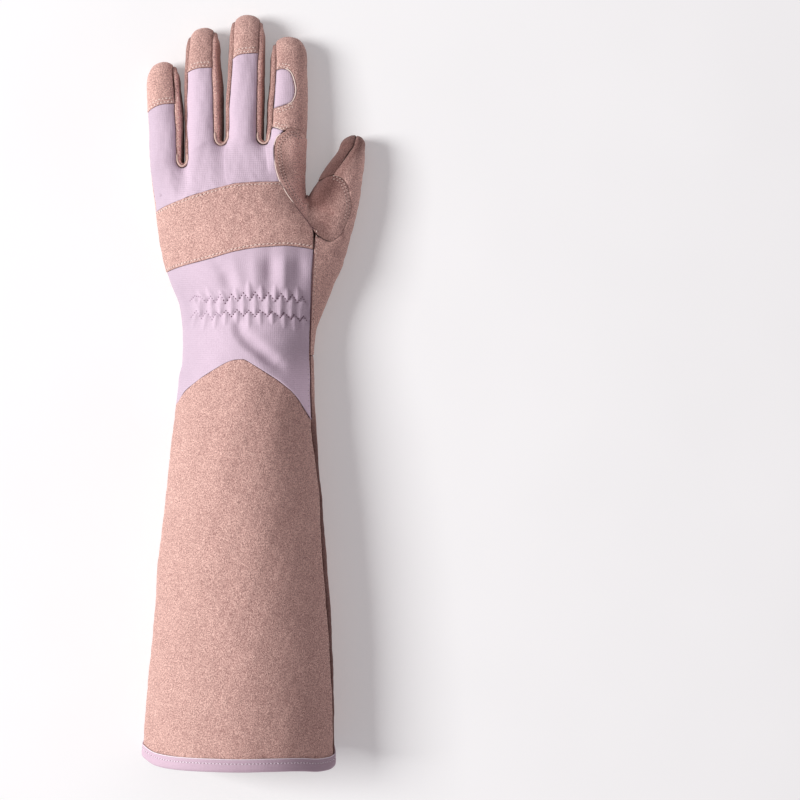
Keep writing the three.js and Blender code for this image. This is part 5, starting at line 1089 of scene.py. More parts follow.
WEB_SIDE = 0.15
nt_, fr_ = 8, np.linspace(0, 1, 9)
tongue = []
for i in range(nt_ + 1):
    f = i / nt_
    lx, ly = lerp(float(d_seam(INDEX, "left", 151.6)), 10.7, fr_) + half, lerp(151.6, 158.4, fr_)
    o = web_at(1 - fr_)[0]
    rx, ry = o[:, 0] - WEB_SIDE, lerp(151.2, 156.0, fr_)
    x, y = lerp(lx, rx, f), lerp(ly, ry, f)
    tongue.append(np.stack([x, y, blend_top(x, y)], -1))
tongue = np.array(tongue)
hand.grid(tongue)
knuckles += list(tongue[:, 0])
HAND_RIGHT = table(("y", "x"), [(118, 19.8)] + [(r[1], r[0]) for r in WEB_ROWS[5:1:-1]] + [(152, 13.7)])["x"]
hand_right_s = by_y(top_s(HAND_RIGHT(YS) - WEB_SIDE))
top_zero = lambda x, y: np.array([np.interp(-q, -SX[j][3 * _N:], SS[j][3 * _N:]) - TOTAL[j] if q > 0 else np.interp(-q, -SX[j][:_N + 1], SS[j][:_N + 1])
                                  for q, j in zip(np.atleast_1d(x), np.clip(np.round((np.atleast_1d(y) - YS[0]) / 0.5).astype(int), 0, len(YS) - 1))])
T = np.array(knuckles)
n = len(T)
c = np.clip((T[:, 0] - T[0, 0]) / (T[-1, 0] - T[0, 0]), 0, 1)
y0 = np.full(n, 120.0)
for _ in range(10):
    y0 = BAND_TOP(unrolled_x(lerp(seam_left_s(y0) - half, hand_right_s(y0), c), y0)) + half
lo, hi = seam_left_s(T[:, 1]) - half, hand_right_s(T[:, 1])
sT = top_zero(T[:, 0], T[:, 1])
cK = np.clip((sT - lo) / (hi - lo), 0.002, 0.992)
cK[0], cK[-1] = 0, 1
cK = np.maximum.accumulate(cK)
rows = fractions(26, 1.1, True, False)
g = np.empty((n, len(rows), 3))
for j, r in enumerate(rows):
    y = lerp(y0, T[:, 1], r)
    a = lerp(seam_left_s(y) - half, hand_right_s(y), lerp(c, cK, r))
    base = P(a, y)
    anchor = P(lerp(seam_left_s(T[:, 1]) - half, hand_right_s(T[:, 1]), cK), T[:, 1])
    g[:, j] = T if j == len(rows) - 1 else base + (T - anchor) * smooth(1 - (T[:, 1] - y) / FINGER_DROP)[:, None]
hand.grid(g)


def knuckle_relief(v):
    # soft swellings over the finger roots, and shallow valleys running on from the gaps
    d = np.zeros(len(v))
    for x, y in ((-41.9, 137), (-17.9, 149), (5.6, 149)):
        t = (y - v[:, 1]) / 16
        d = d - 0.12 * np.exp(-((v[:, 0] - x) / (2.0 + 3.0 * np.clip(t, 0, 1))) ** 2) * smooth(1 - t) * (v[:, 1] < y + 3)
    return d + 0.20 * wobble(v[:, 0], v[:, 1], 17, 31) + 0.07 * wobble(v[:, 0], v[:, 1], 6, 32)


def hand_edge(p):
    """Where the fabric passes under the caps, the band and the patch it stays flat; at the finger seams it turns in."""
    x, y = float(p[0]), float(p[1])
    for cap, d in ((CAP_PINKY, PINKY), (CAP_RING, RING), (CAP_MIDDLE, MIDDLE)):
        if float(d["left"](160)) < x < float(d["right"](160)) and abs(y - float(cap(x))) < 0.9:
            return 0.15, 0.6, None
    if abs(y - float(BAND_TOP(x))) < 1.0 or (x > 9 and y < 157) or (x > 12.6 and y > 155):
        return 0.15, 0.6, None
    return 0.6, 1.2, None


def hand_even(v):
    """All of the hand below the finger gaps is free, over the body's own shape."""
    top = np.interp(v[:, 0], [-46, -42, -34, -26, 10], [139.4, 139.4, 145, 151.0, 151.0])
    return v[:, 1] < top, body_top(v[:, 0], v[:, 1])


piece("hand_back", hand, MAT_FABRIC, wall=1.0, roll=0.6, width=1.2, extra=knuckle_relief, edge=hand_edge, even=hand_even, wear=fabric_wear)


# ------------------------------------------------------------------ fingertip caps
def cap_sheet(d, top, lower):
    ends = [seam_end(d, "left"), seam_end(d, "right")]
    ex = [float(d_seam(d, "left", ends[0])), float(d_seam(d, "right", ends[1]))]
    outer_left = float(d_edge(d, d["dome"])[0])
    if float(d_seam(d, "left", d["dome"])) < outer_left + 0.4:
        ex[0] = outer_left
    w = float(d_seam(d, "right", d["dome"]) - d_seam(d, "left", d["dome"])) * 1.1
    fc = lerp(*trim(w), fractions(w, 1.0))
    y = np.full(len(fc), float(lower(0.5 * (ex[0] + ex[1]))))
    for _ in range(8):
        y = lower(top.x(fc, y))
    B = top.at(fc, y)
    g = []
    for i, c in enumerate(fc):
        x = lerp(ex[0], ex[1], c)
        M = [x, float(tip_y(d, x))]
        side = float(d_edge(d, M[1])[5])
        ln = cross_line(lambda q, yy: d_top(d, q, yy), lambda q, yy: d_floor(d, q, yy), B[i], M, palm_seam_of(d, M), side, 60)
        L = lengths(ln)[-1]
        g.append(along(ln, lerp(*trim(L, 0, 1), fractions(38, 1.0))))
    return Sheet().grid(np.array(g))


for name, d, key, cap in (("pinky_cap", PINKY, "pinky", CAP_PINKY), ("ring_cap", RING, "ring", CAP_RING), ("middle_cap", MIDDLE, "middle", CAP_MIDDLE)):
    piece(name, cap_sheet(d, TOPS[key], shifted(cap, half)), MAT_SUEDE, wall=1.3, lift=0.35, roll=0.6, width=0.9, extra=noise_of(0.12, 0.08, 40 + len(name)), edge=lambda p, cap=cap: (0.42, 0.55, None) if abs(float(p[1]) - float(cap(float(p[0])))) < 1.2 else None,
          wear=lambda v, dist, key=key: np.full(len(v), 1.12 if d is PINKY else 1.0))


# ------------------------------------------------------------------ side strips between the fingers
def strip_between(k):
    A, B, C = (PINKY, RING, MIDDLE)[k], (RING, MIDDLE, INDEX)[k], CROTCHES[k]
    end_a, end_b = seam_end(A, "right") - 0.4, seam_end(B, "left") - 0.4
    ease = lambda t: math.sin(math.pi / 2 * t)
    lines = [side_line(A, "right", lerp(C["leftY"], end_a, ease(1 - i / 44))) for i in range(44)]
    lines += [crotch_line(k, i / 14) for i in range(15)]
    lines += [side_line(B, "left", lerp(C["rightY"], end_b, ease(i / 44))) for i in range(1, 45)]
    out = []
    for ln in lines:
        L = lengths(ln)[-1]
        a, b = trim(L, 1.2, 1.2)
        out.append(along(ln, lerp(a, b, fractions(17, 1.1))))
    return Sheet().grid(np.array(out))


def strip_edge(k):
    """Low at the fingertips, where the strip runs out under the caps."""
    ends = (seam_end((PINKY, RING, MIDDLE)[k], "right"), seam_end((RING, MIDDLE, INDEX)[k], "left"))
    mid = (float((PINKY, RING, MIDDLE)[k]["right"](170)) + float((RING, MIDDLE, INDEX)[k]["left"](170))) / 2

    def at(p):
        near_tip = float(smooth((p[1] - (ends[0] if p[0] < mid else ends[1]) + 9) / 7))
        return lerp(0.5, 0.75, near_tip), lerp(0.8, 1.3, near_tip), lerp(0.0, -0.45, near_tip)
    return at


def strip_wear(k):
    """Rubbed pale along the back seam of the near finger, dark down in the gap; plainer on the far finger."""
    A, B = (PINKY, RING, MIDDLE)[k], (RING, MIDDLE, INDEX)[k]

    def at(v, dist):
        high = smooth((v[:, 2] - 11) / 6)
        far = smooth((v[:, 0] - (A["right"](v[:, 1]) + B["left"](v[:, 1])) / 2) / 0.8 + 0.5)
        near_ = 0.84 + (0.80 if k == 0 else 0.60) * high * np.exp(-((dist - 2.0) / 1.9) ** 2) + 0.12 * high
        return lerp(near_, 0.60 + 0.16 * high, far)
    return at


for k, name in enumerate(("fourchette_pinky_ring", "fourchette_ring_middle", "fourchette_middle_index")):
    piece(name, strip_between(k), MAT_SUEDE_DARK, wall=1.0, roll=0.5, width=0.8, extra=noise_of(0.10, 0.08, 60 + k), bulge=(1.15, 2.0, 1.6, 9.0), edge=strip_edge(k), wear=strip_wear(k))


# ------------------------------------------------------------------ web patch between index finger and thumb
def web_under(t):
    e = 0.25
    a, b, m = web_at(max(0.0, t - e))[1], web_at(min(16.0, t + e))[1], web_at(t)[1]
    l = math.hypot(b[0] - a[0], b[1] - a[1])
    return np.array([m[0] + PALM_INSET * (b[1] - a[1]) / l, m[1] - PALM_INSET * (b[0] - a[0]) / l, m[2] * 0.258])


def web_line(t, n=50):
    """From the patch's outer edge on the back to the fold, and on to its edge near the floor."""
    o, m = web_at(t)
    q = web_under(t)
    L = math.hypot(o[0] - m[0], o[1] - m[1])
    f = np.sin(np.pi / 2 * np.arange(n + 1) / n)
    x, y = lerp(o[0], m[0], f), lerp(o[1], m[1], f)
    # the first rows rise to the scalloped seam of the index finger
    y = y + np.maximum(0, SCALLOP(x) - 0.16 - y) * max(0.0, 1 - (t - 0.06) / 0.95) * smooth((x - 17.9) / 1.2) * smooth((30.6 - x) / 1.0)
    thumb = d_top(TIP, x, y) + fold_depth(x, y) * smooth(np.minimum(x - THUMB["left"](y), THUMB["right"](y) - x) / 8)
    past = blend_top(np.minimum(x, 29.5), y) if t < 8.5 else thumb
    top = np.where(y <= SPLIT_Y, body_top(x, y) if t > 8.5 else blend_top(x, y), past)
    g = np.clip(1 - (1 - f) * L / lerp(3.2, 7.0, float(smooth((t - 3.5) / 4))), 0, 1)
    a = np.stack([x, y, lerp(top, m[2], 1 - np.sqrt(np.maximum(0, 1 - g * g)))], 1)
    k = np.arange(1, 17) / 16
    c = 1 - 0.33 * k * k
    ff = (1 - c) / 0.33
    b = np.stack([lerp(m[0], q[0], ff), lerp(m[1], q[1], ff), m[2] * (1 - np.sqrt(np.maximum(0, 1 - c * c)))], 1)
    return np.concatenate([a, b])


web_rows = []
for t in lerp(0.06, 15.96, fractions(150, 1.15)):
    ln = web_line(float(t))[::-1]
    L = lengths(ln)[-1]
    web_rows.append(along(ln, lerp(*trim(L), fractions(34, 1.1))))
web_grid = np.array(web_rows).transpose(1, 0, 2)


def web_relief(v):
    x, y = v[:, 0], v[:, 1]
    # a soft ridge from the crotch over the thumb's base, with a shallow crease under it
    dx, dy = 52 - 32.5, 109.0 - 114.5
    t = np.clip(((x - 32.5) * dx + (y - 114.5) * dy) / (dx * dx + dy * dy), 0, 1)
    side = ((x - 32.5) * dy - (y - 114.5) * dx) / math.hypot(dx, dy)
    fade = np.sin(np.pi * np.clip(t * 0.9 + 0.08, 0, 1))
    d = fade * (0.45 * np.exp(-((side + 0.6) / 1.9) ** 2) - 0.95 * np.exp(-((side - 3.6) / 3.2) ** 2)) * smooth((v[:, 2] - 10) / 6)
    return d + 0.14 * wobble(x, y, 19, 71) + 0.06 * wobble(x, y, 6.5, 72)


def web_edge(p):
    """Only the edge over the fabric and the band stands proud; on the thumb and under the index finger it lies level."""
    x, y = float(p[0]), float(p[1])
    if y > 151.5 and x < 31:
        return 0.04, 0.4, 0.38
    if y < 153.2 and x < 31.0 and y > 100 and x < float(WEB["mx"](2)) - 3:
        return 0.5, 0.7, 0.45
    if y < 103 and x < 50:
        out = float(smooth((x - 43) / 6))
        return lerp(0.45, 0.04, out), lerp(0.7, 0.4, out), lerp(0.40, 0.10, out)
    return 0.04, 0.4, 0.10


def thumb_across(x, y):
    """Distance to the right of the line up the thumb's back, from the saddle through its seam to the tip."""
    line_x = np.interp(y, [98, 111.6, 131.5, 151.0], [33.0, 37.3, 48.2, 61.5])
    slope = np.interp(y, [98, 111.6, 131.5, 151.0], [0.30, 0.50, 0.62, 0.70])
    return (x - line_x) / np.sqrt(1 + slope * slope)


def thumb_tone(x, y):
    """The nap lies the other way on the thumb: deep on its inner half, paler past its back."""
    w = thumb_across(x, y)
    high = np.interp(w, [2, 5, 8, 13], [0.26, 0.42, 0.66, 1.04])
    low = np.interp(w, [-2, 4, 9, 14], [0.90, 0.64, 0.62, 0.98])
    return lerp(high, low, smooth((113.5 - y) / 7))


def web_wear(v, dist):
    """Rubbed pale on the saddle and the side of the index finger; the thumb's base has its own tone."""
    x, y = v[:, 0], v[:, 1]
    d = x - web_left(y)
    upper = lerp(0.76, 1.50, smooth((d - 4) / 9))
    lower = lerp(1.30, 1.52, smooth(d / 5))
    side = lerp(lower, upper, smooth((y - 123) / 9))
    return lerp(side, thumb_tone(x, y), smooth((x - 30.5) / 2.8))


WEB_EDGE = np.array([web_at(float(t))[0] for t in np.linspace(0, 9, 120)])
WEB_EDGE = WEB_EDGE[np.argsort(WEB_EDGE[:, 1])]


def web_left(y):
    return np.interp(y, WEB_EDGE[:, 1], WEB_EDGE[:, 0])


piece("thumb_web_patch", Sheet().grid(web_grid), MAT_SUEDE, wall=1.4, lift=0.3, roll=0.5, width=0.7, extra=web_relief, edge=web_edge, wear=web_wear)


# ------------------------------------------------------------------ thumb
def seam_end_thumb():
    y = 152.0
    for _ in range(14):
        y = float(tip_y(TIP, THUMB_SEAM(y)))
    return [float(THUMB_SEAM(y)), y]


THUMB_END = seam_end_thumb()
_tl, _tr, _tm, _thw, _, _, _ = [float(v) for v in d_edge(TIP, TIP["dome"])]
TIP_ANGLE = math.acos(min(1, max(-1, (THUMB_END[0] - _tm - TIP["lean"] * (THUMB_END[1] - TIP["dome"])) / _thw)))


def thumb_outline(angle):
    p, c, s = TIP["outline"], math.cos(angle), math.sin(angle)
    k = (abs(c) ** p + abs(s) ** p) ** (-1 / p)
    y = TIP["dome"] + (TIP["tip"] - TIP["dome"]) * k * s
    return [_tm + TIP["lean"] * (y - TIP["dome"]) + _thw * k * c, y]


def thumb_seam_point(y):
    return [float(THUMB_SEAM(y)), y]


def thumb_side(which, y):
    e = d_edge(TIP, y)
    return [float(e[0] if which == "left" else e[1]), y]


def smooth_rows(rows, n, power=1.0):
    """Rows of named points, more of them, on smooth curves through the given ones."""
    a = np.array(rows, float).reshape(len(rows), -1)
    k = np.arange(len(rows))
    t = np.linspace(0, len(rows) - 1, n)
    return np.stack([pchip(k, a[:, i])(t) for i in range(a.shape[1])], 1).reshape(n, *np.array(rows).shape[1:]), t


def inner_wear(v, dist):
    """Deep in tone beside the crotch, a little paler towards the tip."""
    return 0.26 + 0.12 * smooth((v[:, 1] - 133) / 17)


spec = []
for j in range(5):
    r = j / 4
    M = list(web_at(16)[1][:2]) if j == 0 else thumb_side("left", lerp(float(web_at(16)[1][1]), TIP["dome"], r))
    Q = list(web_under(16)[:2]) if j == 0 else palm_seam_of(TIP, M)
    spec.append([thumb_seam_point(lerp(130.2, 147.5, r)), M, Q])
for j in range(1, 4):
    r = j / 3
    M = thumb_outline(lerp(math.pi, TIP_ANGLE + 0.03, r))
    spec.append([M if j == 3 else thumb_seam_point(lerp(147.5, THUMB_END[1] - 0.3, r)), M, palm_seam_of(TIP, M)])
dense, tt = smooth_rows(spec, 44)
inner_rows = []
for (B, M, Q), t in zip(dense, tt):
    yy = min(M[1], TIP["dome"])
    side = float(d_edge(TIP, yy)[5])
    if t < 1:
        side = lerp(float(web_at(16)[1][2]), side, t)
    ln = cross_line(lambda x, y: d_top(TIP, x, y), lambda x, y: d_floor(TIP, x, y), B, M, Q, side, 30)[::-1]
    L = max(lengths(ln)[-1], 1.0)
    pts = along(ln, lerp(*trim(L), fractions(15, 1.0)))
    pts[:, :2] += np.array([0.14, 0.19]) * max(0.0, 1 - t)
    inner_rows.append(pts)
piece("thumb_inner", Sheet().grid(np.array(inner_rows).transpose(1, 0, 2)), MAT_SUEDE_NAP, wall=1.1, roll=0.4, width=1.0, extra=noise_of(0.14, 0.08, 80), edge=lambda p: (lerp(0.04, 0.42, float(smooth((p[1] - 130) / 12))), 0.7, None), wear=inner_wear)


# ------------------------------------------------------------------ index finger's suede and its opening
def curve_through(pts, n, fr=None):
    """Smooth plane curve through points, cut into n steps of equal length or at given fractions."""
    pts = np.array(pts, float)
    s = np.concatenate([[0], np.cumsum(np.linalg.norm(np.diff(pts, axis=0), axis=1))])
    # natural tangents (centripetal)
    t = np.linspace(0, s[-1], 400)
    m = np.gradient(pts, s, axis=0)
    i = np.clip(np.searchsorted(s, t, side="right") - 1, 0, len(s) - 2)
    w = (s[i + 1] - s[i])[:, None]
    u = ((t - s[i])[:, None]) / w
    u2, u3 = u * u, u * u * u
    c = pts[i] * (2 * u3 - 3 * u2 + 1) + m[i] * w * (u3 - 2 * u2 + u) + pts[i + 1] * (3 * u2 - 2 * u3) + m[i + 1] * w * (u3 - u2)
    return resample(c, np.linspace(0, 1, n + 1) if fr is None else fr)


def resample(c, fr):
    c = np.asarray(c, float)
    s = np.concatenate([[0], np.cumsum(np.linalg.norm(np.diff(c, axis=0), axis=1))])
    q = np.asarray(fr) * s[-1]
    return np.stack([np.interp(q, s, c[:, k]) for k in range(c.shape[1])], -1)


def coons(bottom, top, left, right):
    """Plane patch with exactly these edges: bottom and top run left to right, left and right run up."""
    n, m = len(bottom), len(left)
    c, r = np.linspace(0, 1, n)[:, None, None], np.linspace(0, 1, m)[None, :, None]
    lb = np.concatenate([[0], np.cumsum(np.linalg.norm(np.diff(bottom, axis=0), axis=1))])
    ll = np.concatenate([[0], np.cumsum(np.linalg.norm(np.diff(left, axis=0), axis=1))])
    if lb[-1] > 0:
        c = (lb / lb[-1])[:, None, None]
    if ll[-1] > 0:
        r = (ll / ll[-1])[None, :, None]
    a = lerp(left[None, :, :], right[None, :, :], c)
    b = lerp(bottom[:, None, :], top[:, None, :], r)
    k = lerp(lerp(bottom[0], bottom[-1], c), lerp(top[0], top[-1], c), r)
    return a + b - k


def index_out(y):
    y = np.asarray(y, float)
    return np.stack([d_edge(INDEX, y)[1], y], -1)


def on_index(p):
    x, y = p[..., 0], p[..., 1]
    z = d_top(INDEX, x, y)
    return np.stack([x, y, z], -1)


OPEN_CURVE = curve_through(OPENING, 0, np.linspace(0, 1, 241))
_os = np.concatenate([[0], np.cumsum(np.linalg.norm(np.diff(OPEN_CURVE, axis=0), axis=1))])
_marks = [float(_os[np.argmin(np.linalg.norm(OPEN_CURVE - p, axis=1))] / _os[-1]) for p in OPENING]


def opening_part(i, j, n, out):
    """Part of the opening between two of its corners, moved outwards."""
    fr = np.linspace(_marks[i], _marks[j], n + 1)
    p = resample(OPEN_CURVE, fr)
    d = resample(OPEN_CURVE, np.clip(fr + 0.01, 0, 1)) - resample(OPEN_CURVE, np.clip(fr - 0.01, 0, 1))
    d /= np.linalg.norm(d, axis=1, keepdims=True)
    return p + out * np.stack([d[:, 1], -d[:, 0]], 1)


def seam_x(y):
    return INDEX["seamL"](y) + half


n1, n2 = 12, 10
low = np.array([(x, float(INDEX_LOW(x)) + half) for x in np.linspace(10.6, 30.6, 200)])
M0 = index_out(153.5)
low = np.concatenate([low[low[:, 0] < M0[0] - 0.3], M0[None]])
bottom = resample(low, np.concatenate([np.linspace(0, 0.56, n1 + 1)[:-1], np.linspace(0.56, 1, n2 + 1)]))
open_low = opening_part(0, 2, n1, half)
open_low[0, 0] = seam_x(open_low[0, 1])
to_out = resample(np.array([open_low[-1], index_out(173.2)]), np.sin(np.linspace(0, np.pi / 2, n2 + 1)))
open_right = opening_part(2, 5, 18, half)
open_top = opening_part(5, 7, n1, half)[::-1]
open_top[0, 0] = seam_x(open_top[0, 1])
out2 = resample(np.array([open_top[-1], index_out(191.6)]), np.sin(np.linspace(0, np.pi / 2, n2 + 1)))
m1 = 14
yl = np.linspace(bottom[0, 1], open_low[0, 1], m1 + 1)
left1 = np.stack([seam_x(yl), yl], 1)
left1[0] = bottom[0]
left1[:, 0] = lerp(bottom[0, 0], left1[:, 0], smooth((yl - yl[0]) / 2.0))
right1 = index_out(np.linspace(153.5, 173.2, m1 + 1))
top1 = np.concatenate([open_low, to_out[1:]])
g1 = coons(bottom, top1, left1, right1)
right2 = index_out(np.linspace(173.2, 191.6, 19))
g2 = coons(to_out, out2, open_right, right2)
m3 = 22
end_left = seam_end(INDEX, "left")
ends = []
ang = np.linspace(0, 1, n1 + n2 + 1)
exL = float(INDEX["seamL"](end_left)) + half
mid_i = float(d_edge(INDEX, INDEX["dome"])[2])
hw_i = float(d_edge(INDEX, INDEX["dome"])[3])


def index_outline(a):
    p, c, s = INDEX["outline"], math.cos(a), math.sin(a)
    k = (abs(c) ** p + abs(s) ** p) ** (-1 / p)
    y = INDEX["dome"] + (INDEX["tip"] - INDEX["dome"]) * k * s
    return [mid_i + INDEX["lean"] * (y - INDEX["dome"]) + hw_i * k * c, y]


a_left = math.acos(max(-1, min(1, (exL - mid_i - INDEX["lean"] * (end_left - INDEX["dome"])) / hw_i)))
tip_curve = np.array([index_outline(lerp(a_left, 0.0, t)) for t in np.linspace(0, 1, n1 + n2 + 1)])
bottom3 = np.concatenate([open_top, out2[1:]])
yl3 = np.linspace(open_top[0, 1], tip_curve[0, 1], m3 + 1)
left3 = np.stack([seam_x(yl3), yl3], 1)
left3[-1] = tip_curve[0]
right3 = np.concatenate([index_out(np.linspace(191.6, tip_curve[-1, 1], m3 + 1))])
right3[-1] = tip_curve[-1]
g3 = coons(bottom3, tip_curve, left3, right3)
# closer to the outline the back turns down steeply: more rows there
ease3 = np.sin(np.linspace(0, np.pi / 2, m3 + 1)) ** 0.9
g3 = np.stack([resample(col, ease3) for col in g3])


def clip_to_index(g):
    g = g.copy()
    flat = g.reshape(-1, 2)
    for p in flat:
        e = d_edge(INDEX, p[1])
        p[0] = min(max(p[0], float(e[0])), float(e[1]))
    return flat.reshape(g.shape)


sheet = Sheet()
g1, g2, g3 = clip_to_index(g1), clip_to_index(g2), clip_to_index(g3)
for g in (g1, g2, g3):
    sheet.grid(on_index(g))
rim_line = np.concatenate([right1, right2[1:], right3[1:], tip_curve[::-1][1:]])
rim_cols = []
for p in rim_line:
    Q = palm_seam_of(INDEX, list(p))
    top_z = float(on_index(p)[2])
    side = float(d_edge(INDEX, min(p[1], INDEX["dome"]))[5])
    f = 1 - np.cos(np.pi / 2 * np.linspace(0, 0.955, 11))
    x, y = lerp(p[0], Q[0], f), lerp(p[1], Q[1], f)
    z = d_floor(INDEX, x, y)
    z[0] = top_z
    rim_cols.append(np.stack([x, y, z], 1))
rim_cols = np.array(rim_cols).transpose(1, 0, 2)
sheet.grid(rim_cols)
def index_edge(p):
    if abs(float(p[1]) - float(INDEX_LOW(float(p[0])))) < 1.3:
        return 0.04 if p[0] > 17.5 else 0.12, 0.4, 0.10
    return None


piece("index_panel", sheet, MAT_SUEDE, wall=1.3, lift=0.38, roll=0.5, width=0.75, extra=noise_of(0.12, 0.07, 90), edge=index_edge,
      wear=lambda v, dist: 1 + 0.22 * smooth((v[:, 0] - 20) / 7) * smooth((204 - v[:, 1]) / 14))

wb, wt, wr = opening_part(0, 2, n1, -half), opening_part(5, 7, n1, -half)[::-1], opening_part(2, 5, 18, -half)
wb[0, 0], wt[0, 0] = seam_x(wb[0, 1]), seam_x(wt[0, 1])
yl = np.linspace(wb[0, 1], wt[0, 1], 19)
wl = np.stack([seam_x(yl), yl], 1)
wb[-1], wt[-1] = wr[0], wr[-1]
gw = clip_to_index(coons(wb, wt, wl, wr))
piece("index_window", Sheet().grid(on_index(gw)), MAT_FABRIC, wall=0.9, roll=0.35, width=1.0, lift=-0.15, extra=lambda v: 0.35 * np.exp(-((v[:, 0] - 18) / 4) ** 2) + 0.06 * wobble(v[:, 0], v[:, 1], 7, 95))


# ------------------------------------------------------------------ palm
WEB_GAP = 0.12


def out_by(t, k):
    """Just outside the patch's edge on the back."""
    a, b, o = web_at(t - 0.2)[0], web_at(t + 0.2)[0], web_at(t)[0]
    l = math.hypot(b[0] - a[0], b[1] - a[1])
    return np.array([o[0] + k * (b[1] - a[1]) / l, o[1] - k * (b[0] - a[0]) / l])


def thumb_top(x, y):
    rim = np.minimum(x - THUMB["left"](y), THUMB["right"](y) - x)
    return np.where(y <= SPLIT_Y, body_top(x, y), d_top(TIP, x, y) + fold_depth(x, y) * smooth(rim / 8))


def corner_end(y, side):
    l, r, c = float(BODY["left"](y)), float(body_right(np.array(y))), float(body_corner(np.array(y)))
    return floor_s(r - c if side == "right" else l + c, y)


Y_SPLIT = float(web_under(8.5)[1])
X_SPLIT = float(web_under(8.5)[0])


def split_x(y):
    return min(X_SPLIT, float(body_right(np.array(y)) - body_corner(np.array(y))) - 3)


def a_seam(y):
    return float(total(y) + seam_right_s(y)) - half


G = {"back_a": 0.6, "n_back_a": fractions(12, 1.2, True, False), "n_back_b": np.linspace(0, 1, 7), "n_turn": np.linspace(0, 1, 13),
     "n_split": np.linspace(0, 1, 9), "n_floor": np.linspace(0, 1, 26), "n_left": np.linspace(0, 1, 9), "n_end": fractions(22, 1.4, False, True)}


def palm_marks(y):
    ce, cl, sp = corner_end(y, "right"), corner_end(y, "left"), floor_s(split_x(y), y)
    ra, la = float(right_at(y)), float(left_at(y))
    return ra, ce, sp, cl, la, float(seam_left_s(y)) + half


def palm_row(y):
    """Length positions of one row of the palm: the back part, then the rest."""
    ra, ce, sp, cl, la, end = palm_marks(y)
    A = a_seam(y)
    back_a = lerp(A, lerp(A, ra, G["back_a"]), G["n_back_a"])
    back_b = lerp(lerp(A, ra, G["back_a"]), ra, G["n_back_b"])
    turn = lerp(ra, ce, G["n_turn"])
    split = lerp(ce, sp, G["n_split"])
    floor_ = lerp(sp, cl, G["n_floor"])
    end_ = lerp(cl, end, G["n_end"])
    return back_a, back_b, np.concatenate([turn, split[1:]]), np.concatenate([floor_, end_[1:]])


palm = Sheet()
Y_LOW = 91.0
ys_low = np.concatenate([lerp(WRIST_SEAM_Y + half, 80.0, fractions(56, 1.6, True, False))[:-1], np.linspace(80, Y_LOW, 9)])
web_t = np.interp(G["n_back_a"], np.linspace(0, 1, 4), [7.86, 8.4, 9.0, 9.7])
edge_curve = np.array([out_by(float(t), WEB_GAP) for t in web_t])


def b_to_side(B, y, n=60):
    """Over the thumb's back from a point beside the patch to the outline at y."""
    R = np.array([float(body_right(np.array(min(y, SPLIT_Y)))) if y <= SPLIT_Y else float(d_edge(TIP, y)[1]), y])
    f = np.sin(np.pi / 2 * np.arange(n + 1) / n)
    x, yy = lerp(B[0], R[0], f), lerp(B[1], R[1], f)
    z = thumb_top(x, yy)
    z[-1] = float(BODY["side"](y)) if y <= SPLIT_Y else float(d_edge(TIP, min(y, TIP["dome"]))[5])
    return np.stack([x, yy, z], 1)


last_b = along(b_to_side(edge_curve[-1], Y_LOW), G["n_back_b"])
cols_a, cols_b, cols_c, cols_d = [], [], [], []
base = [P(a, np.full(len(a), Y_LOW)) for a in palm_row(Y_LOW)]
for y in ys_low:
    A, B, C, D = [P(a, np.full(len(a), y)) for a in palm_row(y)]
    w = max(0.0, (y - 76) / (Y_LOW - 76)) ** 1.4 if y > 76 else 0.0
    if w > 0:
        A = A.copy()
        A[:, :2] += (edge_curve - base[0][:, :2]) * w
        A[:, 2] = thumb_top(A[:, 0], A[:, 1])
        B = B + (last_b - base[1]) * w
        B[0] = A[-1]
    cols_a.append(A)
    cols_b.append(B)
    cols_c.append(C)
    cols_d.append(D)
for cols in (cols_a, cols_b, cols_c, cols_d):
    g = np.array(cols).transpose(1, 0, 2)
    palm.grid(g)

# beside the thumb's base
t_of_y = pchip([91, 99, 107, Y_SPLIT], [9.7, 10.75, 11.75, 12.8])
ys_mid = np.linspace(Y_LOW, Y_SPLIT, 20)
mb, mc, md = [], [], []
for y in ys_mid:
    B = edge_curve[-1] if y == Y_LOW else out_by(float(t_of_y(y)), WEB_GAP)
    mb.append(cols_b[-1] if y == Y_LOW else along(b_to_side(B, y), G["n_back_b"]))
    _, _, c_, d_ = palm_row(y)
    mc.append(P(c_, np.full(len(c_), y)))
    md.append(P(d_, np.full(len(d_), y)))
    mb[-1][-1] = mc[-1][0]
split_fr = lengths(mc[-1]) / lengths(mc[-1])[-1]
palm.grid(np.array(mb).transpose(1, 0, 2))
palm.grid(np.array(mc).transpose(1, 0, 2))
palm.grid(np.array(md).transpose(1, 0, 2))

# outer side of the thumb, from its back seam over the outline to the palm seam
spec = [
    [out_by(12.8, WEB_GAP), [float(body_right(np.array(Y_SPLIT))), Y_SPLIT], web_under(8.5)[:2]],
    [out_by(13.5, WEB_GAP), thumb_side("right", 118.6), web_under(10.4)[:2]],
    [out_by(14.3, WEB_GAP), thumb_side("right", 122), web_under(12.3)[:2]],
    [out_by(15.1, WEB_GAP), thumb_side("right", 125.5), web_under(14.2)[:2]],
    [[47.3, 129.75], thumb_side("right", 130), web_under(16)[:2]]]
for b, m, q in ((136, 136, 133), (142.2, 141, 139.5), (147.4, 146, 146)):
    S = thumb_seam_point(b)
    spec.append([[S[0] + half * 1.2, S[1] - half], thumb_side("right", m), palm_seam_of(TIP, thumb_side("left", q))])
for j in (1, 2, 3):
    M, S = thumb_outline(lerp(0, TIP_ANGLE - 0.03, j / 3)), thumb_seam_point(lerp(147.4, THUMB_END[1] - 0.4, j / 3))
    spec.append([M if j == 3 else [S[0] + half * 1.4, S[1]], M, palm_seam_of(TIP, M) if j == 3 else palm_seam_of(TIP, thumb_outline(lerp(math.pi, TIP_ANGLE, j / 3)))])
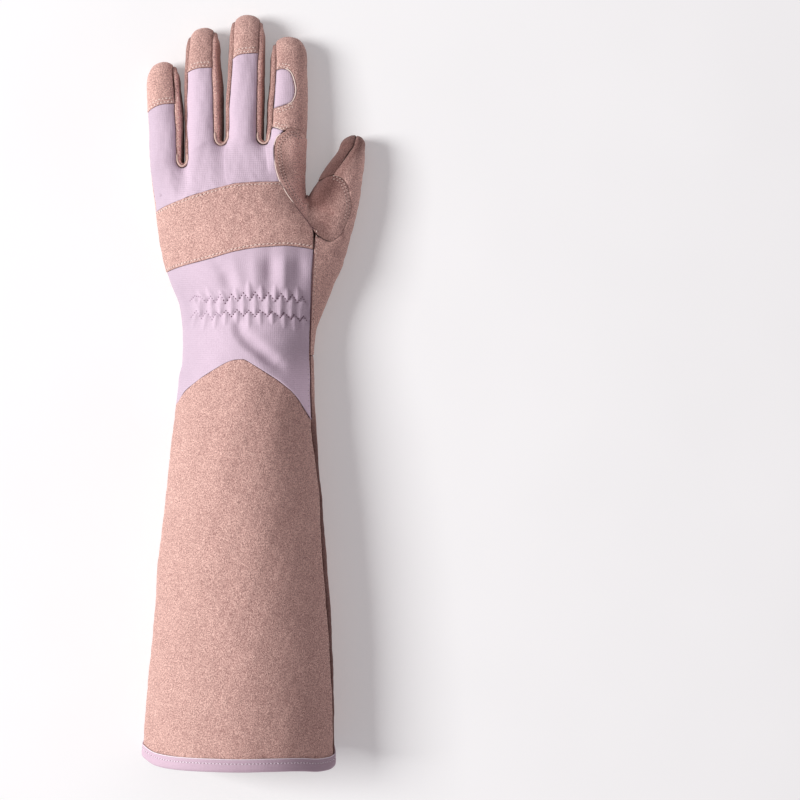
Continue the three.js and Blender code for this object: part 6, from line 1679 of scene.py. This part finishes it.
spec = [[list(map(float, p)) for p in row] for row in spec]
dense, tt = smooth_rows(spec, 76)
up_rows, down_rows = [], []
for (B, M, Q), t in zip(dense, tt):
    low_ = M[1] <= SPLIT_Y
    n = 50
    if t == 0:
        up_rows.append(mb[-1])
        down_rows.append(mc[-1])
        continue
    side = float(BODY["side"](M[1])) if low_ else float(d_edge(TIP, min(M[1], TIP["dome"]))[5])
    f = np.sin(np.pi / 2 * np.arange(n + 1) / n)
    x, y = lerp(B[0], M[0], f), lerp(B[1], M[1], f)
    z = thumb_top(x, y)
    z[-1] = side
    up = np.stack([x, y, z], 1)
    f = (1 - np.cos(np.pi * np.arange(n + 1) / n)) / 2
    x, y = lerp(M[0], Q[0], f), lerp(M[1], Q[1], f)
    yy = np.minimum(y, SPLIT_Y)
    zb = floor_rise(x, BODY["left"](yy), body_right(yy), BODY["side"](yy), body_corner(yy))
    zt = d_floor(TIP, x, y)
    z = lerp(zb, zt, smooth((M[1] - (SPLIT_Y - 2)) / 4))
    z[0] = side
    if t <= 4.02:
        zq = float(web_under(lerp(8.5, 16, min(1.0, t / 4)))[2])
        z = lerp(z, np.maximum(z, zq * f ** 3), smooth((f - 0.6) / 0.4))
    down = np.stack([x, y, z], 1)
    L = lengths(down)[-1]
    up_rows.append(along(up, G["n_back_b"]) if lengths(up)[-1] > 0.3 else np.repeat(up[-1:], len(G["n_back_b"]), 0) + np.linspace(0, 1, len(G["n_back_b"]))[:, None] * 1e-4)
    gap = (0.25 + 0.35 * smooth((t - 3.5) / 1.0)) / max(L, 1)
    down_rows.append(along(down, split_fr * (1 - gap * smooth(t / 0.5))))
palm.grid(np.array(up_rows).transpose(1, 0, 2))
palm.grid(np.array(down_rows).transpose(1, 0, 2))


# finger fronts
def rho_in(d):
    return PALM_RHO - half / float(d_edge(d, d["dome"])[3])


def front(d, c, r, base_r, base_l):
    k, u = rho_in(d), 1 - 2 * c
    y0 = lerp(base_r, base_l, c)
    end = d["dome"] + k * (d["tip"] - d["dome"]) * np.maximum(0, 1 - np.abs(u) ** d["outline"]) ** (1 / d["outline"])
    y = lerp(y0, end, r)
    _, _, mid, hw, _, _, _ = d_edge(d, np.minimum(y, d["dome"]))
    x = mid + k * hw * u + d["lean"] * np.maximum(0, y - d["dome"])
    return np.stack([x, y, d_floor(d, x, y)], -1)


rows_f = np.concatenate([np.linspace(0, 0.86, 34), [0.9, 0.93, 0.955, 0.975, 0.99, 1.0]])
cols_f = np.array([0, 0.03, 0.08, 0.16, 0.26, 0.38, 0.5, 0.62, 0.74, 0.84, 0.92, 0.97, 1.0])
k_line = []
for k, (d, R_, L_) in enumerate(((INDEX, 151.6, 151.6), (MIDDLE, 152.3, 153.3), (RING, 152.3, 139.5), (PINKY, 139.5, 139.5))):
    C, R = np.meshgrid(cols_f, rows_f, indexing="ij")
    g = front(d, C, R, R_, L_)
    if k == 0:
        q = web_under(0.6)
        g[0, 0] = [q[0] - 0.15, 151.6, q[2]]
    palm.grid(g)
    k_line += list(g[:, 0])
    if k < 3:
        for i in range(1, 8):
            u = 1 - i / 8
            p = crotch_line(2 - k, u)[-1].copy()
            p[0] -= half * math.cos(math.pi * u)
            p[1] -= half * math.sin(math.pi * u)
            p[2] *= 0.9
            k_line.append(p)
pinky_front = g
v_wrap = np.linspace(0, 1, 15)
wrap = []
for j, r in enumerate(rows_f):
    y = lerp(139.5, PINKY["dome"] - 0.25, r)
    ln = side_line(PINKY, "left", y)
    L = lengths(ln)[-1]
    pts = along(ln, np.clip(1 - v_wrap, (half + 0.02) / L, 1 - half / L))
    pts[0] = pinky_front[-1, j]
    wrap.append(pts)
wrap = np.array(wrap)
palm.grid(wrap.transpose(1, 0, 2))
# hand floor between the split row and the finger bases
k_line = np.array(k_line)
nK = len(k_line)
full_k = np.concatenate([k_line, wrap[0][1:]])
t_right = pchip([0, 1 / 3, 2 / 3, 1], [6.4, 4.4, 2.4, 0.6])
yK = 139.5
endK = float(seam_left_s(yK)) + half
a_k = lerp(floor_s(float(BODY["left"](yK)) + 3.6, yK), endK, v_wrap)
body_k = P(a_k, np.full(len(a_k), yK))
rows_h = []
for r in np.linspace(0, 1, 22):
    if r == 1:
        rows_h.append(full_k)
        continue
    q = web_under(float(t_right(r)))
    yL = lerp(118.5, yK, r)
    fade = float(smooth(1 - (yK - yL) / FINGER_DROP))
    a_w = lerp(floor_s(float(BODY["left"](yL)) + 3.6, yL), float(seam_left_s(yL)) + half, v_wrap)
    wb_ = P(a_w, np.full(len(a_w), yL))
    wr_ = wb_ + (wrap[0] - body_k) * fade
    f = (k_line[0, 0] - k_line[:, 0]) / (k_line[0, 0] - k_line[-1, 0])
    x0, y0_ = lerp(q[0] - 0.3, wr_[0, 0], f), lerp(q[1], yL, f)
    wr2 = 0.9 * r + 0.1 * r ** 4
    x, y = lerp(x0, k_line[:, 0], wr2), lerp(y0_, k_line[:, 1], r ** 2.2)
    yy = np.maximum(119, y)
    z = floor_rise(x, BODY["left"](yy), BODY["right"](yy), BODY["side"](yy), 8.0)
    z = lerp(z, k_line[:, 2], r ** 3)
    row = np.stack([x, y, z], 1)
    row[0] = [q[0] - 0.3, q[1] - 0.3 * (1 - r), q[2]]
    row[1:4, 2] = lerp(row[0, 2], row[4, 2], np.array([0.35, 0.65, 0.85]))
    row[-1] = wr_[0]
    rows_h.append(np.concatenate([row, wr_[1:]]))
palm.grid(np.array(rows_h).transpose(1, 0, 2))
palm.zip(md[-1], rows_h[0])
def palm_wear(v, dist):
    """Only the thumb's back has a tone of its own."""
    x, y, z = v.T
    on = smooth((x - 38) / 4) * smooth((y - 100) / 6) * smooth((z - 5) / 4)
    w = thumb_across(x, y)
    return lerp(lerp(1.0, 1.12, smooth((z - 5) / 4)), lerp(0.46, 1.22, smooth((w - 0.5) / 9.5)), on)


def palm_edge(p):
    x, y, z = (float(q) for q in p)
    if x > 38 and y > 127 and z > 9:
        return lerp(0.04, 0.42, float(smooth((y - 130) / 12))), 0.7, None
    if x > 40 and y > 88:
        out = float(smooth((x - 43) / 6))
        return lerp(0.35, 0.04, out), lerp(0.6, 0.4, out), 0.10
    return None


piece("palm_panel", palm, MAT_SUEDE, wall=1.2, roll=0.65, width=1.1, extra=noise_of(0.16, 0.08, 101), edge=palm_edge, wear=palm_wear)


# ------------------------------------------------------------------ binding folded over the open cuff edge
def past_x(a, y):
    q = a + total(y) if a < 0 else a
    if q <= left_at(y) or q >= right_at(y):
        return float(P(q, y)[..., 0])
    return float(BODY["left"](y) - (q - left_at(y))) if q < (left_at(y) + right_at(y)) / 2 else float(body_right(np.array(y)) + (right_at(y) - q))


def binding():
    clear, sheet_, wall = 0.10, 0.75, 1.3
    out, inn = clear + sheet_, -(wall + clear)
    inner = inn - sheet_
    W = BINDING_WIDTH
    prof = [(W, clear + 0.05), (W + 0.12, out * 0.55), (W - 0.05, out), (W - 0.9, out + 0.10), (W - 1.9, out + 0.02), (W - 2.5, out - 0.22), (W - 3.1, out + 0.02), (W - 4.2, out + 0.16),
            (3.0, out + 0.16), (1.8, out + 0.08), (0.9, out - 0.10), (0.3, out - 0.5), (0.0, (out + inner) / 2 + 0.45), (-0.05, (out + inner) / 2), (0.0, (out + inner) / 2 - 0.45), (0.3, inner + 0.5), (1.2, inner),
            (4.0, inner), (W, inner), (W, inn), (4.0, inn), (0.9, inn), (0.9, clear), (4.0, clear)]
    prof = np.array(prof)
    n = 230
    A = []
    for i in range(n):
        u = i / n
        A.append(u)
    rings, fns = [], []
    for u in A:
        def a_of(y, u=u):
            sl, sr = float(seam_left_s(y)), float(seam_right_s(y))
            T_ = float(total(y))
            return lerp(sl, sl - T_, u)
        y = -214.0
        for _ in range(5):
            y = float(HEM(past_x(a_of(y) % float(total(y)) if a_of(y) < 0 else a_of(y), y)))
        rings.append(y)
        fns.append(a_of)
    rings = np.array(rings)
    # even out the edge a little, as a folded strip lies
    k = np.array([0.25, 0.5, 0.25])
    for _ in range(2):
        rings = np.convolve(np.concatenate([rings[-1:], rings, rings[:1]]), k, mode="valid")
    hs = prof[:, 0]
    pts = np.array([[P(f(y + h), y + h) for h in hs] for f, y in zip(fns, rings)])
    q0, q1 = np.roll(pts, 1, 0), np.roll(pts, -1, 0)
    N = np.cross(q1 - q0, np.array([0, 1.0, 0]))
    N /= np.linalg.norm(N, axis=2, keepdims=True)
    mid = pts.mean(axis=(0, 1))
    if ((pts - mid) * N).sum(axis=2).mean() < 0:
        N = -N
    rng = np.random.default_rng(5)
    u = np.arange(n) / n
    puff = 0.02 * np.sin(2 * np.pi * u * 31 + 1) + 0.03 * np.sin(2 * np.pi * u * 17 + 2) + 0.03 * np.sin(2 * np.pi * u * 7)
    outer = (prof[:, 1] > 0.3)[None, :]
    p = pts + N * (prof[:, 1][None, :, None] + np.where(outer, puff[:, None], 0)[..., None])
    p[..., 2] = np.maximum(p[..., 2], 0.03)
    m = len(prof)
    v = p.reshape(-1, 3)
    faces = []
    for i in range(n):
        for j in range(m):
            a, b, c_, e = i * m + j, ((i + 1) % n) * m + j, ((i + 1) % n) * m + (j + 1) % m, i * m + (j + 1) % m
            faces.append([a, b, c_, e])
    v_out = v + SHIFT
    me = bpy.data.meshes.new("cuff_binding")
    me.from_pydata((v_out * MM).tolist(), [], faces)
    me.update()
    import bmesh
    bm = bmesh.new()
    bm.from_mesh(me)
    bmesh.ops.recalc_face_normals(bm, faces=bm.faces)
    bm.to_mesh(me)
    bm.free()
    me.polygons.foreach_set("use_smooth", [True] * len(me.polygons))
    o = bpy.data.objects.new("cuff_binding", me)
    bpy.context.scene.collection.objects.link(o)
    me.materials.append(MAT_BIND)
    me.attributes.new("wear", "FLOAT", "POINT").data.foreach_set("value", lerp(1.0, 0.80, smooth((v[:, 0] - 5) / 35)).astype(np.float32))
    uv = me.uv_layers.new(name="weave")
    co = np.empty(len(me.vertices) * 3)
    me.vertices.foreach_get("co", co)
    ring_len = np.linalg.norm(q1 - pts, axis=2)[:, 0].cumsum()
    s_of = np.repeat(ring_len, m)
    h_of = np.tile(hs, n)
    idx = np.empty(len(me.loops), dtype=np.int32)
    me.loops.foreach_get("vertex_index", idx)
    uv.data.foreach_set("uv", np.stack([s_of[idx], h_of[idx]], 1).ravel())
    made["cuff_binding"] = o
    outer_faces.append((v, faces))
    return p, N


BIND_PTS, BIND_OUT = binding()


# ------------------------------------------------------------------ stitching and piping
def skin_tree():
    pts, polys, n0 = [], [], 0
    for v, faces in outer_faces:
        pts.append(v)
        polys += [[i + n0 for i in r] for r in faces]
        n0 += len(v)
    return BVHTree.FromPolygons(np.concatenate(pts).tolist(), polys)


TREE = skin_tree()


def drop(pts):
    """Points on the skin under points of the plan."""
    out, nrm = [], []
    for x, y in pts:
        hit, n, _, _ = TREE.ray_cast(Vector((float(x), float(y), 90.0)), Vector((0, 0, -1)))
        if hit is None or n.z < 0.12:
            out.append((np.nan,) * 3)
            nrm.append((0, 0, 1))
        else:
            out.append(tuple(hit))
            nrm.append(tuple(n))
    return np.array(out), np.array(nrm)


def nearest(pts):
    out, nrm = [], []
    for p in pts:
        hit, n, _, d = TREE.find_nearest(Vector([float(q) for q in p]), 3.0)
        out.append(tuple(hit) if hit is not None else (np.nan,) * 3)
        nrm.append(tuple(n) if hit is not None else (0, 0, 1))
    return np.array(out), np.array(nrm)


def evenly(curve, pitch, start=0.0):
    """Points at even steps along a curve, with its direction there."""
    curve = np.asarray(curve, float)
    s = np.concatenate([[0], np.cumsum(np.linalg.norm(np.diff(curve, axis=0), axis=1))])
    at = np.arange(start, s[-1] - 0.2, pitch)
    f = lambda q: np.stack([np.interp(q, s, curve[:, k]) for k in range(curve.shape[1])], 1)
    p, d = f(at), f(np.minimum(at + 0.3, s[-1])) - f(np.maximum(at - 0.3, 0))
    return p, d / np.maximum(np.linalg.norm(d, axis=1, keepdims=True), 1e-9)


def offset(curve, k):
    """A plan curve moved to its left by k."""
    curve = np.asarray(curve, float)
    d = np.gradient(curve, axis=0)
    d /= np.maximum(np.linalg.norm(d, axis=1, keepdims=True), 1e-9)
    return curve + k * np.stack([-d[:, 1], d[:, 0]], 1)


def capsule(length, radius, sides=6, rings=5, flat=0.7, sink=0.0):
    """One stitch along x, with rounded ends that dip into the cloth."""
    v, f = [], []
    for i in range(rings + 1):
        u = -1 + 2 * i / rings
        r = radius * math.sqrt(max(0.02, 1 - abs(u) ** 2.6))
        dip = -radius * 0.9 * abs(u) ** 2.2
        for k in range(sides):
            a = 2 * math.pi * k / sides
            v.append((u * length / 2, r * math.cos(a), flat * r * math.sin(a) + dip + sink))
    for i in range(rings):
        for k in range(sides):
            a, b = i * sides + k, i * sides + (k + 1) % sides
            f.append((a, b, b + sides, a + sides))
    f.append(tuple(reversed(range(sides))))
    f.append(tuple(rings * sides + k for k in range(sides)))
    return np.array(v), f


class Thread:
    """Many stitches joined into one mesh."""

    def __init__(self, name, material, length, radius, **kw):
        self.name, self.material = name, material
        self.v, self.f = capsule(length, radius, **kw)
        self.rng = np.random.default_rng(len(name) * 7 + 3)
        self.pts, self.faces, self.count = [], [], 0

    def put(self, p, n, d, turn=0.0, size=1.0, spread=0.10):
        """Stitches at skin points p with normals n, along directions d turned by an angle."""
        ok = np.isfinite(p[:, 0])
        p, n, d = p[ok], n[ok], d[ok]
        if d.shape[1] == 2:
            d = np.concatenate([d, np.zeros((len(d), 1))], 1)
        turn = np.broadcast_to(turn, ok.shape)[ok]
        x = d - n * np.sum(d * n, 1, keepdims=True)
        x /= np.maximum(np.linalg.norm(x, axis=1, keepdims=True), 1e-9)
        y = np.cross(n, x)
        a = turn + self.rng.normal(0, spread, len(p))
        x, y = x * np.cos(a)[:, None] + y * np.sin(a)[:, None], y * np.cos(a)[:, None] - x * np.sin(a)[:, None]
        k = size * self.rng.uniform(0.9, 1.1, len(p))
        V = p[:, None] + (x[:, None] * self.v[None, :, 0:1] + y[:, None] * self.v[None, :, 1:2] + n[:, None] * self.v[None, :, 2:3]) * k[:, None, None]
        m = len(self.v)
        for i in range(len(p)):
            b = (self.count + i) * m
            self.faces += [tuple(q + b for q in f) for f in self.f]
        self.pts.append(V.reshape(-1, 3))
        self.count += len(p)

    def make(self):
        v = (np.concatenate(self.pts) + SHIFT) * MM
        v[:, 2] = np.maximum(v[:, 2], 0.0)
        return mesh_object(self.name, v, self.faces, self.material)


def mesh_object(name, v, faces, material):
    me = bpy.data.meshes.new(name)
    me.from_pydata(v.tolist(), [], faces)
    me.update()
    me.polygons.foreach_set("use_smooth", [True] * len(me.polygons))
    o = bpy.data.objects.new(name, me)
    bpy.context.scene.collection.objects.link(o)
    me.materials.append(material)
    extras[name] = o
    return o


def tube(name, curve, n, radius, material, sides=8, rise=0.0, taper=3):
    """A cord along skin points, lifted along the normals."""
    p = curve + n * rise
    ok = np.isfinite(p[:, 0])
    p, n = p[ok], n[ok]
    for _ in range(3):
        p[1:-1] = (p[:-2] + 2 * p[1:-1] + p[2:]) / 4
    t = np.gradient(p, axis=0)
    t /= np.maximum(np.linalg.norm(t, axis=1, keepdims=True), 1e-9)
    a = n - t * np.sum(n * t, 1, keepdims=True)
    a /= np.maximum(np.linalg.norm(a, axis=1, keepdims=True), 1e-9)
    b = np.cross(t, a)
    i = np.arange(len(p))
    r = radius * np.sqrt(np.clip(np.minimum(i, len(p) - 1 - i) / taper, 0.03, 1))
    v, f = [], []
    for k in range(sides):
        w = 2 * math.pi * k / sides
        v.append(p + (a * math.sin(w) + b * math.cos(w)) * r[:, None])
    v = np.stack(v, 1).reshape(-1, 3)
    for j in range(len(p) - 1):
        for k in range(sides):
            q, w = j * sides + k, j * sides + (k + 1) % sides
            f.append((q, w, w + sides, q + sides))
    f.append(tuple(reversed(range(sides))))
    f.append(tuple((len(p) - 1) * sides + k for k in range(sides)))
    return mesh_object(name, (v + SHIFT) * MM, f, material)


extras = {}
light = Thread("stitches_light", MAT_THREAD, 1.85, 0.33)
small = Thread("stitches_fine", MAT_THREAD, 1.25, 0.21)
holes = Thread("needle_holes", MAT_HOLE, 0.95, 0.33, flat=0.35, rings=4, sink=0.10)
dash = Thread("elastic_stitches", MAT_DASH, 1.15, 0.33, flat=0.7, sink=0.16)
dash_pale = Thread("elastic_stitches_pale", MAT_DASH_PALE, 1.1, 0.30, flat=0.7, sink=0.14)


def sewn_row(curve, pitch, thread_, turn, hole_at=0.5, size=1.0, hole_size=1.0, start=0.6, zig=False, holes_too=True):
    p, d = evenly(curve, pitch, start)
    q, n = drop(p) if p.shape[1] == 2 else nearest(p)
    sign = np.where(np.arange(len(p)) % 2 == 0, 1, -1) if zig else 1
    if thread_ is not None:
        thread_.put(q, n, d, turn * sign, size)
    if holes_too:
        p, d = evenly(curve, pitch, start + pitch * hole_at)
        q, n = drop(p) if p.shape[1] == 2 else nearest(p)
        holes.put(q, n, d, turn, hole_size)


# fingertip caps: two staggered slanting rows over the lower edge
for cap, d in ((CAP_PINKY, PINKY), (CAP_RING, RING), (CAP_MIDDLE, MIDDLE)):
    y = float(cap(0.5 * (d["left"](190) + d["right"](190))))
    xs = np.linspace(float(d_seam(d, "left", y)) + 0.9, float(d_seam(d, "right", y)) - 0.9, 40)
    for k, (dy, st) in enumerate(((1.25, 0.4), (3.35, 1.4))):
        c = np.stack([xs, cap(xs) + dy], 1)
        sewn_row(c, 2.1, light, 0.55, 0.5, 0.92, 0.55, st, zig=True)

# strap and opening of the index finger
for cc in ((1, 1.15, 0.5), (1, 2.9, 1.4)):
    side, off, st = cc
    a = opening_part(0, 2, 30, off)
    a = a[a[:, 0] > float(INDEX["seamL"](171)) + 0.8]
    sewn_row(a, 1.95, light, 0.5, 0.5, 0.88, 0.5, st, zig=True)
    b = opening_part(5, 7, 30, off)[::-1]
    b = b[b[:, 0] > float(INDEX["seamL"](193)) + 0.8]
    sewn_row(b, 1.95, light, 0.5, 0.5, 0.88, 0.5, st, zig=True)
    xs = np.linspace(11.8, 20.5, 30)
    sewn_row(np.stack([xs, INDEX_LOW(xs) + off + 0.1], 1), 1.95, light, 0.5, 0.5, 0.88, 0.5, st, zig=True)

# band: one row inside each long edge
for lo_, hi_, start in ((BAND_BOTTOM, BAND_TOP, 0.6),):
    band = strip(lo_, hi_, band_right_s)
    cs = np.linspace(0.004, 0.992, 160)
    for r in (1.55 / 38, 1 - 1.55 / 38):
        curve = band(cs, np.full(160, r))
        curve = curve[curve[:, 2] > 4.0]
        sewn_row(curve, 2.35, light, 0.35, 0.5, 1.0, 0.8, 0.7)

# web patch: double row of sunk stitches inside its edge, round the scalloped end
fr = np.linspace(0, 7.6, 120)
edge_w = web_at(fr)[0]
scal = np.stack([np.linspace(30.2, 18.6, 40), SCALLOP(np.linspace(30.2, 18.6, 40))], 1)
outline_w = np.concatenate([scal, edge_w[3:]])
for _ in range(4):
    outline_w[1:-1] = (outline_w[:-2] + outline_w[1:-1] * 2 + outline_w[2:]) / 4
for k, (off, st) in enumerate(((2.5, 0.4), (4.2, 1.3))):
    c = offset(outline_w, off)
    c = c[(c[:, 0] < 29.8)]
    keep = np.ones(len(c), bool)
    c = c[keep]
    p, d = evenly(c, 1.85, st)
    q, n = drop(p)
    holes.put(q, n, d, 0.45, 0.95)
    p, d = evenly(c, 1.85, st + 0.9)
    q, n = drop(p)
    small.put(q, n, d, 0.45, 0.8)

# thumb: double curved row over its base
arc = curve_through(np.array([(46.6, 130.6), (52.2, 127.8), (55.4, 122.6), (57.2, 116.8), (57.6, 109.8), (55.9, 102.6)]), 60)
for off, st in ((0.9, 0.3), (2.6, 1.2)):
    c = offset(arc, -off)
    p, d = evenly(c, 2.0, st)
    q, n = drop(p)
    holes.put(q, n, d, 0.5, 0.8)
    p, d = evenly(c, 2.0, st + 1.0)
    q, n = drop(p)
    small.put(q, n, d, 0.5, 0.85)

# palm seam beside the band and wrist, and the gauntlet's seam
ys_ = np.linspace(28, 98, 160)
c = np.stack([RIGHT_SEAM(ys_) + 1.7, ys_], 1)
sewn_row(c, 2.6, small, 0.25, 0.5, 1.0, 0.6, 0.5)
ys_ = np.linspace(-200, 18, 300)
c = P(by_y(top_s(RIGHT_SEAM(YS) - 0.0))(ys_) + 2.1, ys_)
sewn_row(c, 3.1, small, 0.2, 0.5, 0.85, 0.6, 0.5)

# zigzags of the wrist elastic: short dashes along each leg, pale towards the little finger's side
for row in (ZIG_UPPER, ZIG_LOWER):
    z = np.array(row)
    z = z[z[:, 0] > -41]
    d = z[1:] - z[:-1]
    d /= np.linalg.norm(d, axis=1, keepdims=True)
    for t in (0.0, 0.34, 0.67):
        at = z[:-1] + (z[1:] - z[:-1]) * t
        q, n = drop(at)
        for thread_, ok in ((dash, at[:, 0] > -17), (dash_pale, at[:, 0] <= -17)):
            thread_.put(q[ok], n[ok], d[ok], 0.0, 1.0, 0.06)

# binding: one row in the groove below its top edge
c = BIND_PTS[:, 5] + BIND_OUT[:, 5] * 0.25
lip_stitch = Thread("binding_stitches", MAT_LIP, 1.55, 0.30)
sewn_row(np.concatenate([c, c[:1]]), 2.1, lip_stitch, 0.5, 0.5, 1.0, 0.6, 0.5, zig=True)

for t in (light, small, holes, dash, dash_pale, lip_stitch):
    t.make()

# cord-like folded edge of the web patch over the fabric
fr = np.linspace(0.35, 5.9, 130)
q, n = drop(web_at(fr)[0] + np.array([0.10, 0.0]))
tube("piping_web", q, n, 0.34, MAT_EDGE, rise=0.10)
# raw edge of the index opening
a = opening_part(2, 5, 60, 0.28)
ext = opening_part(1, 2, 12, 0.28)[6:]
q, n = drop(np.concatenate([ext, a[1:], opening_part(5, 6, 14, 0.28)[1:8]]))
tube("raw_edge_index", q, n, 0.36, MAT_EDGE, rise=0.12)
# raw edge of the strap over the fabric
xs = np.linspace(11.9, 17.4, 30)
q, n = drop(np.stack([xs, INDEX_LOW(xs) + 0.32], 1))
tube("raw_edge_strap", q, n, 0.30, MAT_EDGE, rise=0.05)
# folded loops at the bottoms of the finger gaps
for k in range(3):
    C = CROTCHES[k]
    A, B = (PINKY, RING, MIDDLE)[k], (RING, MIDDLE, INDEX)[k]
    pts = [side_line(A, "right", C["leftY"] + 3.5 - 0.5 * i)[0] for i in range(7)]
    pts += [crotch_line(k, i / 16)[0] for i in range(17)]
    pts += [side_line(B, "left", C["rightY"] + 0.5 * i)[0] for i in range(1, 8)]
    pts = np.array(pts)
    cx = (pts[0, 0] + pts[-1, 0]) / 2
    inward = np.stack([np.sign(cx - pts[:, 0]) * np.minimum(1, np.abs(cx - pts[:, 0]) / 1.5), np.where(pts[:, 1] < C["leftY"], 0.8, 0.0), np.zeros(len(pts))], 1)
    q, n = nearest(pts + inward * 0.45)
    tube("finger_gap_edge_%d" % k, q, n, 0.62, MAT_LOOP, rise=0.12)

# the binding's upper fold catches the light
c, n = BIND_PTS[:, 2], BIND_OUT[:, 2]
ok = (n[:, 2] > 0.15) & (c[:, 2] > 22)
order = np.argsort(c[ok][:, 0])
tube("binding_fold", c[ok][order], n[ok][order], 0.30, MAT_LIP, rise=-0.02)

# the thin dark line on from the piping, down to the thumb's seam
fr = np.linspace(6.0, 9.6, 70)
q, n = drop(np.array([web_at(float(t))[0] for t in fr]) + np.array([-0.12, 0.0]))
tube("seam_depth_thumb", q, n, 0.24, MAT_SEAM, rise=-0.02)

# turned-in allowance behind the gauntlet's two long seams
ys_ = np.linspace(-207, 2, 150)
for side, a_of in (("left", by_y(seam_left_s(YS))), ("right", by_y(seam_right_s(YS)))):
    q, n = nearest(P(a_of(ys_), ys_))
    tube("seam_allowance_" + side, q, n, 0.62, MAT_INNER, rise=-0.95)

# folded end of the side seam at the little fingertip, in the slot between its cap and the palm
side_end = curve_through(np.array([(-62.6, 2.3), (-63.3, 3.3), (-63.8, 4.4), (-64.15, 5.6), (-64.3, 6.9), (-64.35, 8.2), (-64.3, 9.6)]), 30)
k = len(side_end)
q = np.stack([side_end[:, 0], np.full(k, 179.95), side_end[:, 1]], 1) - SHIFT
n = np.stack([-np.ones(k), np.zeros(k), np.linspace(-0.7, 0.1, k)], 1)
tube("seam_end_pinky", q, n / np.linalg.norm(n, axis=1, keepdims=True), 1.3, MAT_LOOP, sides=16, rise=-1.4, taper=2)

# the dark depth of the seam on the thumb's side of the wrist
ys_ = np.linspace(-14.5, 84, 200)
q, n = drop(np.stack([RIGHT_SEAM(ys_) + 0.30, ys_], 1))
tube("seam_depth_wrist", q, n, 0.34, MAT_SEAM, rise=0.0)


# ------------------------------------------------------------------ the frame, floor, light and camera
NODES = {
    "hand_back": "lavender_fabric", "index_window": "lavender_fabric", "wrist_panel": "lavender_fabric",
    "pinky_cap": "suede", "ring_cap": "suede", "middle_cap": "suede", "index_panel": "suede", "thumb_web_patch": "suede",
    "thumb_inner": "suede", "knuckle_band": "suede", "gauntlet_back": "suede", "gauntlet_palm": "suede", "palm_panel": "suede",
    "fourchette_pinky_ring": "suede", "fourchette_ring_middle": "suede", "fourchette_middle_index": "suede", "cuff_binding": "binding"}
for name, o in made.items():
    if name in NODES:
        o.name = "visual_" + name
        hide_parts(name)
    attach(o, "root")


for name, o in extras.items():
    o.name = "visual_" + name
    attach(o, "root")


def floor_material(nt, bsdf):
    n = noise(nt, coords(nt), 9, 2)
    nt.links.new(ramp(nt, n, [(0.3, (0.76, 0.76, 0.76)), (0.7, (0.78, 0.78, 0.78))]), bsdf.inputs["Base Color"])
    bsdf.inputs["Emission Color"].default_value = (1, 1, 1, 1)
    bsdf.inputs["Emission Strength"].default_value = 0.22
    bsdf.inputs["Roughness"].default_value = 0.9
    bsdf.inputs["Specular IOR Level"].default_value = 0.1


bpy.ops.mesh.primitive_plane_add(size=8, location=(0, 0, 0))
floor = bpy.context.object
floor.name = "floor"
floor.data.materials.append(material("floor", floor_material))


def area(name, place, aim, size, power, colour=(1, 1, 1)):
    d = bpy.data.lights.new(name, "AREA")
    d.shape, d.size, d.energy, d.color = "SQUARE", size, power, colour
    o = bpy.data.objects.new(name, d)
    bpy.context.scene.collection.objects.link(o)
    o.location = place
    o.rotation_euler = (Vector(aim) - Vector(place)).to_track_quat("-Z", "Y").to_euler()
    return o


KEY_AT = Vector((-math.sin(math.radians(53)), 0.06, math.cos(math.radians(53)))) * 3.2
area("key", KEY_AT, (0, 0, 0.02), 1.3, 115)
world = bpy.data.worlds.new("studio")
world.use_nodes = True
world.node_tree.nodes["Background"].inputs["Color"].default_value = (1.0, 0.90, 0.96, 1)
world.node_tree.nodes["Background"].inputs["Strength"].default_value = 0.31
bpy.context.scene.world = world

cam = bpy.data.cameras.new("camera")
cam.lens, cam.sensor_width, cam.clip_start = 82.08, 36.0, 0.05
camera = bpy.data.objects.new("camera", cam)
bpy.context.scene.collection.objects.link(camera)
camera.location = (0.08671, -0.00786, 1.1)
camera.rotation_euler = (0, 0, 0)
bpy.context.scene.camera = camera
bpy.context.scene.view_settings.view_transform = "Standard"
